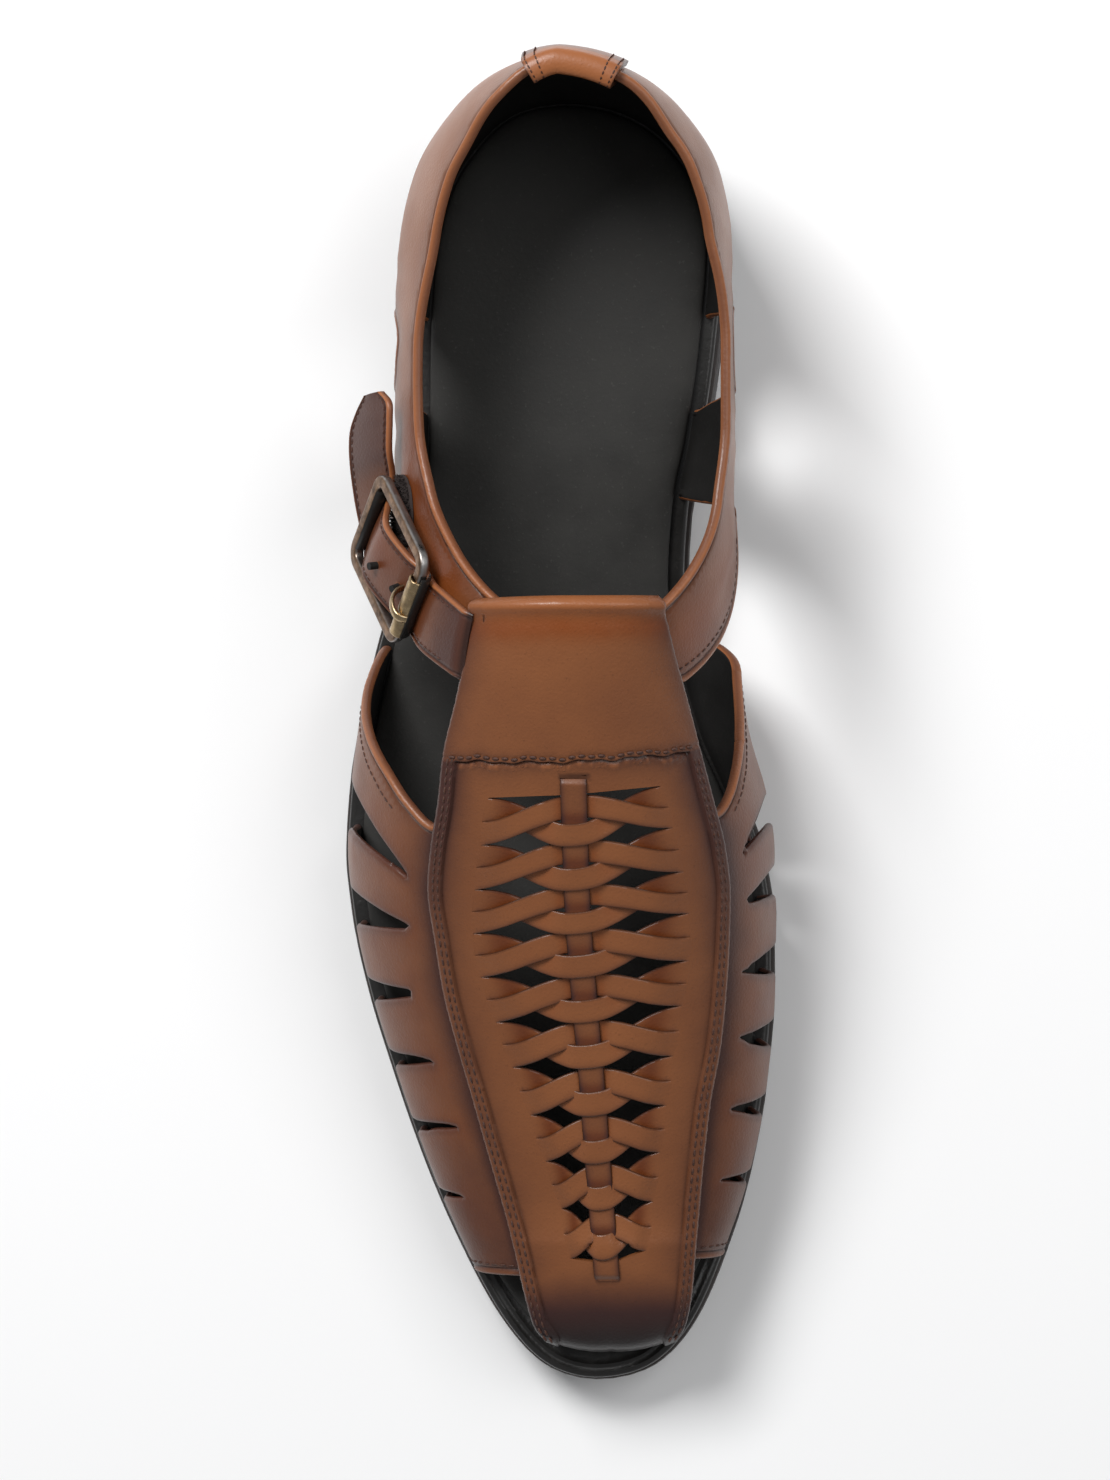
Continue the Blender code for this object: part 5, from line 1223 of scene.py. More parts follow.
@dataclass
class Tread:
    """Wavy grooves across a tread: where they lie and how deep they are."""

    bands: tuple[WaveBand, ...]
    wave_length: float = 31.0
    wave_height: float = 1.8
    half: float = 0.42
    depth: float = 0.75

    def lines(self, extra: list[float], first: float, last: float) -> Array:
        """Lines (station, phase, swing, depth) across the tread, in order."""
        profile = ((-1.0, 0.0), (-0.4, self.depth), (0.4, self.depth), (1.0, 0.0))
        rows = [(station, 0.0, 0.0, 0.0) for station in extra]
        for band in self.bands:
            for k in range(band.grooves):
                middle = band.station + (k - (band.grooves - 1) / 2.0) * band.pitch
                rows += [(middle + self.half * offset, band.phase, 1.0, depth) for offset, depth in profile]
        return np.array([row for row in sorted(rows) if first <= row[0] <= last])

    def sway(self, x: Array, lines: Array, shares: Array) -> Array:
        """How far points of the tread's lines swing forward, calm by the edges."""
        calm = np.clip(7.0 * np.minimum(shares, 1.0 - shares), 0.0, 1.0)
        wave = self.wave_height * np.sin(2.0 * math.pi * x / self.wave_length + lines[:, 1:2])
        return wave * lines[:, 2:3] * calm


SOLE_TREAD = Tread(bands=tuple(WaveBand(256.5 - 11.38 * k, math.pi * k, 5, 1.4) for k in range(10))
                   + (WaveBand(276.0, 0.0, 11, 2.1),))
HEEL_TREAD = Tread(bands=tuple(WaveBand(44.5 - 12.0 * k, math.pi * k, 6, 1.5) for k in range(4)),
                   wave_height=1.5)


@dataclass
class Outsole:
    """The outsole: rim band, sunk panel, wavy tread and a plain ring at the waist."""

    columns: int = 66
    panel_inset: float = 7.4
    tread_end: float = 289.0
    ring: tuple[float, float, float] = (10.7, 134.0, 4.6)
    ring_width: float = 0.55
    ring_height: float = 0.3

    def build(self) -> Object:
        """Loft the rim's rings and lay the panel's rows between them."""
        extra = [7.5, 7.8, 8.4, 9.4, 10.8, 12.6, 15.0, 18.0, 22.0, 27.0, 33.0, 40.0, 48.0, 57.0,
                 66.0, 76.0, 86.0,
                 96.0, 104.0, 112.0, 120.0, 287.6, 288.4, self.tread_end]
        extra += [self.ring[1] + offset for offset in np.arange(-6.4, 7.0, 0.8).tolist()]
        lines = SOLE_TREAD.lines(extra, 0.0, self.tread_end)
        depths = lines[:, 3:]
        turns = {side: np.concatenate([[0.0], turn_at_inset(side, lines[:, 0], self.panel_inset), [1.0]])
                 for side in SIDES}
        levels = [(0.9, OUTSOLE_THICKNESS), (0.25, OUTSOLE_THICKNESS - 0.15), (0.0, OUTSOLE_THICKNESS - 0.8),
                  (0.0, 1.0), (0.25, 0.3), (0.8, 0.0), (RIM_WIDTH - 0.2, 0.0), (RIM_WIDTH, 0.08),
                  (self.panel_inset, PANEL_RECESS)]
        rings = [sole_ring(inset, lambda s: underside(s) + lift, turns) for inset, lift in levels]
        edge = np.concatenate(rings)
        count = len(rings[0])
        last = len(edge) - count
        rows = np.arange(len(lines))
        left, right = last + 1 + rows, last + count - 1 - rows
        shares = np.arange(1, self.columns) / self.columns
        x, s = between_points(edge, left, right, shares)
        s = s + SOLE_TREAD.sway(x, lines, shares)
        fade = smooth(np.minimum(shares, 1.0 - shares), 0.0, 0.06)
        mark = bump(np.hypot(x - self.ring[0], s - self.ring[1]), self.ring[2], self.ring_width)
        z = underside(s) + PANEL_RECESS + depths * fade + self.ring_height * mark
        # Darker towards the panel's sides as painted shade by the step down from the rim, and darker with
        # each groove's depth as painted shade in the grooves; the rim itself is the rubber's own dark colour.
        tone = np.maximum(0.55 * bump(np.minimum(shares, 1.0 - shares), 0.0, 0.10),
                          np.minimum(depths * 1.2, 0.9) * fade + 0.4 * mark)
        points = np.concatenate([edge, np.stack([x, s, z], -1).reshape(-1, 3)])
        burnish_and_shade = np.concatenate([np.ones(last), np.full(count, 0.6), tone.ravel()])
        grid = np.column_stack([left, numbered(*x.shape, len(edge)), right])
        ends = [(last, *grid[0].tolist()), (last + len(lines) + 1, *grid[-1].tolist())]
        faces = [quads_of(numbered(len(rings), count), loop=True), ring_caps(0, count, True),
                 quads_of(grid), ends]
        piece = make_piece("outsole_skin", points, faces, [SOLE_RUBBER.material()],
                           values={"burnish_and_shade": burnish_and_shade}, crease=50.0)
        return settle(piece, "sole_rubber", "outsole")


@dataclass
class HeelBlock:
    """The rubber heel: bevelled edges, a hollow breast and grooved bands in its tread."""

    breast_lateral: float = 80.5
    breast_medial: float = 86.5
    tread_end: float = 80.0
    hollow: float = 6.0
    columns: int = 40
    bevel: float = 0.8

    def build(self) -> Object:
        """Build walls, tread and top from rows across the heel."""
        extra = [1.0, 1.2, 1.5, 1.9, 2.4, 3.0, 3.8, 4.6, 52.0, 56.0, 62.0, 68.0, 74.0, 77.0, 79.4,
                 self.tread_end]
        lines = HEEL_TREAD.lines(extra, extra[0], self.tread_end)
        shares, depths = lines[:, 0] / self.tread_end, lines[:, 3:]
        levels = [(self.bevel, 0.0), (0.25, 0.22), (0.0, self.bevel), (0.0, 4.0), (0.0, None)]
        rings = []
        for inset, lift in levels:
            outer, inner = (edge_point(side, np.append(0.0, turn_at_inset(side, shares * end, inset)), inset)
                            for side, end in zip(SIDES, (self.breast_lateral, self.breast_medial)))
            both = np.concatenate([outer[::-1], inner[1:]])
            height = underside(both[:, 1]) - GAP if lift is None else np.full(len(both), lift)
            rings.append(np.column_stack([both, height]))
        count = len(rings[0])
        rows = np.arange(len(lines))
        points = np.concatenate(rings)
        faces = [quads_of(numbered(len(rings), count))]
        values = [np.full(len(points), 0.8)]
        fronts = []
        width = np.arange(1, self.columns) / self.columns
        for base in (0, len(points) - count):
            left, right = base + len(lines) - 1 - rows, base + len(lines) + 1 + rows
            x, s = between_points(points, left, right, width)
            s = s - self.hollow * 4.0 * width * (1.0 - width) * shares[:, None] ** 3
            if base:
                z, tone = underside(s) - GAP, np.full(x.shape, 0.5)
            else:
                s = s + HEEL_TREAD.sway(x, lines, width)
                z = depths * smooth(np.minimum(width, 1.0 - width), 0.0, 0.07)
                # darker with each groove's depth: painted shade in the grooves
                tone = np.clip(z, 0.0, 0.9)
            grid = np.column_stack([left, numbered(*x.shape, len(points)), right])
            points = np.concatenate([points, np.stack([x, s, z], -1).reshape(-1, 3)])
            values.append(tone.ravel())
            faces += [quads_of(grid), [(base + len(lines), *grid[0].tolist())]]
            fronts.append(grid[-1])
        low, high = fronts
        left_wall = [k * count for k in range(1, len(levels) - 1)]
        right_wall = [k * count + count - 1 for k in range(1, len(levels) - 1)]
        faces.append([(low[0], low[1], high[1], high[0], *left_wall[::-1])])
        faces.append([(low[k], low[k + 1], high[k + 1], high[k]) for k in range(1, self.columns - 1)])
        faces.append([(low[-2], low[-1], *right_wall, high[-1], high[-2])])
        piece = make_piece("heel_block", points, faces, [HEEL_RUBBER.material()],
                           values={"burnish_and_shade": np.concatenate(values)}, crease=40.0)
        return settle(piece, "heel_rubber", "heel")


# ---- upper ---------------------------------------------------------------------------------------
class Rim(Enum):
    """The kinds of cut edge that the upper has."""

    COLLAR = "collar"
    OPENING = "opening"
    SLASH = "slash"
    FRONT = "front"
    THROAT = "throat"


# Spots of painted orange-brown shade in the hollows by the strap and on the wings' sides.
ORANGE_SHADE_SPOTS = table(
    "GlowSpot", "x station height radius strength",
    (-34.0, 86.0, 60.0, 13.0, 0.9), (-33.0, 98.0, 62.0, 14.0, 1.0), (-29.0, 112.0, 70.0, 14.0, 1.0),
    (34.0, 112.0, 58.0, 14.0, 0.8), (31.0, 124.0, 66.0, 14.0, 1.0), (-40.0, 170.0, 40.0, 11.0, 0.5),
    (41.0, 172.0, 38.0, 16.0, 0.9), (-36.0, 208.0, 28.0, 10.0, 0.45), (41.0, 208.0, 26.0, 14.0, 0.8),
    (38.0, 240.0, 22.0, 12.0, 0.6),
)
CREASES = table(
    "Crease", "x station height along_x along_station along_height length width depth",
    (-36.0, 44.0, 44.0, 0.0, 0.15, 1.0, 24.0, 2.2, 0.22),
    (-37.0, 58.0, 50.0, 0.0, 0.25, 1.0, 18.0, 2.6, 0.2),
    (-38.0, 79.0, 46.0, 0.0, -0.1, 1.0, 26.0, 2.4, 0.25),
    (37.0, 80.0, 46.0, 0.0, 0.2, 1.0, 24.0, 2.4, 0.22), (36.0, 46.0, 40.0, 0.0, -0.1, 1.0, 20.0, 2.4, 0.2),
    (37.0, 112.0, 56.0, 0.0, 1.0, 0.9, 22.0, 2.6, 0.25),
    (-48.0, 172.0, 30.0, 0.3, 1.0, -0.3, 22.0, 2.2, 0.2),
    (-45.0, 196.0, 26.0, 0.3, 1.0, -0.2, 16.0, 2.0, 0.18),
    (43.0, 190.0, 28.0, -0.1, 1.0, -0.2, 18.0, 2.0, 0.18),
)


@dataclass
class UpperShell:
    """Counter, side bands and wings in one wall, cut open where the shoe is."""

    row_step: float = 1.5
    columns: int = 62
    roll: float = 1.0
    lip_width: float = 1.75
    levels: tuple[float, ...] = (0.2, 0.6, 1.15, 1.72, 1.97, 2.25)

    def cuts(self, points: Array, across: Array) -> dict[Rim, Array]:
        """Signed distances to each kind of cut, positive on the leather that stays.

        Args:
            points: shoe points on the form.
            across: their places over the foot.

        Returns:
            Distances by kind of rim.
        """
        x, station, height = points.T
        blend = np.clip((x + COLLAR_SIDE_X) / (2.0 * COLLAR_SIDE_X), 0.0, 1.0)
        line = (ease(COLLAR_LINE, "lateral", station) * (1.0 - blend)
                + ease(COLLAR_LINE, "medial", station) * blend)
        opening = np.full(len(points), FAR)
        flat = np.column_stack([station, height])
        rear = smooth_outline([(p.station, float(midsole_top(p.station)) + p.above_base)
                               for p in REAR_OPENING])
        for side in SIDES:
            here = (across * side > 0.0) & (x * side > OPENING_INNER_X)
            opening[here] = outlines_distance(flat[here], [rear, smooth_outline(WAIST_OPENING[side])])
        plan = np.column_stack([x, station])
        stations = np.linspace(*THROAT, 30)
        left, right = (np.column_stack([ease(PLUG_EDGES, word, stations) - side * BACKING, stations])
                       for side, word in SIDES.items())
        throat = outline_distance(plan, np.concatenate([left, right[::-1]]))
        return {Rim.COLLAR: np.maximum(line - height, station - COLLAR_FRONT), Rim.OPENING: opening,
                Rim.SLASH: outlines_distance(plan, [self.slash_outline(row) for row in WING_SLASHES]),
                Rim.FRONT: outlines_distance(plan, [np.array(corner) for corner in TOE_CORNERS]),
                Rim.THROAT: np.where(height > THROAT_BASE, throat, FAR)}

    def slash_outline(self, row: tuple) -> Array:
        """Plan outline of a slash, a wedge that widens outwards from its tip."""
        outer = SLASH_OUTER_X[row.side]
        tip = np.array([row.tip_x, row.tip_station])
        rear = np.array([outer, row.rear])
        ahead = np.array([outer, row.front])
        middle = rear * 0.45 + ahead * 0.05 + tip * 0.5
        far = [tip + (corner - tip) * 1.7 for corner in (rear, ahead)]
        return np.array([tip, ahead, far[1], far[0], rear, middle])

    def sheet(self) -> TrimmedSheet:
        """The leather that is left once every opening is cut, with distances to each kind of rim."""
        heel = np.linspace(0.0, HEEL_AXIS, 44)
        middle = np.arange(HEEL_AXIS, TOE_AXIS, self.row_step)[1:]
        toe = np.linspace(TOE_AXIS, UPPER_FRONT, 28)
        stations = np.concatenate([heel, middle, toe])
        half = np.linspace(0.0, 1.0, self.columns)
        across = np.concatenate([-half[::-1], half[1:]])
        grid_s, grid_a = np.meshgrid(stations, across, indexing="ij")
        sheet = TrimmedSheet.from_grid(len(stations), len(across),
                                       {"station": grid_s.ravel(), "across": grid_a.ravel()})
        cuts = self.cuts(FORM.surface(grid_s.ravel(), grid_a.ravel()), grid_a.ravel())
        sheet.values["cut"] = np.minimum.reduce(list(cuts.values()))
        sheet.split("cut", 0.0)
        sheet.keep("cut")
        points = FORM.surface(sheet.values["station"], sheet.values["across"])
        rim = sheet.rim()
        rim = rim[(np.abs(sheet.values["cut"][rim]) < 0.05).all(1)]
        spread = along_edges(points, rim)
        middles = points[rim].mean(1)
        kinds = self.cuts(middles, sheet.values["across"][rim].mean(1))
        order = list(kinds)
        which = np.argmin(np.abs(np.stack([kinds[kind] for kind in order])), 0)
        which = np.tile(which, len(spread) // len(rim))
        for number, kind in enumerate(order):
            sheet.values[kind.value] = nearest(points, spread[which == number])
        sheet.values["edge"] = np.minimum.reduce([sheet.values[kind.value] for kind in order])
        for level in self.levels:
            sheet.split("edge", level)
        return sheet

    def build(self) -> Object:
        """Give the sheet its rolled edges, creases and lining, and close it."""
        sheet = self.sheet()
        v = sheet.values
        station, across, edge = v["station"], v["across"], v["edge"]
        surface = FORM.surface(station, across)
        dressed = np.minimum.reduce([v[kind.value] for kind in (Rim.COLLAR, Rim.OPENING, Rim.FRONT)])
        # The rolled edge's lighter crest: partly the roll's own lighter colour, partly a painted highlight.
        lip = bump(dressed, 0.75,
                   0.62) * (v["throat"] > 2.5) * (1.0 - 0.6 * smooth(4.0 - v["front"], 0.0, 2.0))
        swell = 0.28 * np.sin(math.pi * np.clip(dressed / self.lip_width, 0.0, 1.0)) * (v["throat"] > 2.5)
        seam = bump(dressed, self.lip_width + 0.22, 0.2) * (v["throat"] > 2.5)
        lift = swell - 0.25 * seam - round_drop(edge, self.roll) - self.crease_depth(surface)
        outer = FORM.point(station, across, lift)
        inner = FORM.point(station, across, -WALL + round_drop(edge, self.roll))
        floor = midsole_top(surface[:, 1])
        base = np.abs(across) > 1.0 - 1e-6
        outer[base, 2] = floor[base]
        inner[base, 2] = floor[base]
        count = len(station)
        inside = sheet.faces[:, ::-1] + count
        rim = sheet.rim()
        foot = rim[base[rim].all(1)]
        strip = np.column_stack([foot[:, 0], foot[:, 1], foot[:, 1] + count, foot[:, 0] + count])
        near = edge[sheet.faces].mean(1) < 0.65
        choice = np.concatenate([np.zeros(len(sheet.faces), int), np.where(near, 0, 1),
                                 np.ones(len(strip), int)])
        tones = self.tones(surface, v, lip, seam)
        inner_tones = {word: numbers * (0.0 if word in ("glow", "line") else 1.0) for word,
                       numbers in tones.items()}
        values = {word: np.concatenate([tones[word], inner_tones[word]]) for word in tones}
        piece = make_piece("quarter_and_wings", np.concatenate([outer, inner]), [sheet.faces, inside, strip],
                           [LEATHER.material(), LINING.material()], choice, values, crease=65.0)
        return settle(piece, "tan_leather", "upper")

    def crease_depth(self, points: Array) -> Array:
        """How deep the listed creases are at each point."""
        depth = np.zeros(len(points))
        for row in CREASES:
            along = np.array([row.along_x, row.along_station, row.along_height])
            along = along / np.linalg.norm(along)
            away = points - np.array([row.x, row.station, row.height])
            run = away @ along
            beside = np.linalg.norm(away - run[:, None] * along, axis=1)
            trough = bump(beside, 0.0, row.width) - 0.6 * bump(beside, row.width * 1.9, row.width * 0.9)
            depth += row.depth * trough * bump(run, 0.0, row.length / 2.0)
        return depth

    def tones(self, points: Array, v: dict[str, Array], lip: Array,
              seam: Array) -> dict[str, Array]:
        """The numbers that colour the leather at each point: burnishing by the cut edges, and painted shade
        low on the wall, on the wings and in hollows.
        """
        above = points[:, 2] - midsole_top(points[:, 1])
        plug = self.plug_distance(points)
        wing = smooth(points[:, 1], 120.0, 135.0)
        # Darker towards the wall's foot by the sole, more on the wings: painted shade.
        burnish_and_shade = 0.9 * bump(above, 0.0, 8.0) * wing + 0.45 * bump(above, 0.0, 7.0) * (1.0 - wing)
        burnish_and_shade = np.maximum.reduce([
            burnish_and_shade, 0.85 * np.exp(-v["opening"] / 5.0), 0.85 * np.exp(-v["slash"] / 3.2),
            0.85 * np.exp(-v["front"] / 6.0), 0.7 * np.exp(-v["collar"] / 5.0),
            0.95 * np.exp(-np.maximum(plug, 0.0) / 5.5) * smooth(points[:, 1], 140.0, 165.0),
            # the wings darker all over and more towards the toe; on the wings this is painted shade for sides
            # that face away from the light
            0.38 * wing + 0.37 * smooth(points[:, 1], 225.0, 268.0)])
        glow = np.zeros(len(points))
        # orange-brown painted shade at the listed spots
        for spot in ORANGE_SHADE_SPOTS:
            away = np.linalg.norm(points - np.array([spot.x, spot.station, spot.height]), axis=1)
            glow = np.maximum(glow, spot.strength * bump(away, 0.0, spot.radius))
        # and orange-brown painted shade beside the wings' slashes
        glow = np.maximum(glow, 0.55 * wing * np.exp(-v["slash"] / 6.0))
        return {"burnish_and_shade": np.clip(burnish_and_shade, 0.0, 1.0), "glow": glow, "lip": lip * 0.75, "line": 0.9 * seam,
                "char": 0.0 * glow}

    def plug_distance(self, points: Array) -> Array:
        """Plan distance out from the vamp panel's edges."""
        left = ease(PLUG_EDGES, "lateral", points[:, 1]) - points[:, 0]
        right = points[:, 0] - ease(PLUG_EDGES, "medial", points[:, 1])
        return np.maximum(left, right)

    def wing_front_rows(self) -> list[StitchRow]:
        """Stitches just behind the front edges of the wings."""
        return [stitch_row(FORM.locate(np.linspace(*ends, 24), np.full(24, station)), 0.05)
                for ends, station in (((-11.2, -25.2), 268.2), ((28.4, 35.6), 263.8))]

    def opening_rows(self) -> list[StitchRow]:
        """Stitches beside the inner strap's lower edge and the wings' rear edges."""
        lines = (
            (MEDIAL, [(104.0, 45.2), (110.0, 48.3), (117.0, 52.2), (124.0, 59.0), (129.0, 65.4),
                      (132.6, 71.0)]),
            (LATERAL, [(129.5, 16.0), (134.0, 22.5), (141.0, 31.0), (149.5, 41.5), (157.0, 49.5),
                       (163.0, 54.0)]),
            (MEDIAL, [(125.5, 14.0), (129.5, 19.5), (135.5, 24.8), (142.5, 31.0), (150.0, 38.5),
                      (157.5, 46.5),
                      (163.5, 51.5)]),
        )
        rows = []
        for side, line in lines:
            t = np.linspace(0, len(line) - 1, 60)
            s, z = (np.interp(t, np.arange(len(line)), numbers) for numbers in zip(*line))
            rows.append(stitch_row((s, FORM.at_height(s, side, z)), 0.02))
        return rows


# ---- vamp panel ----------------------------------------------------------------------------------
def plug_x(station: Array, share: Array) -> Array:
    """x across the vamp panel, from its outer edge (0) to its inner edge (1)."""
    left = ease(PLUG_EDGES, "lateral", station)
    return left + (ease(PLUG_EDGES, "medial", station) - left) * share


def plug_bow(station: Array, share: Array) -> Array:
    """How far a row of the panel bows forward, growing to the rounded front edge."""
    grown = np.maximum(0.0, (station - TOE_AXIS) / (PLUG_END - TOE_AXIS))
    return PLUG_BOW * grown ** 2 * 4.0 * share * (1.0 - share)


def weave_tips(side: int) -> tuple[Array, Array]:
    """Plan points of the holes' tips and of the slits' ends between them, on one side."""
    tips = np.array([(getattr(row, SIDES[side] + "_x"), getattr(row, SIDES[side] + "_station"))
                     for row in WEAVE_HOLES])
    ends = (tips[:-1] + tips[1:]) / 2.0
    ends[:, 0] += side * 0.5
    return tips, ends


def panel_burnish(plan: Array) -> Array:
    """How dark the panel is below its seam, at plan points."""
    left, right = plug_x(plan[:, 1], 0.0), plug_x(plan[:, 1], 1.0)
    share = np.clip((plan[:, 0] - left) / (right - left), 0.0, 1.0)
    side = np.maximum(np.minimum(plan[:, 0] - left, right - plan[:, 0]), 0.0)
    strength = 0.85 - 0.45 * smooth(plan[:, 1], 165.0, 205.0)
    dark = strength * np.exp(-np.maximum(side - 3.4, 0.0) / 3.6)
    corner = 0.5 + 0.5 * np.abs(2.0 * share - 1.0)
    dark = np.maximum(dark, 0.85 * np.exp(-np.maximum(plan[:, 1] - PLUG_SEAM, 0.0) / 3.6) * corner)
    dark = np.maximum(dark, 0.93 * smooth(plan[:, 1], 266.5, 280.0))
    return np.clip(dark + 0.08, 0.0, 1.0)


def pucker(v: dict[str, Array]) -> Array:
    """The uneven wave that the stitches pull along the seam, from -1 to 1."""
    return np.sin(v["share"] * 190.0 + 9.0 * np.sin(v["share"] * 41.0))


@dataclass
class VampPanel:
    """Apron, raised border and sunk panel in one wall, with the weave's opening."""

    row_step: float = 0.8
    columns: int = 84
    border: float = 3.5
    border_low: float = 3.9
    edge_round: float = 1.0
    fold_round: float = 2.2
    front_round: float = 4.0

    def seam_station(self, share: Array) -> Array:
        """Station of the apron's sewn lower edge, slightly wavy across the foot."""
        sag = 1.3 * np.sin(math.pi * share) - 2.2 * (share - 0.5)
        return PLUG_SEAM - 0.4 + sag + 0.25 * np.sin(share * 31.0) + 0.18 * np.sin(share * 67.0 + 1.0)

    def opening(self) -> Array:
        """Plan outline of the woven opening, through every slit's end and hole's tip."""
        sides = []
        for side in SIDES:
            tips, ends = weave_tips(side)
            sides.append(np.insert(tips, np.arange(1, len(tips)), ends, 0))
        outer, inner = sides
        top = inner[0] * 0.5 + outer[0] * 0.5 + (0.0, 0.6)
        bottom = inner[-1] * 0.5 + outer[-1] * 0.5 + (0.0, 2.2)
        return np.concatenate([[top], inner, [bottom], outer[::-1]])

    def slots(self) -> list[Array]:
        """Plan outlines of the two slits that the thong's ends pass through."""
        (top, top_x), (end, end_x) = THONG_LINE[0], THONG_LINE[-1]
        return [np.array([(top_x - 3.2, top - 0.35), (top_x + 3.3, top - 0.55), (top_x + 3.3, top + 0.15),
                          (top_x - 3.2, top + 0.35)]),
                np.array([(end_x - 2.6, end - 0.4), (end_x + 2.8, end - 0.7), (end_x + 2.6, end + 0.3),
                          (end_x - 2.2, end + 0.45)])]

    def sheet(self) -> TrimmedSheet:
        """The panel's sheet, cut at the opening, with distances to its edges and its seam."""
        rows = np.arange(PLUG_START, PLUG_END + 0.1, self.row_step)
        rows[-1] = PLUG_END
        shares = np.linspace(0.0, 1.0, self.columns)
        p, q = np.meshgrid(rows, shares, indexing="ij")
        sheet = TrimmedSheet.from_grid(len(rows), len(shares), {"row": p.ravel(), "share": q.ravel()})
        plan = self.plan(sheet.values)
        slots = outlines_distance(plan, self.slots())
        sheet.values["cut"] = np.minimum(outline_distance(plan, self.opening()), slots)
        sheet.values["slot"] = slots
        sheet.split("cut", 0.0)
        sheet.keep("cut")
        points = self.raised(sheet.values, 1.8)
        v = sheet.values
        dense, ends = np.linspace(PLUG_START, PLUG_END, 700), np.linspace(0.0, 1.0, 260)
        for word, row, share in (("outer_edge", dense, 0.0 * dense), ("inner_edge", dense, 0.0 * dense + 1.0),
                                 ("fold", 0.0 * ends + PLUG_START,
                                  ends), ("tip", 0.0 * ends + PLUG_END, ends)):
            v[word] = nearest(points, self.raised({"row": row, "share": share}, 1.8))
        v["side"] = np.minimum(v["outer_edge"], v["inner_edge"])
        v["seam"] = v["row"] - self.seam_station(v["share"])
        for level in (0.15, 0.45, 0.85, self.border - 0.4, self.border, self.border_low,
                      self.border_low + 0.4):
            sheet.split("side", level)
        for level in (-1.4, -1.05, -0.7, -0.2, 0.0, 0.12, 0.45, 0.8, 1.2, 1.6, 2.1):
            sheet.split("seam", level)
        return sheet

    def plan(self, v: dict[str, Array]) -> Array:
        """Plan points of the sheet."""
        return np.column_stack([plug_x(v["row"], v["share"]), v["row"] + plug_bow(v["row"], v["share"])])

    def place(self, v: dict[str, Array]) -> tuple[Array, Array]:
        """Places on the form under the sheet's points."""
        plan = self.plan(v)
        return FORM.over_plan(plan[:, 0], plan[:, 1], GAP + BORDER_THICKNESS)

    def raised(self, v: dict[str, Array], lift: float) -> Array:
        """The sheet's points at an even lift."""
        return FORM.point(*self.place(v), lift)

    def top_lift(self, v: dict[str, Array]) -> Array:
        """How high the leather's face stands over the form."""
        field_lift = GAP + PANEL_THICKNESS
        border_lift = GAP + BORDER_THICKNESS
        on_border = 1.0 - smooth(v["side"], self.border, self.border_low)
        on_apron = 1.0 - smooth(v["seam"], -0.12, 0.12)
        raised = np.maximum(on_border, on_apron)
        lift = field_lift + (border_lift - field_lift) * raised
        lift -= 0.2 * bump(v["seam"], 0.1, 0.35) * (1.0 - on_border)
        lift -= 0.2 * bump(v["seam"], -1.05, 0.4)
        lift += bump(v["seam"], 1.2, 0.8) * (0.22 + 0.12 * pucker(v)) * (1.0 - on_border) * (v["slot"] > 0.8)
        roll = bump(v["fold"], 1.7, 1.3)
        lift += 0.75 * roll - 0.3 * bump(v["fold"], 5.0, 1.6)
        lift -= 0.12 * bump(v["side"], 1.45, 0.35) * smooth(v["seam"], -4.0, 4.0)
        return lift

    def build(self) -> Object:
        """Round the panel's edges, turn its front down and close it."""
        sheet = self.sheet()
        v = sheet.values
        place = self.place(v)
        lift = self.top_lift(v)
        rounded = lift - round_drop(v["side"], self.edge_round)
        rounded -= np.maximum(round_drop(v["fold"], self.fold_round) - 0.3, 0.0)
        tip_drop = round_drop(v["tip"], self.front_round)
        plan = self.plan(v)
        hem = smooth(v["tip"], 0.0, 0.3)
        top = FORM.point(*place, rounded)
        top[:, 2] -= 0.55 * tip_drop
        low = FORM.point(*place, GAP)
        front = np.abs(v["row"] - PLUG_END) < 1e-6
        low[front, 2] = midsole_top(low[front, 1]) + 0.1
        count = len(rounded)
        rim = sheet.rim()
        wall = np.column_stack([rim[:, 1], rim[:, 0], rim[:, 0] + count, rim[:, 1] + count])
        values = self.tones(v, plan, hem)
        both = {word: np.concatenate([numbers, numbers]) for word, numbers in values.items()}
        choice = np.concatenate([np.zeros(len(sheet.faces), int), np.ones(len(sheet.faces), int),
                                 np.zeros(len(wall), int)])
        piece = make_piece("vamp_and_apron", np.concatenate([top, low]),
                           [sheet.faces, sheet.faces[:, ::-1] + count, wall],
                           [LEATHER.material(), LINING.material()], choice, both, crease=55.0)
        return settle(piece, "tan_leather", "vamp_panel")

    def tones(self, v: dict[str, Array], plan: Array, hem: Array) -> dict[str, Array]:
        """The numbers that colour the panel: burnishing, painted shade below the apron's fold, and painted
        highlights on the fold and on the puckers under the seam.
        """
        apron = smooth(-v["seam"], 0.0, 0.2)
        edges = np.exp(-v["side"] / 4.2)
        apron_dark = np.maximum(0.8 * edges, 0.9 * np.exp(v["seam"] / 4.5)
                                * (0.35 + 0.65 * np.exp(-v["side"] / 9.0)))
        apron_dark = np.maximum(apron_dark, 0.2 * smooth(v["row"], 122.0, 146.0))
        burnish_and_shade = apron_dark * apron + panel_burnish(plan) * (1.0 - apron)
        rows = bump(v["side"], 2.6, 0.9) * (1.0 - apron)
        burnish_and_shade = np.maximum(burnish_and_shade, 0.5 * rows)
        char = smooth(plan[:, 1], 276.0, 288.0) * 0.95
        # Orange-brown painted shade in the band under the apron's folded top.
        glow = 0.75 * bump(v["fold"], 6.5, 3.0) + 0.25 * bump(v["fold"], 2.0, 2.0)
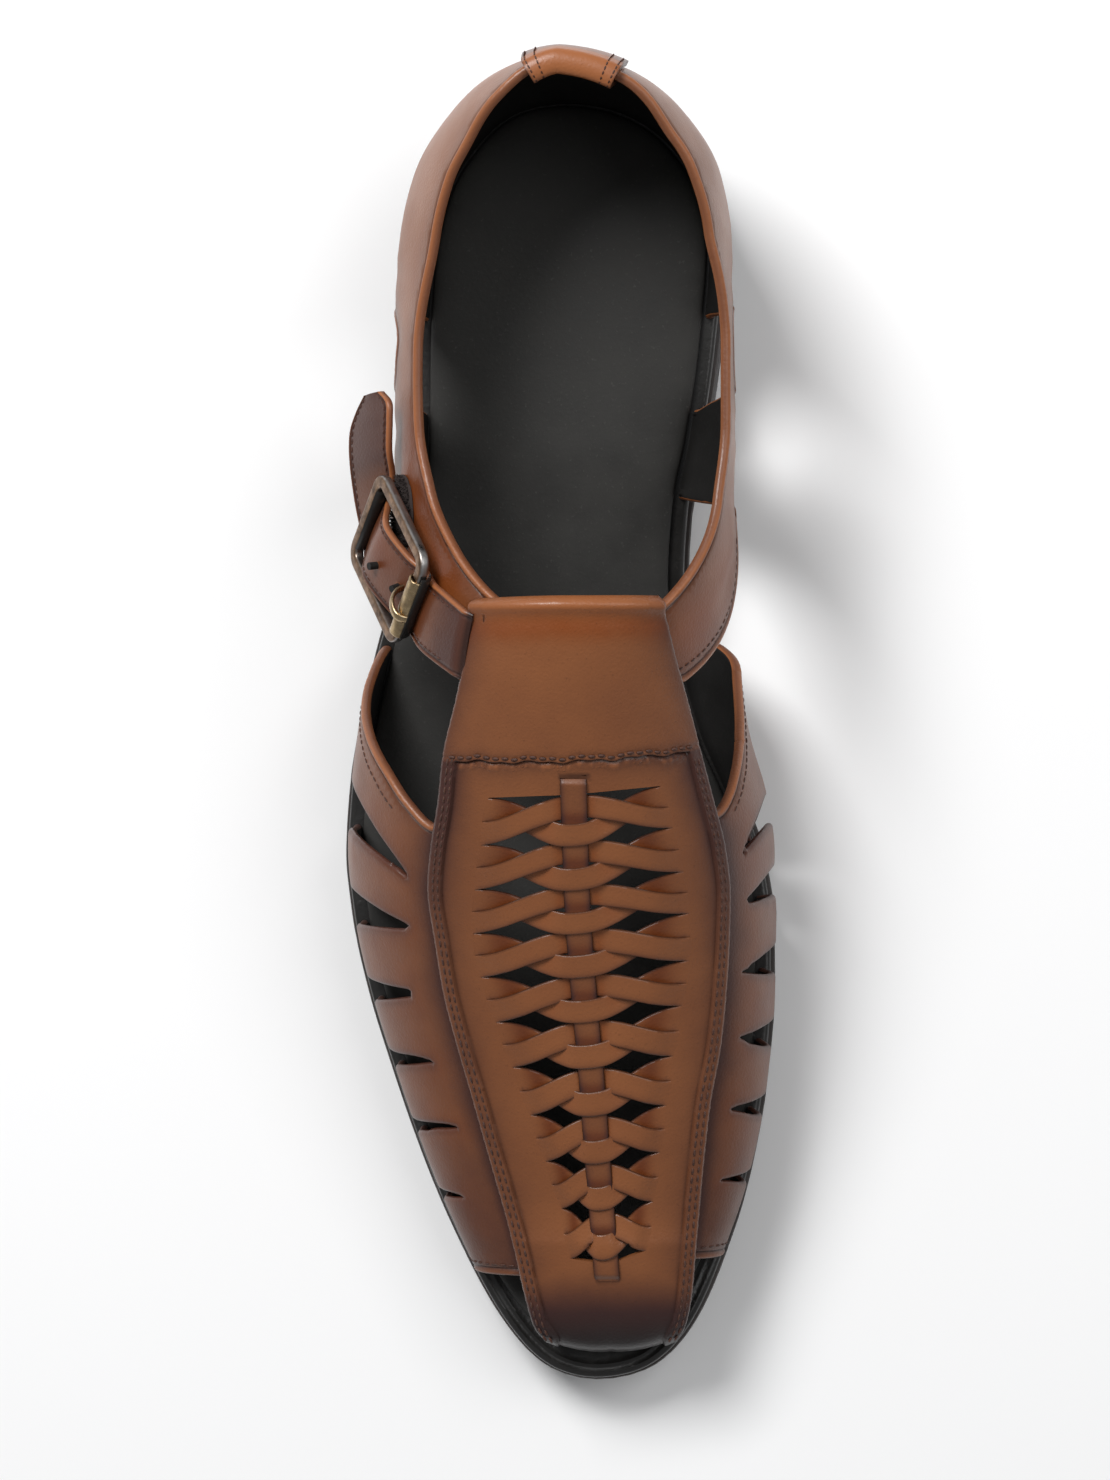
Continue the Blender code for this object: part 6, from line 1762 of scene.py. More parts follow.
        # Lighter crest of the fold and of the puckers under the seam: painted highlights.
        lip = 0.45 * bump(v["fold"], 1.4, 1.2) + 0.15 * bump(v["fold"], 3.6, 1.2)
        below = pucker(v) * bump(v["seam"], 1.1, 0.8)
        lip = lip + 0.3 * np.clip(below, 0.0, 1.0) * smooth(v["side"], 3.6, 4.4)
        line = 0.85 * bump(v["seam"], 0.05, 0.3) * smooth(v["side"], 3.0, 4.0)
        line = np.maximum(line, 0.65 * smooth(0.5 - v["side"], 0.0, 0.4))
        line = np.maximum(line, 0.45 * bump(v["side"], self.border_low + 0.1, 0.3) * (1.0 - apron))
        line = np.maximum(line, 0.7 * smooth(0.5 - v["slot"], 0.0, 0.5))
        return {"burnish_and_shade": np.clip(burnish_and_shade, 0.0, 1.0), "glow": glow, "lip": lip, "line": line * hem,
                "char": char}

    def border_rows(self) -> list[StitchRow]:
        """Two rows of stitches down each side of the border."""
        rows = []
        s = np.linspace(PLUG_SEAM + 1.0, PLUG_END - 1.5, 260)
        for outer in (True, False):
            for near_seam, near_toe in ((2.0, 1.5), (3.2, 2.9)):
                offset = near_seam + (near_toe - near_seam) * smooth(s, 160.0, 250.0)
                place = self.place({"row": s, "share": self.share_at(s, offset, outer)})
                rows.append(stitch_row(place, GAP + BORDER_THICKNESS - 0.02))
        return rows

    def share_at(self, s: Array, offset: Array, outer: bool) -> Array:
        """Shares across the panel that lie a surface distance in from one edge."""
        steps = np.linspace(0.0, 0.16, 40)
        shares = steps if outer else 1.0 - steps
        line = np.stack([self.raised({"row": s, "share": np.full(len(s), share)}, 2.0) for share in shares])
        run = np.concatenate([np.zeros((1, len(s))),
                              np.cumsum(np.linalg.norm(np.diff(line, axis=0), axis=2), 0)])
        return np.array([np.interp(offset[i], run[:, i], shares) for i in range(len(s))])

    def seam_rows(self) -> list[StitchRow]:
        """A row of stitches along the apron's lower edge."""
        share = np.linspace(0.045, 0.955, 160)
        place = self.place({"row": self.seam_station(share) - 1.0, "share": share})
        return [stitch_row(place, GAP + BORDER_THICKNESS - 0.05)]


STRIP_SHAPES = table(
    "StripShape", "station over over_tilt lens lens_tilt",
    (0.0, 1.50, 0.0, 2.9, 0.0), (0.14, 1.55, 0.05, 2.8, 0.05), (0.22, 1.85, 0.15, 2.45, 0.3),
    (0.35, 2.3, 0.2, 1.5, 0.6), (0.50, 2.45, 0.1, 1.0, 0.25), (0.65, 2.4, 0.0, 0.8, 0.0),
    (0.80, 2.05, -0.2, 1.05, -0.2), (0.92, 1.66, -0.08, 1.38, -0.08), (1.0, 1.5, 0.0, 1.5, 0.0),
)


class StripKind(Enum):
    """The two kinds of strip in a pair: one goes under the thong, one over it."""

    UNDER_THONG = "over"
    OVER_THONG = "lens"


@dataclass
class Weave:
    """The strips across the panel and the thong laced through them."""

    thickness: float = 1.0
    edge_round: float = 0.3
    under_bend: float = -4.15
    over_bend: float = 6.35
    thong_half: float = 2.9
    thong_thickness: float = 0.9
    strip_width: float = 4.9
    reach_steps: int = 61
    shape: tuple[float, ...] = (0.0, 0.03, 0.09, 0.2, 0.35, 0.5, 0.65, 0.8, 0.91, 0.97, 1.0)

    def thong_x(self, station: Array) -> Array:
        """x of the thong's middle at a station."""
        return ease(THONG_LINE, "x", station)

    def strip(self, number: int, kind: StripKind) -> tuple[Array, dict[str, Array]]:
        """Points and tones of one strip, from root to root.

        Args:
            number: the pair that it belongs to, counted from the instep.
            kind: whether it passes under or over the thong.

        Returns:
            Rings of shoe points and numbers for each point.
        """
        under = kind is StripKind.UNDER_THONG
        corners = {}
        for side in SIDES:
            tips, ends = weave_tips(side)
            corners[side] = (ends[number], tips[number + 1]) if under else (tips[number], ends[number])
        r, w = np.meshgrid(np.linspace(-1.0, 1.0, self.reach_steps), self.shape, indexing="ij")
        a = np.abs(r)
        left, right = ([start[k] + (end[k] - start[k]) * w for k in (0, 1)]
                       for start, end in (corners[LATERAL], corners[MEDIAL]))
        centre_s = (left[1] + right[1]) / 2.0
        centre_x = self.thong_x(centre_s)
        x = np.where(r < 0.0, centre_x + (left[0] - centre_x) * a, centre_x + (right[0] - centre_x) * a)
        line = left[1] + (right[1] - left[1]) * (x - left[0]) / (right[0] - left[0])
        swing, power = (self.under_bend, 1.25) if under else (self.over_bend, 1.1)
        s = line + swing * (1.0 + np.cos(math.pi * a ** power)) / 2.0
        lift = ease(STRIP_SHAPES, kind.value, a) + ease(STRIP_SHAPES, kind.value + "_tilt",
                                                        a) * (2.0 * w - 1.0)
        free = smooth(1.0 - a, 0.0, 0.08)
        drop = round_drop(np.minimum(w, 1.0 - w) * self.strip_width, self.edge_round) * free
        # Where the strip tucks under the thong and where it comes out of the panel: orange-brown painted
        # shade.
        tuck = 0.0 * a if under else bump(a, 0.70, 0.14)
        emerge = bump(a, 0.16, 0.05) if under else bump(a, 0.34, 0.1) * (1.0 - w)
        glow = np.clip(0.9 * tuck + 0.6 * emerge, 0.0, 1.0)
        line_tone = 0.8 * smooth(0.06 - np.minimum(w, 1.0 - w), 0.0, 0.06) * free
        # A lighter middle on the raised part of the strip: a painted highlight.
        raised = smooth(a, 0.95, 0.5) if under else smooth(a, 0.75, 0.2)
        lip = 0.10 * bump(w, 0.45, 0.35) * raised
        plan = np.column_stack([x.ravel(), s.ravel()])
        dark = panel_burnish(plan).reshape(x.shape)
        # Darker towards the strip's lower edge and where it tucks under the thong: painted shade.
        dark = dark + 0.45 * smooth(w, 0.72, 1.0) * free + 0.3 * tuck
        tones = (lip, np.clip(dark, 0, 1), glow, line_tone, 0.0 * dark)
        return self.band(x, s, lift - drop, lift - self.thickness + drop, tones)

    def thong(self) -> tuple[Array, dict[str, Array]]:
        """Points and tones of the thong, from the top slit to the bottom one."""
        s = np.linspace(THONG_LINE[0].station, THONG_LINE[-1].station, 420)
        lift = np.full(len(s), 2.35)
        tuck = np.zeros(len(s))
        for k in range(len(WEAVE_HOLES) - 1):
            here, after = WEAVE_HOLES[k], WEAVE_HOLES[k + 1]
            middle = (here.lateral_station + here.medial_station + after.lateral_station
                      + after.medial_station) / 4.0
            root = middle + (after.lateral_station - here.lateral_station) / 4.0
            under = root - (after.lateral_station - here.lateral_station) / 2.0 + self.over_bend
            over = root + self.under_bend
            lift = np.minimum(lift, 2.35 - 0.75 * bump(s, under, 2.6))
            lift = np.maximum(lift, 2.35 - 0.75 * bump(s, under, 2.6) + 0.25 * bump(s, over, 1.8))
            # just before each strip that the thong dips under: painted shade
            tuck = np.maximum(tuck, bump(s, under - 3.2, 1.5))
        lift = lift - 0.9 * smooth(s, 269.0, 271.0) - 0.7 * smooth(-s, -157.6, -156.4)
        grid_s, grid_w = np.meshgrid(s, self.shape, indexing="ij")
        x = self.thong_x(grid_s) + (grid_w - 0.5) * 2.0 * self.thong_half
        lifted = lift[:, None] + 0.0 * grid_w
        inward = np.minimum(grid_w, 1.0 - grid_w)
        drop = round_drop(inward * 2.0 * self.thong_half, self.edge_round)
        # orange-brown painted shade and a darker tone where the thong dips under a strip
        glow = 0.9 * tuck[:, None] + 0.0 * grid_w
        line = 0.8 * smooth(0.06 - inward, 0.0, 0.06)
        dark = 0.27 + 0.5 * bump(inward, 0.0, 0.16) + 0.3 * tuck[:, None]
        tones = (0.0 * grid_w, dark, glow, line, 0.0 * grid_w)
        return self.band(x, grid_s, lifted - drop, lifted - self.thong_thickness + drop, tones)

    def band(self, x: Array, s: Array, top: Array, low: Array,
             tones: tuple[Array, ...]) -> tuple[Array, dict[str, Array]]:
        """A closed band over plan points, from the lifts of its two faces.

        Args:
            x: grid of plan x, a row for each cross section.
            s: grid of stations.
            top: lift of the upper face.
            low: lift of the lower face.
            tones: numbers for each point, in the order of TONES.

        Returns:
            Rings of shoe points and numbers for each point.
        """
        place = FORM.over_plan(x.ravel(), s.ravel(), GAP + PANEL_THICKNESS)
        upper, lower = (FORM.point(*place, lift.ravel()).reshape(x.shape + (3,)) for lift in (top, low))
        lines = np.concatenate([upper, lower[:, ::-1]], 1)
        values = {word: np.concatenate([numbers, numbers[:, ::-1]], 1).ravel()
                  for word, numbers in zip(TONES, tones)}
        return lines, values

    def build(self) -> list[Object]:
        """Make the strips of each kind and the thong."""
        pairs = range(len(WEAVE_HOLES) - 1)
        made = [self.join("strips_" + kind.name.lower(), [self.strip(number, kind) for number in pairs])
                for kind in StripKind]
        return made + [self.join("laced_thong", [self.thong()])]

    def join(self, name: str, parts: list) -> Object:
        """One piece from several closed bands."""
        points, faces = lofts([lines for lines, _ in parts])
        values = {word: np.concatenate([tones[word] for _, tones in parts]) for word in TONES}
        piece = make_piece(name, points, faces, [LEATHER.material()], values=values, crease=50.0, weld=0.004)
        return settle(piece, "tan_leather")


# ---- collar tab ----------------------------------------------------------------------------------
@dataclass
class BackTab:
    """Small piece folded over the collar at the heel, sewn down at both ends."""

    rows: int = 40

    def wall(self, turned: Array, height: Numbers, offset: float) -> Array:
        """Points at heights on the heel's wall, moved out by offset; turns are negative on the outer side."""
        side, station = np.where(turned < 0.0, LATERAL, MEDIAL), np.abs(turned)
        return FORM.point(station, FORM.at_height(station, side, height, offset), offset)

    def profile(self, turned: Array) -> list[Array]:
        """The tab's cross section at each turn, round from its outer foot over the collar and back."""
        near, far = TAB_CLEARANCE, TAB_CLEARANCE + TAB_THICKNESS
        edge = self.wall(turned, COLLAR_LINE[1].medial, 0.0)
        top = ease(COLLAR_LINE, "medial", edge[:, 1]) + near
        outside = [(TAB_OUTER, far - 0.35)] + [(TAB_OUTER * share, far) for share in (0.97, 0.6, 0.3, 0.12)]
        inside = [(TAB_INNER * share, -WALL - far) for share in (0.15, 0.5, 0.97)]
        inside.append((TAB_INNER, -WALL - near - 0.2))
        inside += [(TAB_INNER * share, -WALL - near) for share in (0.6, 0.2)]
        back = [(TAB_OUTER * share, near) for share in (0.2, 0.6, 0.97)]
        outside, inside, back = ([self.wall(turned, top - drop, offset) for drop, offset in part]
                                 for part in (outside, inside, back))
        centre = [self.wall(turned, top, 0.1), self.wall(turned, top, -WALL - 0.1)]
        middle = (centre[0] + centre[1]) / 2.0
        reach = WALL / 2.0 + far
        across = centre[0] - centre[1]
        across /= np.linalg.norm(across, axis=1, keepdims=True)
        rise = np.array([0.0, 0.0, 1.0])
        over = [middle + across * math.cos(angle) * reach + rise * math.sin(angle) * (TAB_THICKNESS + 0.35)
                for angle in np.linspace(0.0, math.pi, 11)]
        fold = across * (reach - TAB_THICKNESS)
        return outside + over + inside + [middle - fold, middle + rise * 0.35, middle + fold] + back

    def build(self) -> Object:
        """Loft the folded tab."""
        turned = np.linspace(*TAB_TURNS, self.rows)
        lines = np.stack(self.profile(turned), 1)
        rows, columns = lines.shape[:2]
        share = np.repeat(np.linspace(0.0, 1.0, rows), columns)
        around = np.tile(np.arange(columns), rows)
        over = ((around >= 4) & (around <= 16)).astype(float)
        ends = np.minimum(share, 1.0 - share)
        # The fold over the collar: lighter as a painted highlight, with a little orange-brown painted shade;
        # darker at the tab's ends.
        values = {"burnish_and_shade": 0.35 + 0.4 * bump(ends, 0.0, 0.1), "glow": 0.25 * over, "lip": 0.65 * over,
                  "line": 0.6 * smooth(0.03 - ends, 0.0, 0.03), "char": 0.0 * over}
        piece = make_piece("collar_tab", lines.reshape(-1, 3), loft(lines), [LEATHER.material()],
                           values=values, crease=60.0)
        return settle(piece, "tan_leather", "back_tab")

    def rows_of_stitches(self) -> list[StitchRow]:
        """Stitches that hold the tab down, two lines at each end of it."""
        rows = []
        first, last = TAB_TURNS
        for turn in (first + 0.5, first + 1.9, last - 1.9, last - 0.5):
            lines = np.stack(self.profile(np.array([turn, turn + 0.01])), 1)[0]
            path = lines[2:18]
            middle = path.mean(0)
            ups = path - middle
            ups /= np.linalg.norm(ups, axis=1, keepdims=True)
            rows.append(StitchRow(path + ups * 0.03, ups))
        return rows


# ---- strap and buckle ----------------------------------------------------------------------------
@dataclass
class BuckleAxes:
    """Where the buckle's frame lies: its middle, its directions and its half sizes."""

    centre: Array
    along: Array
    across: Array
    out: Array
    long_half: float
    wide_half: float

    @classmethod
    def of_frame(cls, *shift: float) -> "BuckleAxes":
        """The axes from the frame's sizes, the middle moved by shift along, across and out."""
        along = np.array(FRAME_ALONG)
        across = np.array(FRAME_ACROSS)
        length, width = np.linalg.norm(along), np.linalg.norm(across)
        along = along / length
        across = across - along * np.dot(along, across)
        across = across / np.linalg.norm(across)
        out = np.cross(along, across)
        out = -out if out[0] > 0.0 else out
        centre = np.array(FRAME_CENTRE)
        for direction, part in zip((along, across, out), shift):
            centre = centre + direction * part
        return cls(centre, along, across, out, length / 2.0, width / 2.0)

    def place(self, along: Numbers, across: Numbers, out: Numbers) -> Array:
        """The point at distances from the middle, along, across and out of the frame."""
        return self.centre + self.along * along + self.across * across + self.out * out

    def sleeve(self, sign: int, runs: list[tuple[float, float]], angle: Array) -> Array:
        """Rings of points round the bar on one side.

        Args:
            sign: which bar, 1 in front and -1 behind.
            runs: the sleeve's section, as runs across and radii.
            angle: places round the bar.

        Returns:
            A row of points for each run.
        """
        bar = self.centre + self.along * self.long_half * sign
        ring = np.cos(angle)[:, None] * self.along * sign + np.sin(angle)[:, None] * self.out
        return np.stack([bar + self.across * run + ring * radius for run, radius in runs])


def swept(path: Array, sides: Array, ups: Array, profile: Array,
          loop: bool) -> tuple[Array, list]:
    """A profile swept along a path.

    Args:
        path: points of the path.
        sides: the profile's first direction at each point.
        ups: its second direction at each point.
        profile: flat points of the cross section.
        loop: whether the path closes on itself.

    Returns:
        Points and faces.
    """
    points = (path[:, None] + profile[:, :1] * sides[:, None]
              + profile[:, 1:] * ups[:, None])
    return points.reshape(-1, 3), loft(points, loop=loop)


def soft_box(half_width: float, half_height: float, power: float = 4.0, count: int = 20) -> Array:
    """A rounded rectangle as a flat ring of points."""
    angle = np.linspace(0.0, 2.0 * math.pi, count, endpoint=False)
    c, s = np.cos(angle), np.sin(angle)
    scale = (np.abs(c) ** power + np.abs(s) ** power) ** (-1.0 / power)
    return np.column_stack([c * scale * half_width, s * scale * half_height])


@dataclass
class Buckle:
    """The brass frame, its roller in two sleeves, the prong, and the black keepers on both bars."""

    axes: BuckleAxes = field(default_factory=lambda: BuckleAxes.of_frame(0.8, -0.7, -0.1))
    bar_half: float = 1.5
    roller_radius: float = 2.15
    sleeves: tuple[tuple[float, float], ...] = ((-7.0, 2.45), (4.0, 8.9))
    prong_path: tuple[tuple[float, float, float], ...] = (
        (16.3, 3.2, 0.4), (15.9, 3.2, 1.9), (14.9, 3.1, 2.8), (13.0, 2.6, 3.1), (11.0, 1.9, 2.7),
        (9.4, 1.4, 1.5), (8.5, 1.2, 0.0), (8.2, 1.1, -1.0))

    def frame(self) -> Object:
        """The frame: a flat-faced bar bent round with small corners."""
        a = self.axes
        path, outs = [], []
        for a_sign, c_sign in ((1, 1), (1, -1), (-1, -1), (-1, 1)):
            corner = (a.along * a_sign * (a.long_half - FRAME_CORNER) + a.across * c_sign
                      * (a.wide_half - FRAME_CORNER))
            ends = (a.across * c_sign, a.along * a_sign)
            if a_sign * c_sign < 0:
                ends = (a.along * a_sign, a.across * c_sign)
            for turn in np.linspace(0.0, math.pi / 2.0, 9):
                out = ends[0] * math.cos(turn) + ends[1] * math.sin(turn)
                path.append(a.centre + corner + out * FRAME_CORNER)
                outs.append(out)
        path, outs = self.even(np.array(path), np.array(outs))
        ups = np.repeat(a.out[None, :], len(path), 0)
        profile = soft_box(self.bar_half, FRAME_BAR * 0.92, 3.6, 36)
        points, faces = swept(path, outs, ups, profile, loop=True)
        worn = np.tile(np.where(profile[:, 0] > 0.0, 1.0, 0.55)
                       * smooth(np.abs(profile[:, 0]), 1.1, 1.5), len(path))
        piece = make_piece("brass_frame", points, faces, [BRASS.material()],
                           values={"worn": worn}, crease=60.0)
        return settle(piece, "antique_brass", "buckle_frame")

    def even(self, path: Array, outs: Array) -> tuple[Array, Array]:
        """The path with points added along its straight runs."""
        points, directions = [], []
        for here, ahead, out, out_ahead in zip(path, np.roll(path, -1, 0), outs, np.roll(outs, -1, 0)):
            parts = max(1, int(np.linalg.norm(ahead - here) / 1.2))
            for k in range(parts):
                points.append(here + (ahead - here) * k / parts)
                directions.append(out + (out_ahead - out) * k / parts)
        return np.array(points), np.array(directions)

    def roller(self) -> Object:
        """Two brass sleeves on the front bar, with the prong's gap between them."""
        inner, outer = self.bar_half + 0.12, self.roller_radius
        angle = np.linspace(0.0, 2.0 * math.pi, 36, endpoint=False)
        every, groups = lofts([self.axes.sleeve(1, [
            (low, inner), (low, outer - 0.25), (low + 0.12, outer - 0.06), (low + 0.4, outer),
            (high - 0.4, outer), (high - 0.12, outer - 0.06), (high, outer - 0.25), (high, inner)], angle)
            for low, high in self.sleeves], loop=True)
        piece = make_piece("brass_roller", every, groups, [PALE_BRASS.material()],
                           values={"worn": np.full(len(every), 0.05)}, crease=50.0)
        return settle(piece, "antique_brass", "buckle_roller")

    def prong(self) -> Object:
        """The prong: a bent tapered rod from the roller's gap into the strap's hole."""
        a = self.axes
        knots = np.array(self.prong_path)
        t = np.linspace(0, len(knots) - 1, 36)
        local = np.stack([np.interp(t, np.arange(len(knots)), knots[:, k]) for k in range(3)], 1)
        for _ in range(6):
            local[1:-1] = (local[:-2] + 2.0 * local[1:-1] + local[2:]) / 4.0
        path = a.place(*local.T[..., None])
        run = np.gradient(path, axis=0)
        run /= np.linalg.norm(run, axis=1, keepdims=True)
        sides = np.repeat(a.across[None, :], len(path), 0)
        ups = np.cross(run, sides)
        points, faces = swept(path, sides, ups, soft_box(0.95, 0.5, 2.6, 14), loop=False)
        piece = make_piece("brass_prong", points, faces, [PALE_BRASS.material()],
                           values={"worn": np.full(len(points), 0.1)}, crease=50.0)
        return settle(piece, "antique_brass", "buckle_prong")

    def keepers(self) -> Object:
        """Black keepers wrapped round the rear bar and along the toe side of the roller's bar."""
        parts = []
        for sign, half, start, end, inner, outer in (
                (-1, LOOP_HALF + 1.0, 2.45, 5.4, self.bar_half + 0.12, LOOP_RADIUS + 0.25),
                (1, ROLLER_HALF, -1.6, 0.28, self.roller_radius + 0.03, self.roller_radius + 0.42)):
            runs = [(-half, inner), (-half, outer - 0.25), (-half + 0.35, outer), (half - 0.35, outer),
                    (half, outer - 0.25), (half, inner)]
            parts.append(self.axes.sleeve(sign, runs, np.linspace(start, end, 32)).swapaxes(0, 1))
        piece = make_piece("bar_keepers", *lofts(parts), [KEEPER_BLACK.material()], crease=50.0)
        return settle(piece, "black_cover", "buckle_loop")


@dataclass
class Strap:
    """The buckle strap from under the apron through the buckle to its rounded end."""

    axes: BuckleAxes = field(default_factory=BuckleAxes.of_frame)
    rows: int = 150
    columns: int = 26
    lip: float = 1.15
    outer_half: float = 0.5
    crown: float = 0.45
    holes: tuple[tuple[float, float], ...] = ((4.7, 0.56), (3.8, 0.5))
    hole_radius: float = 0.85

    def edges(self) -> tuple[Array, Array, Array]:
        """Smooth upper and lower edges of the strap, and the row number at each point."""
        top, low = (np.array([self.axes.place(*row[k:k + 3]) for row in STRAP_ROWS]) for k in (0, 3))
        t = np.linspace(0.0, len(STRAP_ROWS) - 1, self.rows)
        return self.spline(top, t), self.spline(low, t), t

    def spline(self, knots: Array, t: Array) -> Array:
        """A smooth curve through knots at numbers t."""
        padded = np.concatenate([[2 * knots[0] - knots[1]], knots, [2 * knots[-1] - knots[-2]]])
        k = np.clip(t.astype(int), 0, len(knots) - 2)
        return curve(*(padded[k + ahead] for ahead in range(4)), (t - k)[:, None])

    def faces_out(self, top: Array, low: Array) -> Array:
        """The strap's outward direction at each row."""
        run = np.gradient((top + low) / 2.0, axis=0)
        face = np.cross(run, low - top)
        face /= np.linalg.norm(face, axis=1, keepdims=True)
        face *= np.where(face[:, :1] > 0.0, -1.0, 1.0)
        for _ in range(4):
            face[1:-1] = face[:-2] + 2 * face[1:-1] + face[2:]
            face /= np.linalg.norm(face, axis=1, keepdims=True)
        return face

    def build(self) -> Object:
        """Loft the strap with a rolled upper edge and pierce its holes."""
        top, low, t = self.edges()
        face = self.faces_out(top, low)
        t, w = t[:, None], np.linalg.norm(low - top, axis=1)[:, None]
        inset = np.array([0.0, 0.1, 0.3, 0.6, self.lip - 0.25, self.lip, self.lip + 0.25, self.lip + 0.6])
        spread = np.linspace(0.0, 1.0, self.columns)[1:-1]
        ends = smooth(t, 0.0, 0.3) * smooth(len(STRAP_ROWS) - 1 - t, -0.2, 0.5)
        d = np.concatenate([inset + 0.0 * w, self.lip + 0.6 + (w - 2 * (self.lip + 0.6)) * spread,
                            w - inset[::-1]], 1)
        rim = np.minimum(d, w - d)
        swell = 0.16 * np.sin(math.pi * np.clip(rim / self.lip, 0.0, 1.0))
        groove = 0.2 * bump(rim, self.lip + 0.12, 0.2)
        crown = self.crown * np.sin(math.pi * d / w)
        lift = self.outer_half + swell - groove + crown - round_drop(rim, 0.75) * (0.4 + 0.6 * ends)
        lift = lift - (self.outer_half + 0.5) * (1.0 - smooth(t, 0.0, 0.25))
        line = top[:, None] + (low - top)[:, None] * (d / w)[..., None]
        drop = round_drop(rim[:, ::-1], 0.5) - STRAP_THICKNESS / 2.0
        lines = np.concatenate([line + face[:, None] * lift[..., None],
                                line[:, ::-1] + face[:, None] * drop[..., None]], 1)
        # Lighter rolled edges, far more on the upper edge than the lower one: a painted highlight.
        lip = bump(rim, 0.5, 0.45) * np.where(d < w / 2.0, 0.9, 0.3) * smooth(t, 0.05, 0.25)
        # Orange-brown painted shade where the strap runs by the roller's bar and inside the frame.
        glow = 0.9 * bump(t, 2.2, 0.8) + 0.9 * bump(t, 5.0, 1.2) * bump(d / w, 0.35, 0.35)
        burnish_and_shade = np.maximum(0.95 * np.exp(-np.maximum(rim - self.lip, 0.0) / 3.6), 0.9 * smooth(t, 7.0, 9.0))
        burnish_and_shade = np.maximum(np.maximum(burnish_and_shade, 0.92 * bump(t, 0.4, 1.0)), 0.62) * (1.0 - 0.35 * glow)
        seam = 0.75 * bump(rim, self.lip + 0.12, 0.2) + 0.9 * (1.0 - smooth(t, 0.06, 0.16))
        tones = zip(TONES, (lip, burnish_and_shade, glow, seam, 0.0 * d), (0.0, 0.5, 0.0, 0.0, 0.0))
        values = {word: np.concatenate([tone, 0.0 * d + below], 1).ravel() for word, tone, below in tones}
        lining = np.zeros((len(lines) - 1, lines.shape[1]), int)
        lining[:, d.shape[1] + 2:-3] = 1
        choice = np.concatenate([lining.ravel(), [0, 0]])
        piece = make_piece("buckled_strap", lines.reshape(-1, 3), loft(lines),
                           [LEATHER.material(), LINING.material()], choice, values, crease=55.0)
        self.pierce(piece)
        return settle(piece, "tan_leather", "buckle_strap")

    def hole_place(self, number: float, share: float) -> tuple[Array, Array]:
        """Middle and outward direction of a hole, in shoe millimetres."""
        top, low, t = self.edges()
        face = self.faces_out(top, low)
        i = int(np.argmin(np.abs(t - number)))
        return top[i] + (low[i] - top[i]) * share, face[i]

    def pierce(self, piece: Object) -> None:
        """Cut the strap's round holes."""
        for number, share in self.holes:
            middle, out = self.hole_place(number, share)
            work = bmesh.new()
            bmesh.ops.create_cone(work, cap_ends=True, segments=20, radius1=self.hole_radius * MM,
                                  radius2=self.hole_radius * MM, depth=6.0 * MM)
            mesh = bpy.data.meshes.new("punch")
            turn = Vector((out[0], -out[1], out[2])).to_track_quat("Z", "Y").to_matrix().to_4x4()
            work.transform(Matrix.Translation(Vector(to_world(middle[None, :])[0])) @ turn)
            work.to_mesh(mesh)
            work.free()
            for material in piece.data.materials:
                mesh.materials.append(material)
            mesh.polygons.foreach_set("material_index", np.ones(len(mesh.polygons), np.int32))
            punch = place_object("punch", mesh)
            cut = piece.modifiers.new("hole", "BOOLEAN")
            cut.operation, cut.solver, cut.object = "DIFFERENCE", "EXACT", punch
            fresh = with_modifiers(piece)
            piece.modifiers.remove(cut)
            piece.data = fresh
            bpy.data.objects.remove(punch)

    def rows_of_stitches(self) -> list[StitchRow]:
        """Stitches beside both edges of the strap, left out where the buckle covers them."""
        top, low, t = self.edges()
        face = self.faces_out(top, low)
        width = np.linalg.norm(low - top, axis=1)
        rows = []
        inset = (self.lip + 0.75) / width
        for share in (inset, 1.0 - inset):
            for start, end in ((0.5, 5.9), (6.0, 11.6)):
                here = (t >= start) & (t <= end)
                crown = self.crown * np.sin(math.pi * share[here])
                line = top[here] + (low[here] - top[here]) * share[here][:, None]
                rows.append(StitchRow(line + face[here]
                                      * (self.outer_half + 0.04 + crown)[:, None], face[here]))
        return rows


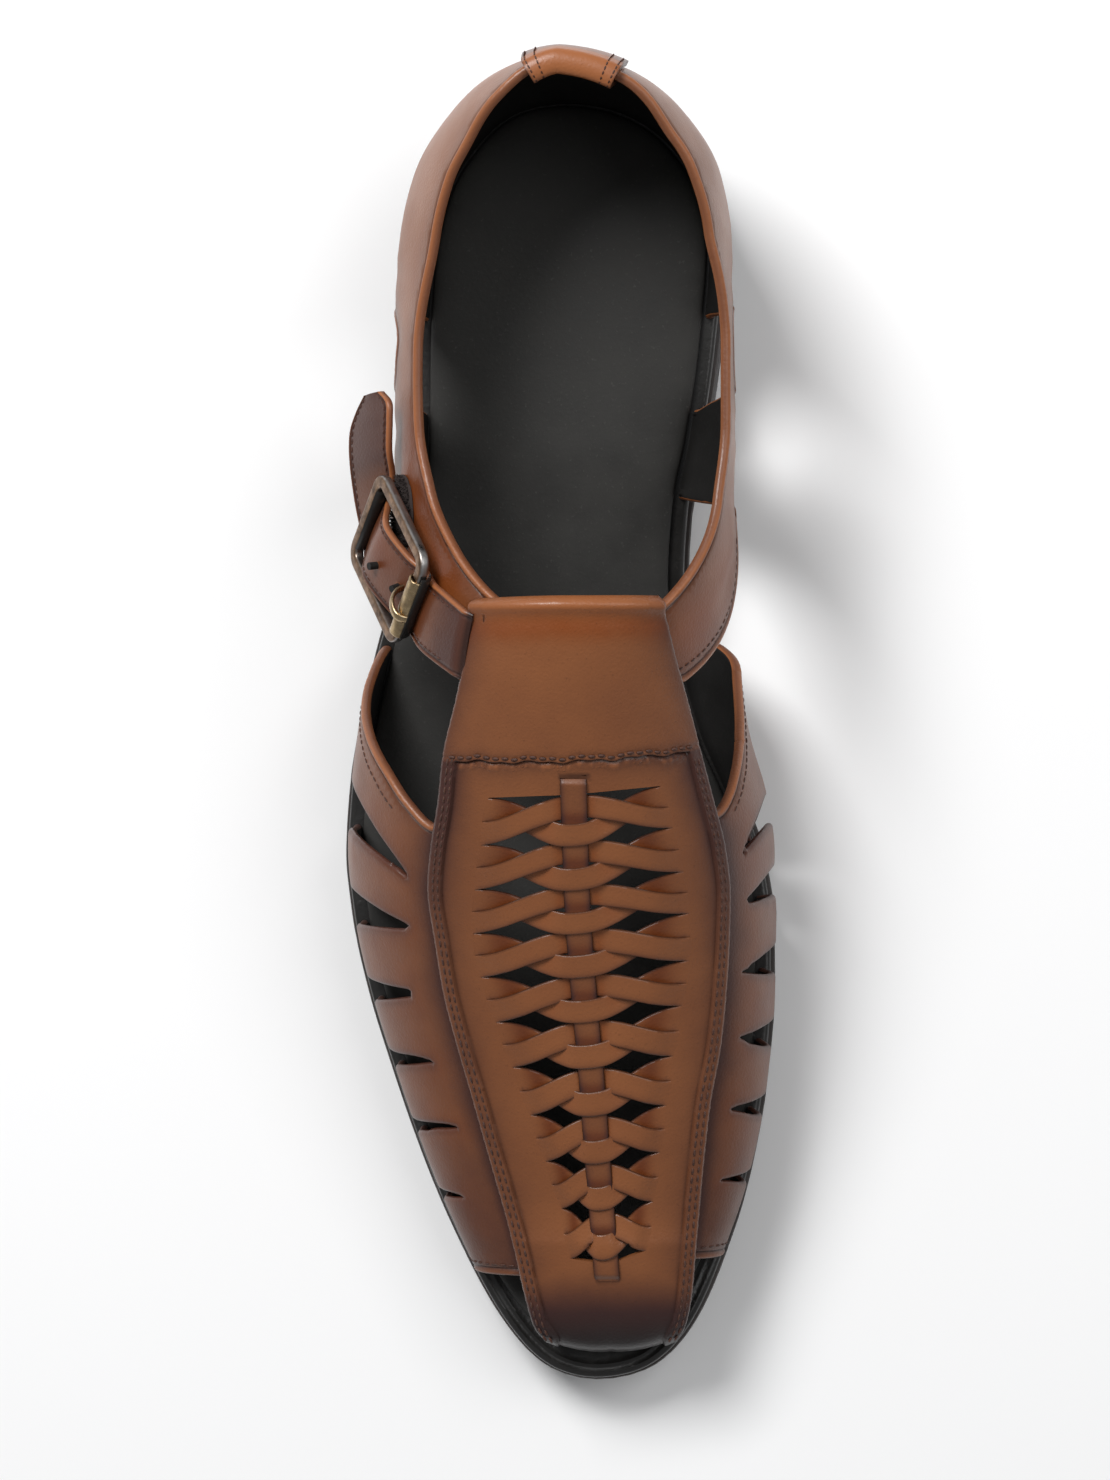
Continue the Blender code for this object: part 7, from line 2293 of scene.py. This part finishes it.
@dataclass
class HookPatch:
    """The fuzzy patch on the outer side band, under the strap's end."""

    steps: int = 16
    middle_height: float = 55.3
    half_height: float = 6.4
    bristles_per_m2: float = 3.6e6
    bristle_height: float = 1.5
    bristle_radius: float = 0.13

    def base(self) -> tuple[Array, Array]:
        """The patch's outer and inner sheets."""
        u, w = np.meshgrid(*[np.linspace(-1.0, 1.0, self.steps)] * 2, indexing="ij")
        round_off = np.sqrt(np.maximum(1.0 - 0.5 * (u * w) ** 2, 0.0))
        first, last = PATCH_STATIONS
        s = (first + last) / 2.0 + 0.8 + u * round_off * ((last - first) / 2.0 - 0.6)
        z = self.middle_height + w * round_off * self.half_height
        across = FORM.at_height(s.ravel(), LATERAL, z.ravel())
        return tuple(FORM.point(s.ravel(), across, lift) for lift in (GAP + PATCH_THICKNESS * 0.5, GAP * 0.6))

    def build(self) -> list[Object]:
        """Make the patch's backing and stand bristles on it."""
        outer, inner = self.base()
        n = self.steps
        grid = numbered(n, n)
        quads = quads_of(grid)
        ring = np.concatenate([grid[0, :-1], grid[:-1, -1], grid[-1, :0:-1], grid[:0:-1, 0]])
        wall = np.column_stack([ring, np.roll(ring, -1), np.roll(ring, -1) + n * n, ring + n * n])
        piece = make_piece("patch_backing", np.concatenate([outer, inner]),
                           [quads, quads[:, ::-1] + n * n, wall],
                           [FUZZ.material()])
        made = [settle(piece, "fuzzy_patch", "hook_patch")]
        mesh = bpy.data.meshes.new("bristle_guide")
        mesh.from_pydata(to_world(outer).tolist(), [], quads[:, ::-1].tolist())
        guide = place_object("bristle_guide", mesh)
        values = {"Density": self.bristles_per_m2, "Height": self.bristle_height * MM,
                  "Radius": self.bristle_radius * MM, "Seed": BRISTLE_SEED, "Material": FUZZ.material()}
        made.append(settle(bristle_maker().run(guide, "patch_bristles", values), "fuzzy_patch"))
        return made


# ---- studio --------------------------------------------------------------------------------------
@dataclass
class Studio:
    """A plain pale floor, soft lights and the camera over the shoe."""

    camera_place: tuple[float, float, float] = (0.0602, -0.0747, 1.0)
    target: tuple[float, float, float] = (-0.0035, -0.0835, 0.030)
    lens: float = 104.0

    def build(self) -> None:
        """Set the studio up."""
        self.floor()
        self.lights()
        self.camera()

    def floor(self) -> None:
        """A pale floor just under the soles."""
        mesh = bpy.data.meshes.new("studio_floor")
        size, low = 3.0, -0.0002
        mesh.from_pydata([(-size, -size, low), (size, -size, low), (size, size, low), (-size, size, low)], [],
                         [(0, 1, 2, 3)])
        floor = place_object("studio_floor", mesh)
        material = bpy.data.materials.new("studio_white")
        material.use_nodes = True
        sheet = NodeSheet(material.node_tree)
        shader = material.node_tree.nodes["Principled BSDF"]
        tone = sheet.layers((0.86, 0.86, 0.86, 1.0), (sheet.noise(Scale=3.0), (0.9, 0.9, 0.9, 1.0)))
        sheet.feed(shader, {"Base Color": tone, "Roughness": 0.8})
        mesh.materials.append(material)

    def lights(self) -> None:
        """Broad soft lights and a bright even surround."""
        world = bpy.data.worlds.new("studio_surround")
        world.use_nodes = True
        sheet = NodeSheet(world.node_tree)
        way = sheet.add("ShaderNodeTexCoord").outputs["Generated"]
        height = sheet.add("ShaderNodeSeparateXYZ", {0: way}).outputs[2]
        bright = sheet.ramp(height, 0.0, 0.85, 0.38, 0.24)
        sheet.feed(world.node_tree.nodes["Background"], {"Color": (0.97, 0.98, 1.0, 1.0), "Strength": bright})
        bpy.context.scene.world = world
        aim = Vector(self.target)
        for name, place, size, power in (("key_light", (-0.55, 0.75, 1.25), 0.6, 23.0),
                                         ("fill_light", (0.7, 0.3, 1.3), 0.9, 7.0)):
            light = bpy.data.lights.new(name, "AREA")
            light.shape = "SQUARE"
            light.size = size
            light.energy = power
            lamp = place_object(name, light)
            lamp.location = place
            lamp.rotation_euler = (aim - Vector(place)).to_track_quat("-Z", "Y").to_euler()

    def camera(self) -> None:
        """A long lens straight over the shoe, with the toe towards the foot of the picture."""
        lens = bpy.data.cameras.new("over_camera")
        lens.lens = self.lens
        lens.sensor_width = 36.0
        lens.clip_end = 20.0
        eye = place_object("over_camera", lens)
        forward = (Vector(self.target) - Vector(self.camera_place)).normalized()
        right = forward.cross(Vector((0.0, 1.0, 0.0))).normalized()
        up = right.cross(forward)
        turn = Matrix((right, up, -forward)).transposed()
        eye.matrix_world = Matrix.Translation(Vector(self.camera_place)) @ turn.to_4x4()
        bpy.context.scene.camera = eye


def main() -> None:
    """Dress the shoe, piece by piece."""
    logging.basicConfig(level=logging.INFO, format="%(name)s %(message)s")
    Studio().build()
    stitches = stitch_maker()
    for part in (Platform(), Footbed(), Outsole(), HeelBlock()):
        part.build()
    upper = UpperShell()
    upper.build()
    sew(stitches, "wing_stitches", upper.wing_front_rows() + upper.opening_rows(), "tan_leather")
    panel = VampPanel()
    panel.build()
    sew(stitches, "border_stitches", panel.border_rows(), "tan_leather", pitch=2.2, length=1.75, radius=0.31)
    sew(stitches, "seam_stitches", panel.seam_rows(), "tan_leather", pitch=2.15, length=1.65, radius=0.42)
    Weave().build()
    tab = BackTab()
    tab.build()
    sew(stitches, "tab_stitches", tab.rows_of_stitches(), "tan_leather", pitch=1.15, length=1.05, radius=0.2)
    strap = Strap()
    strap.build()
    sew(stitches, "strap_stitches", strap.rows_of_stitches(), "tan_leather", pitch=1.7,
        length=1.35, radius=0.22)
    buckle = Buckle()
    buckle.frame()
    buckle.roller()
    buckle.prong()
    buckle.keepers()
    HookPatch().build()
    bpy.context.scene.view_settings.view_transform = "Standard"


if __name__ == "__main__":
    main()
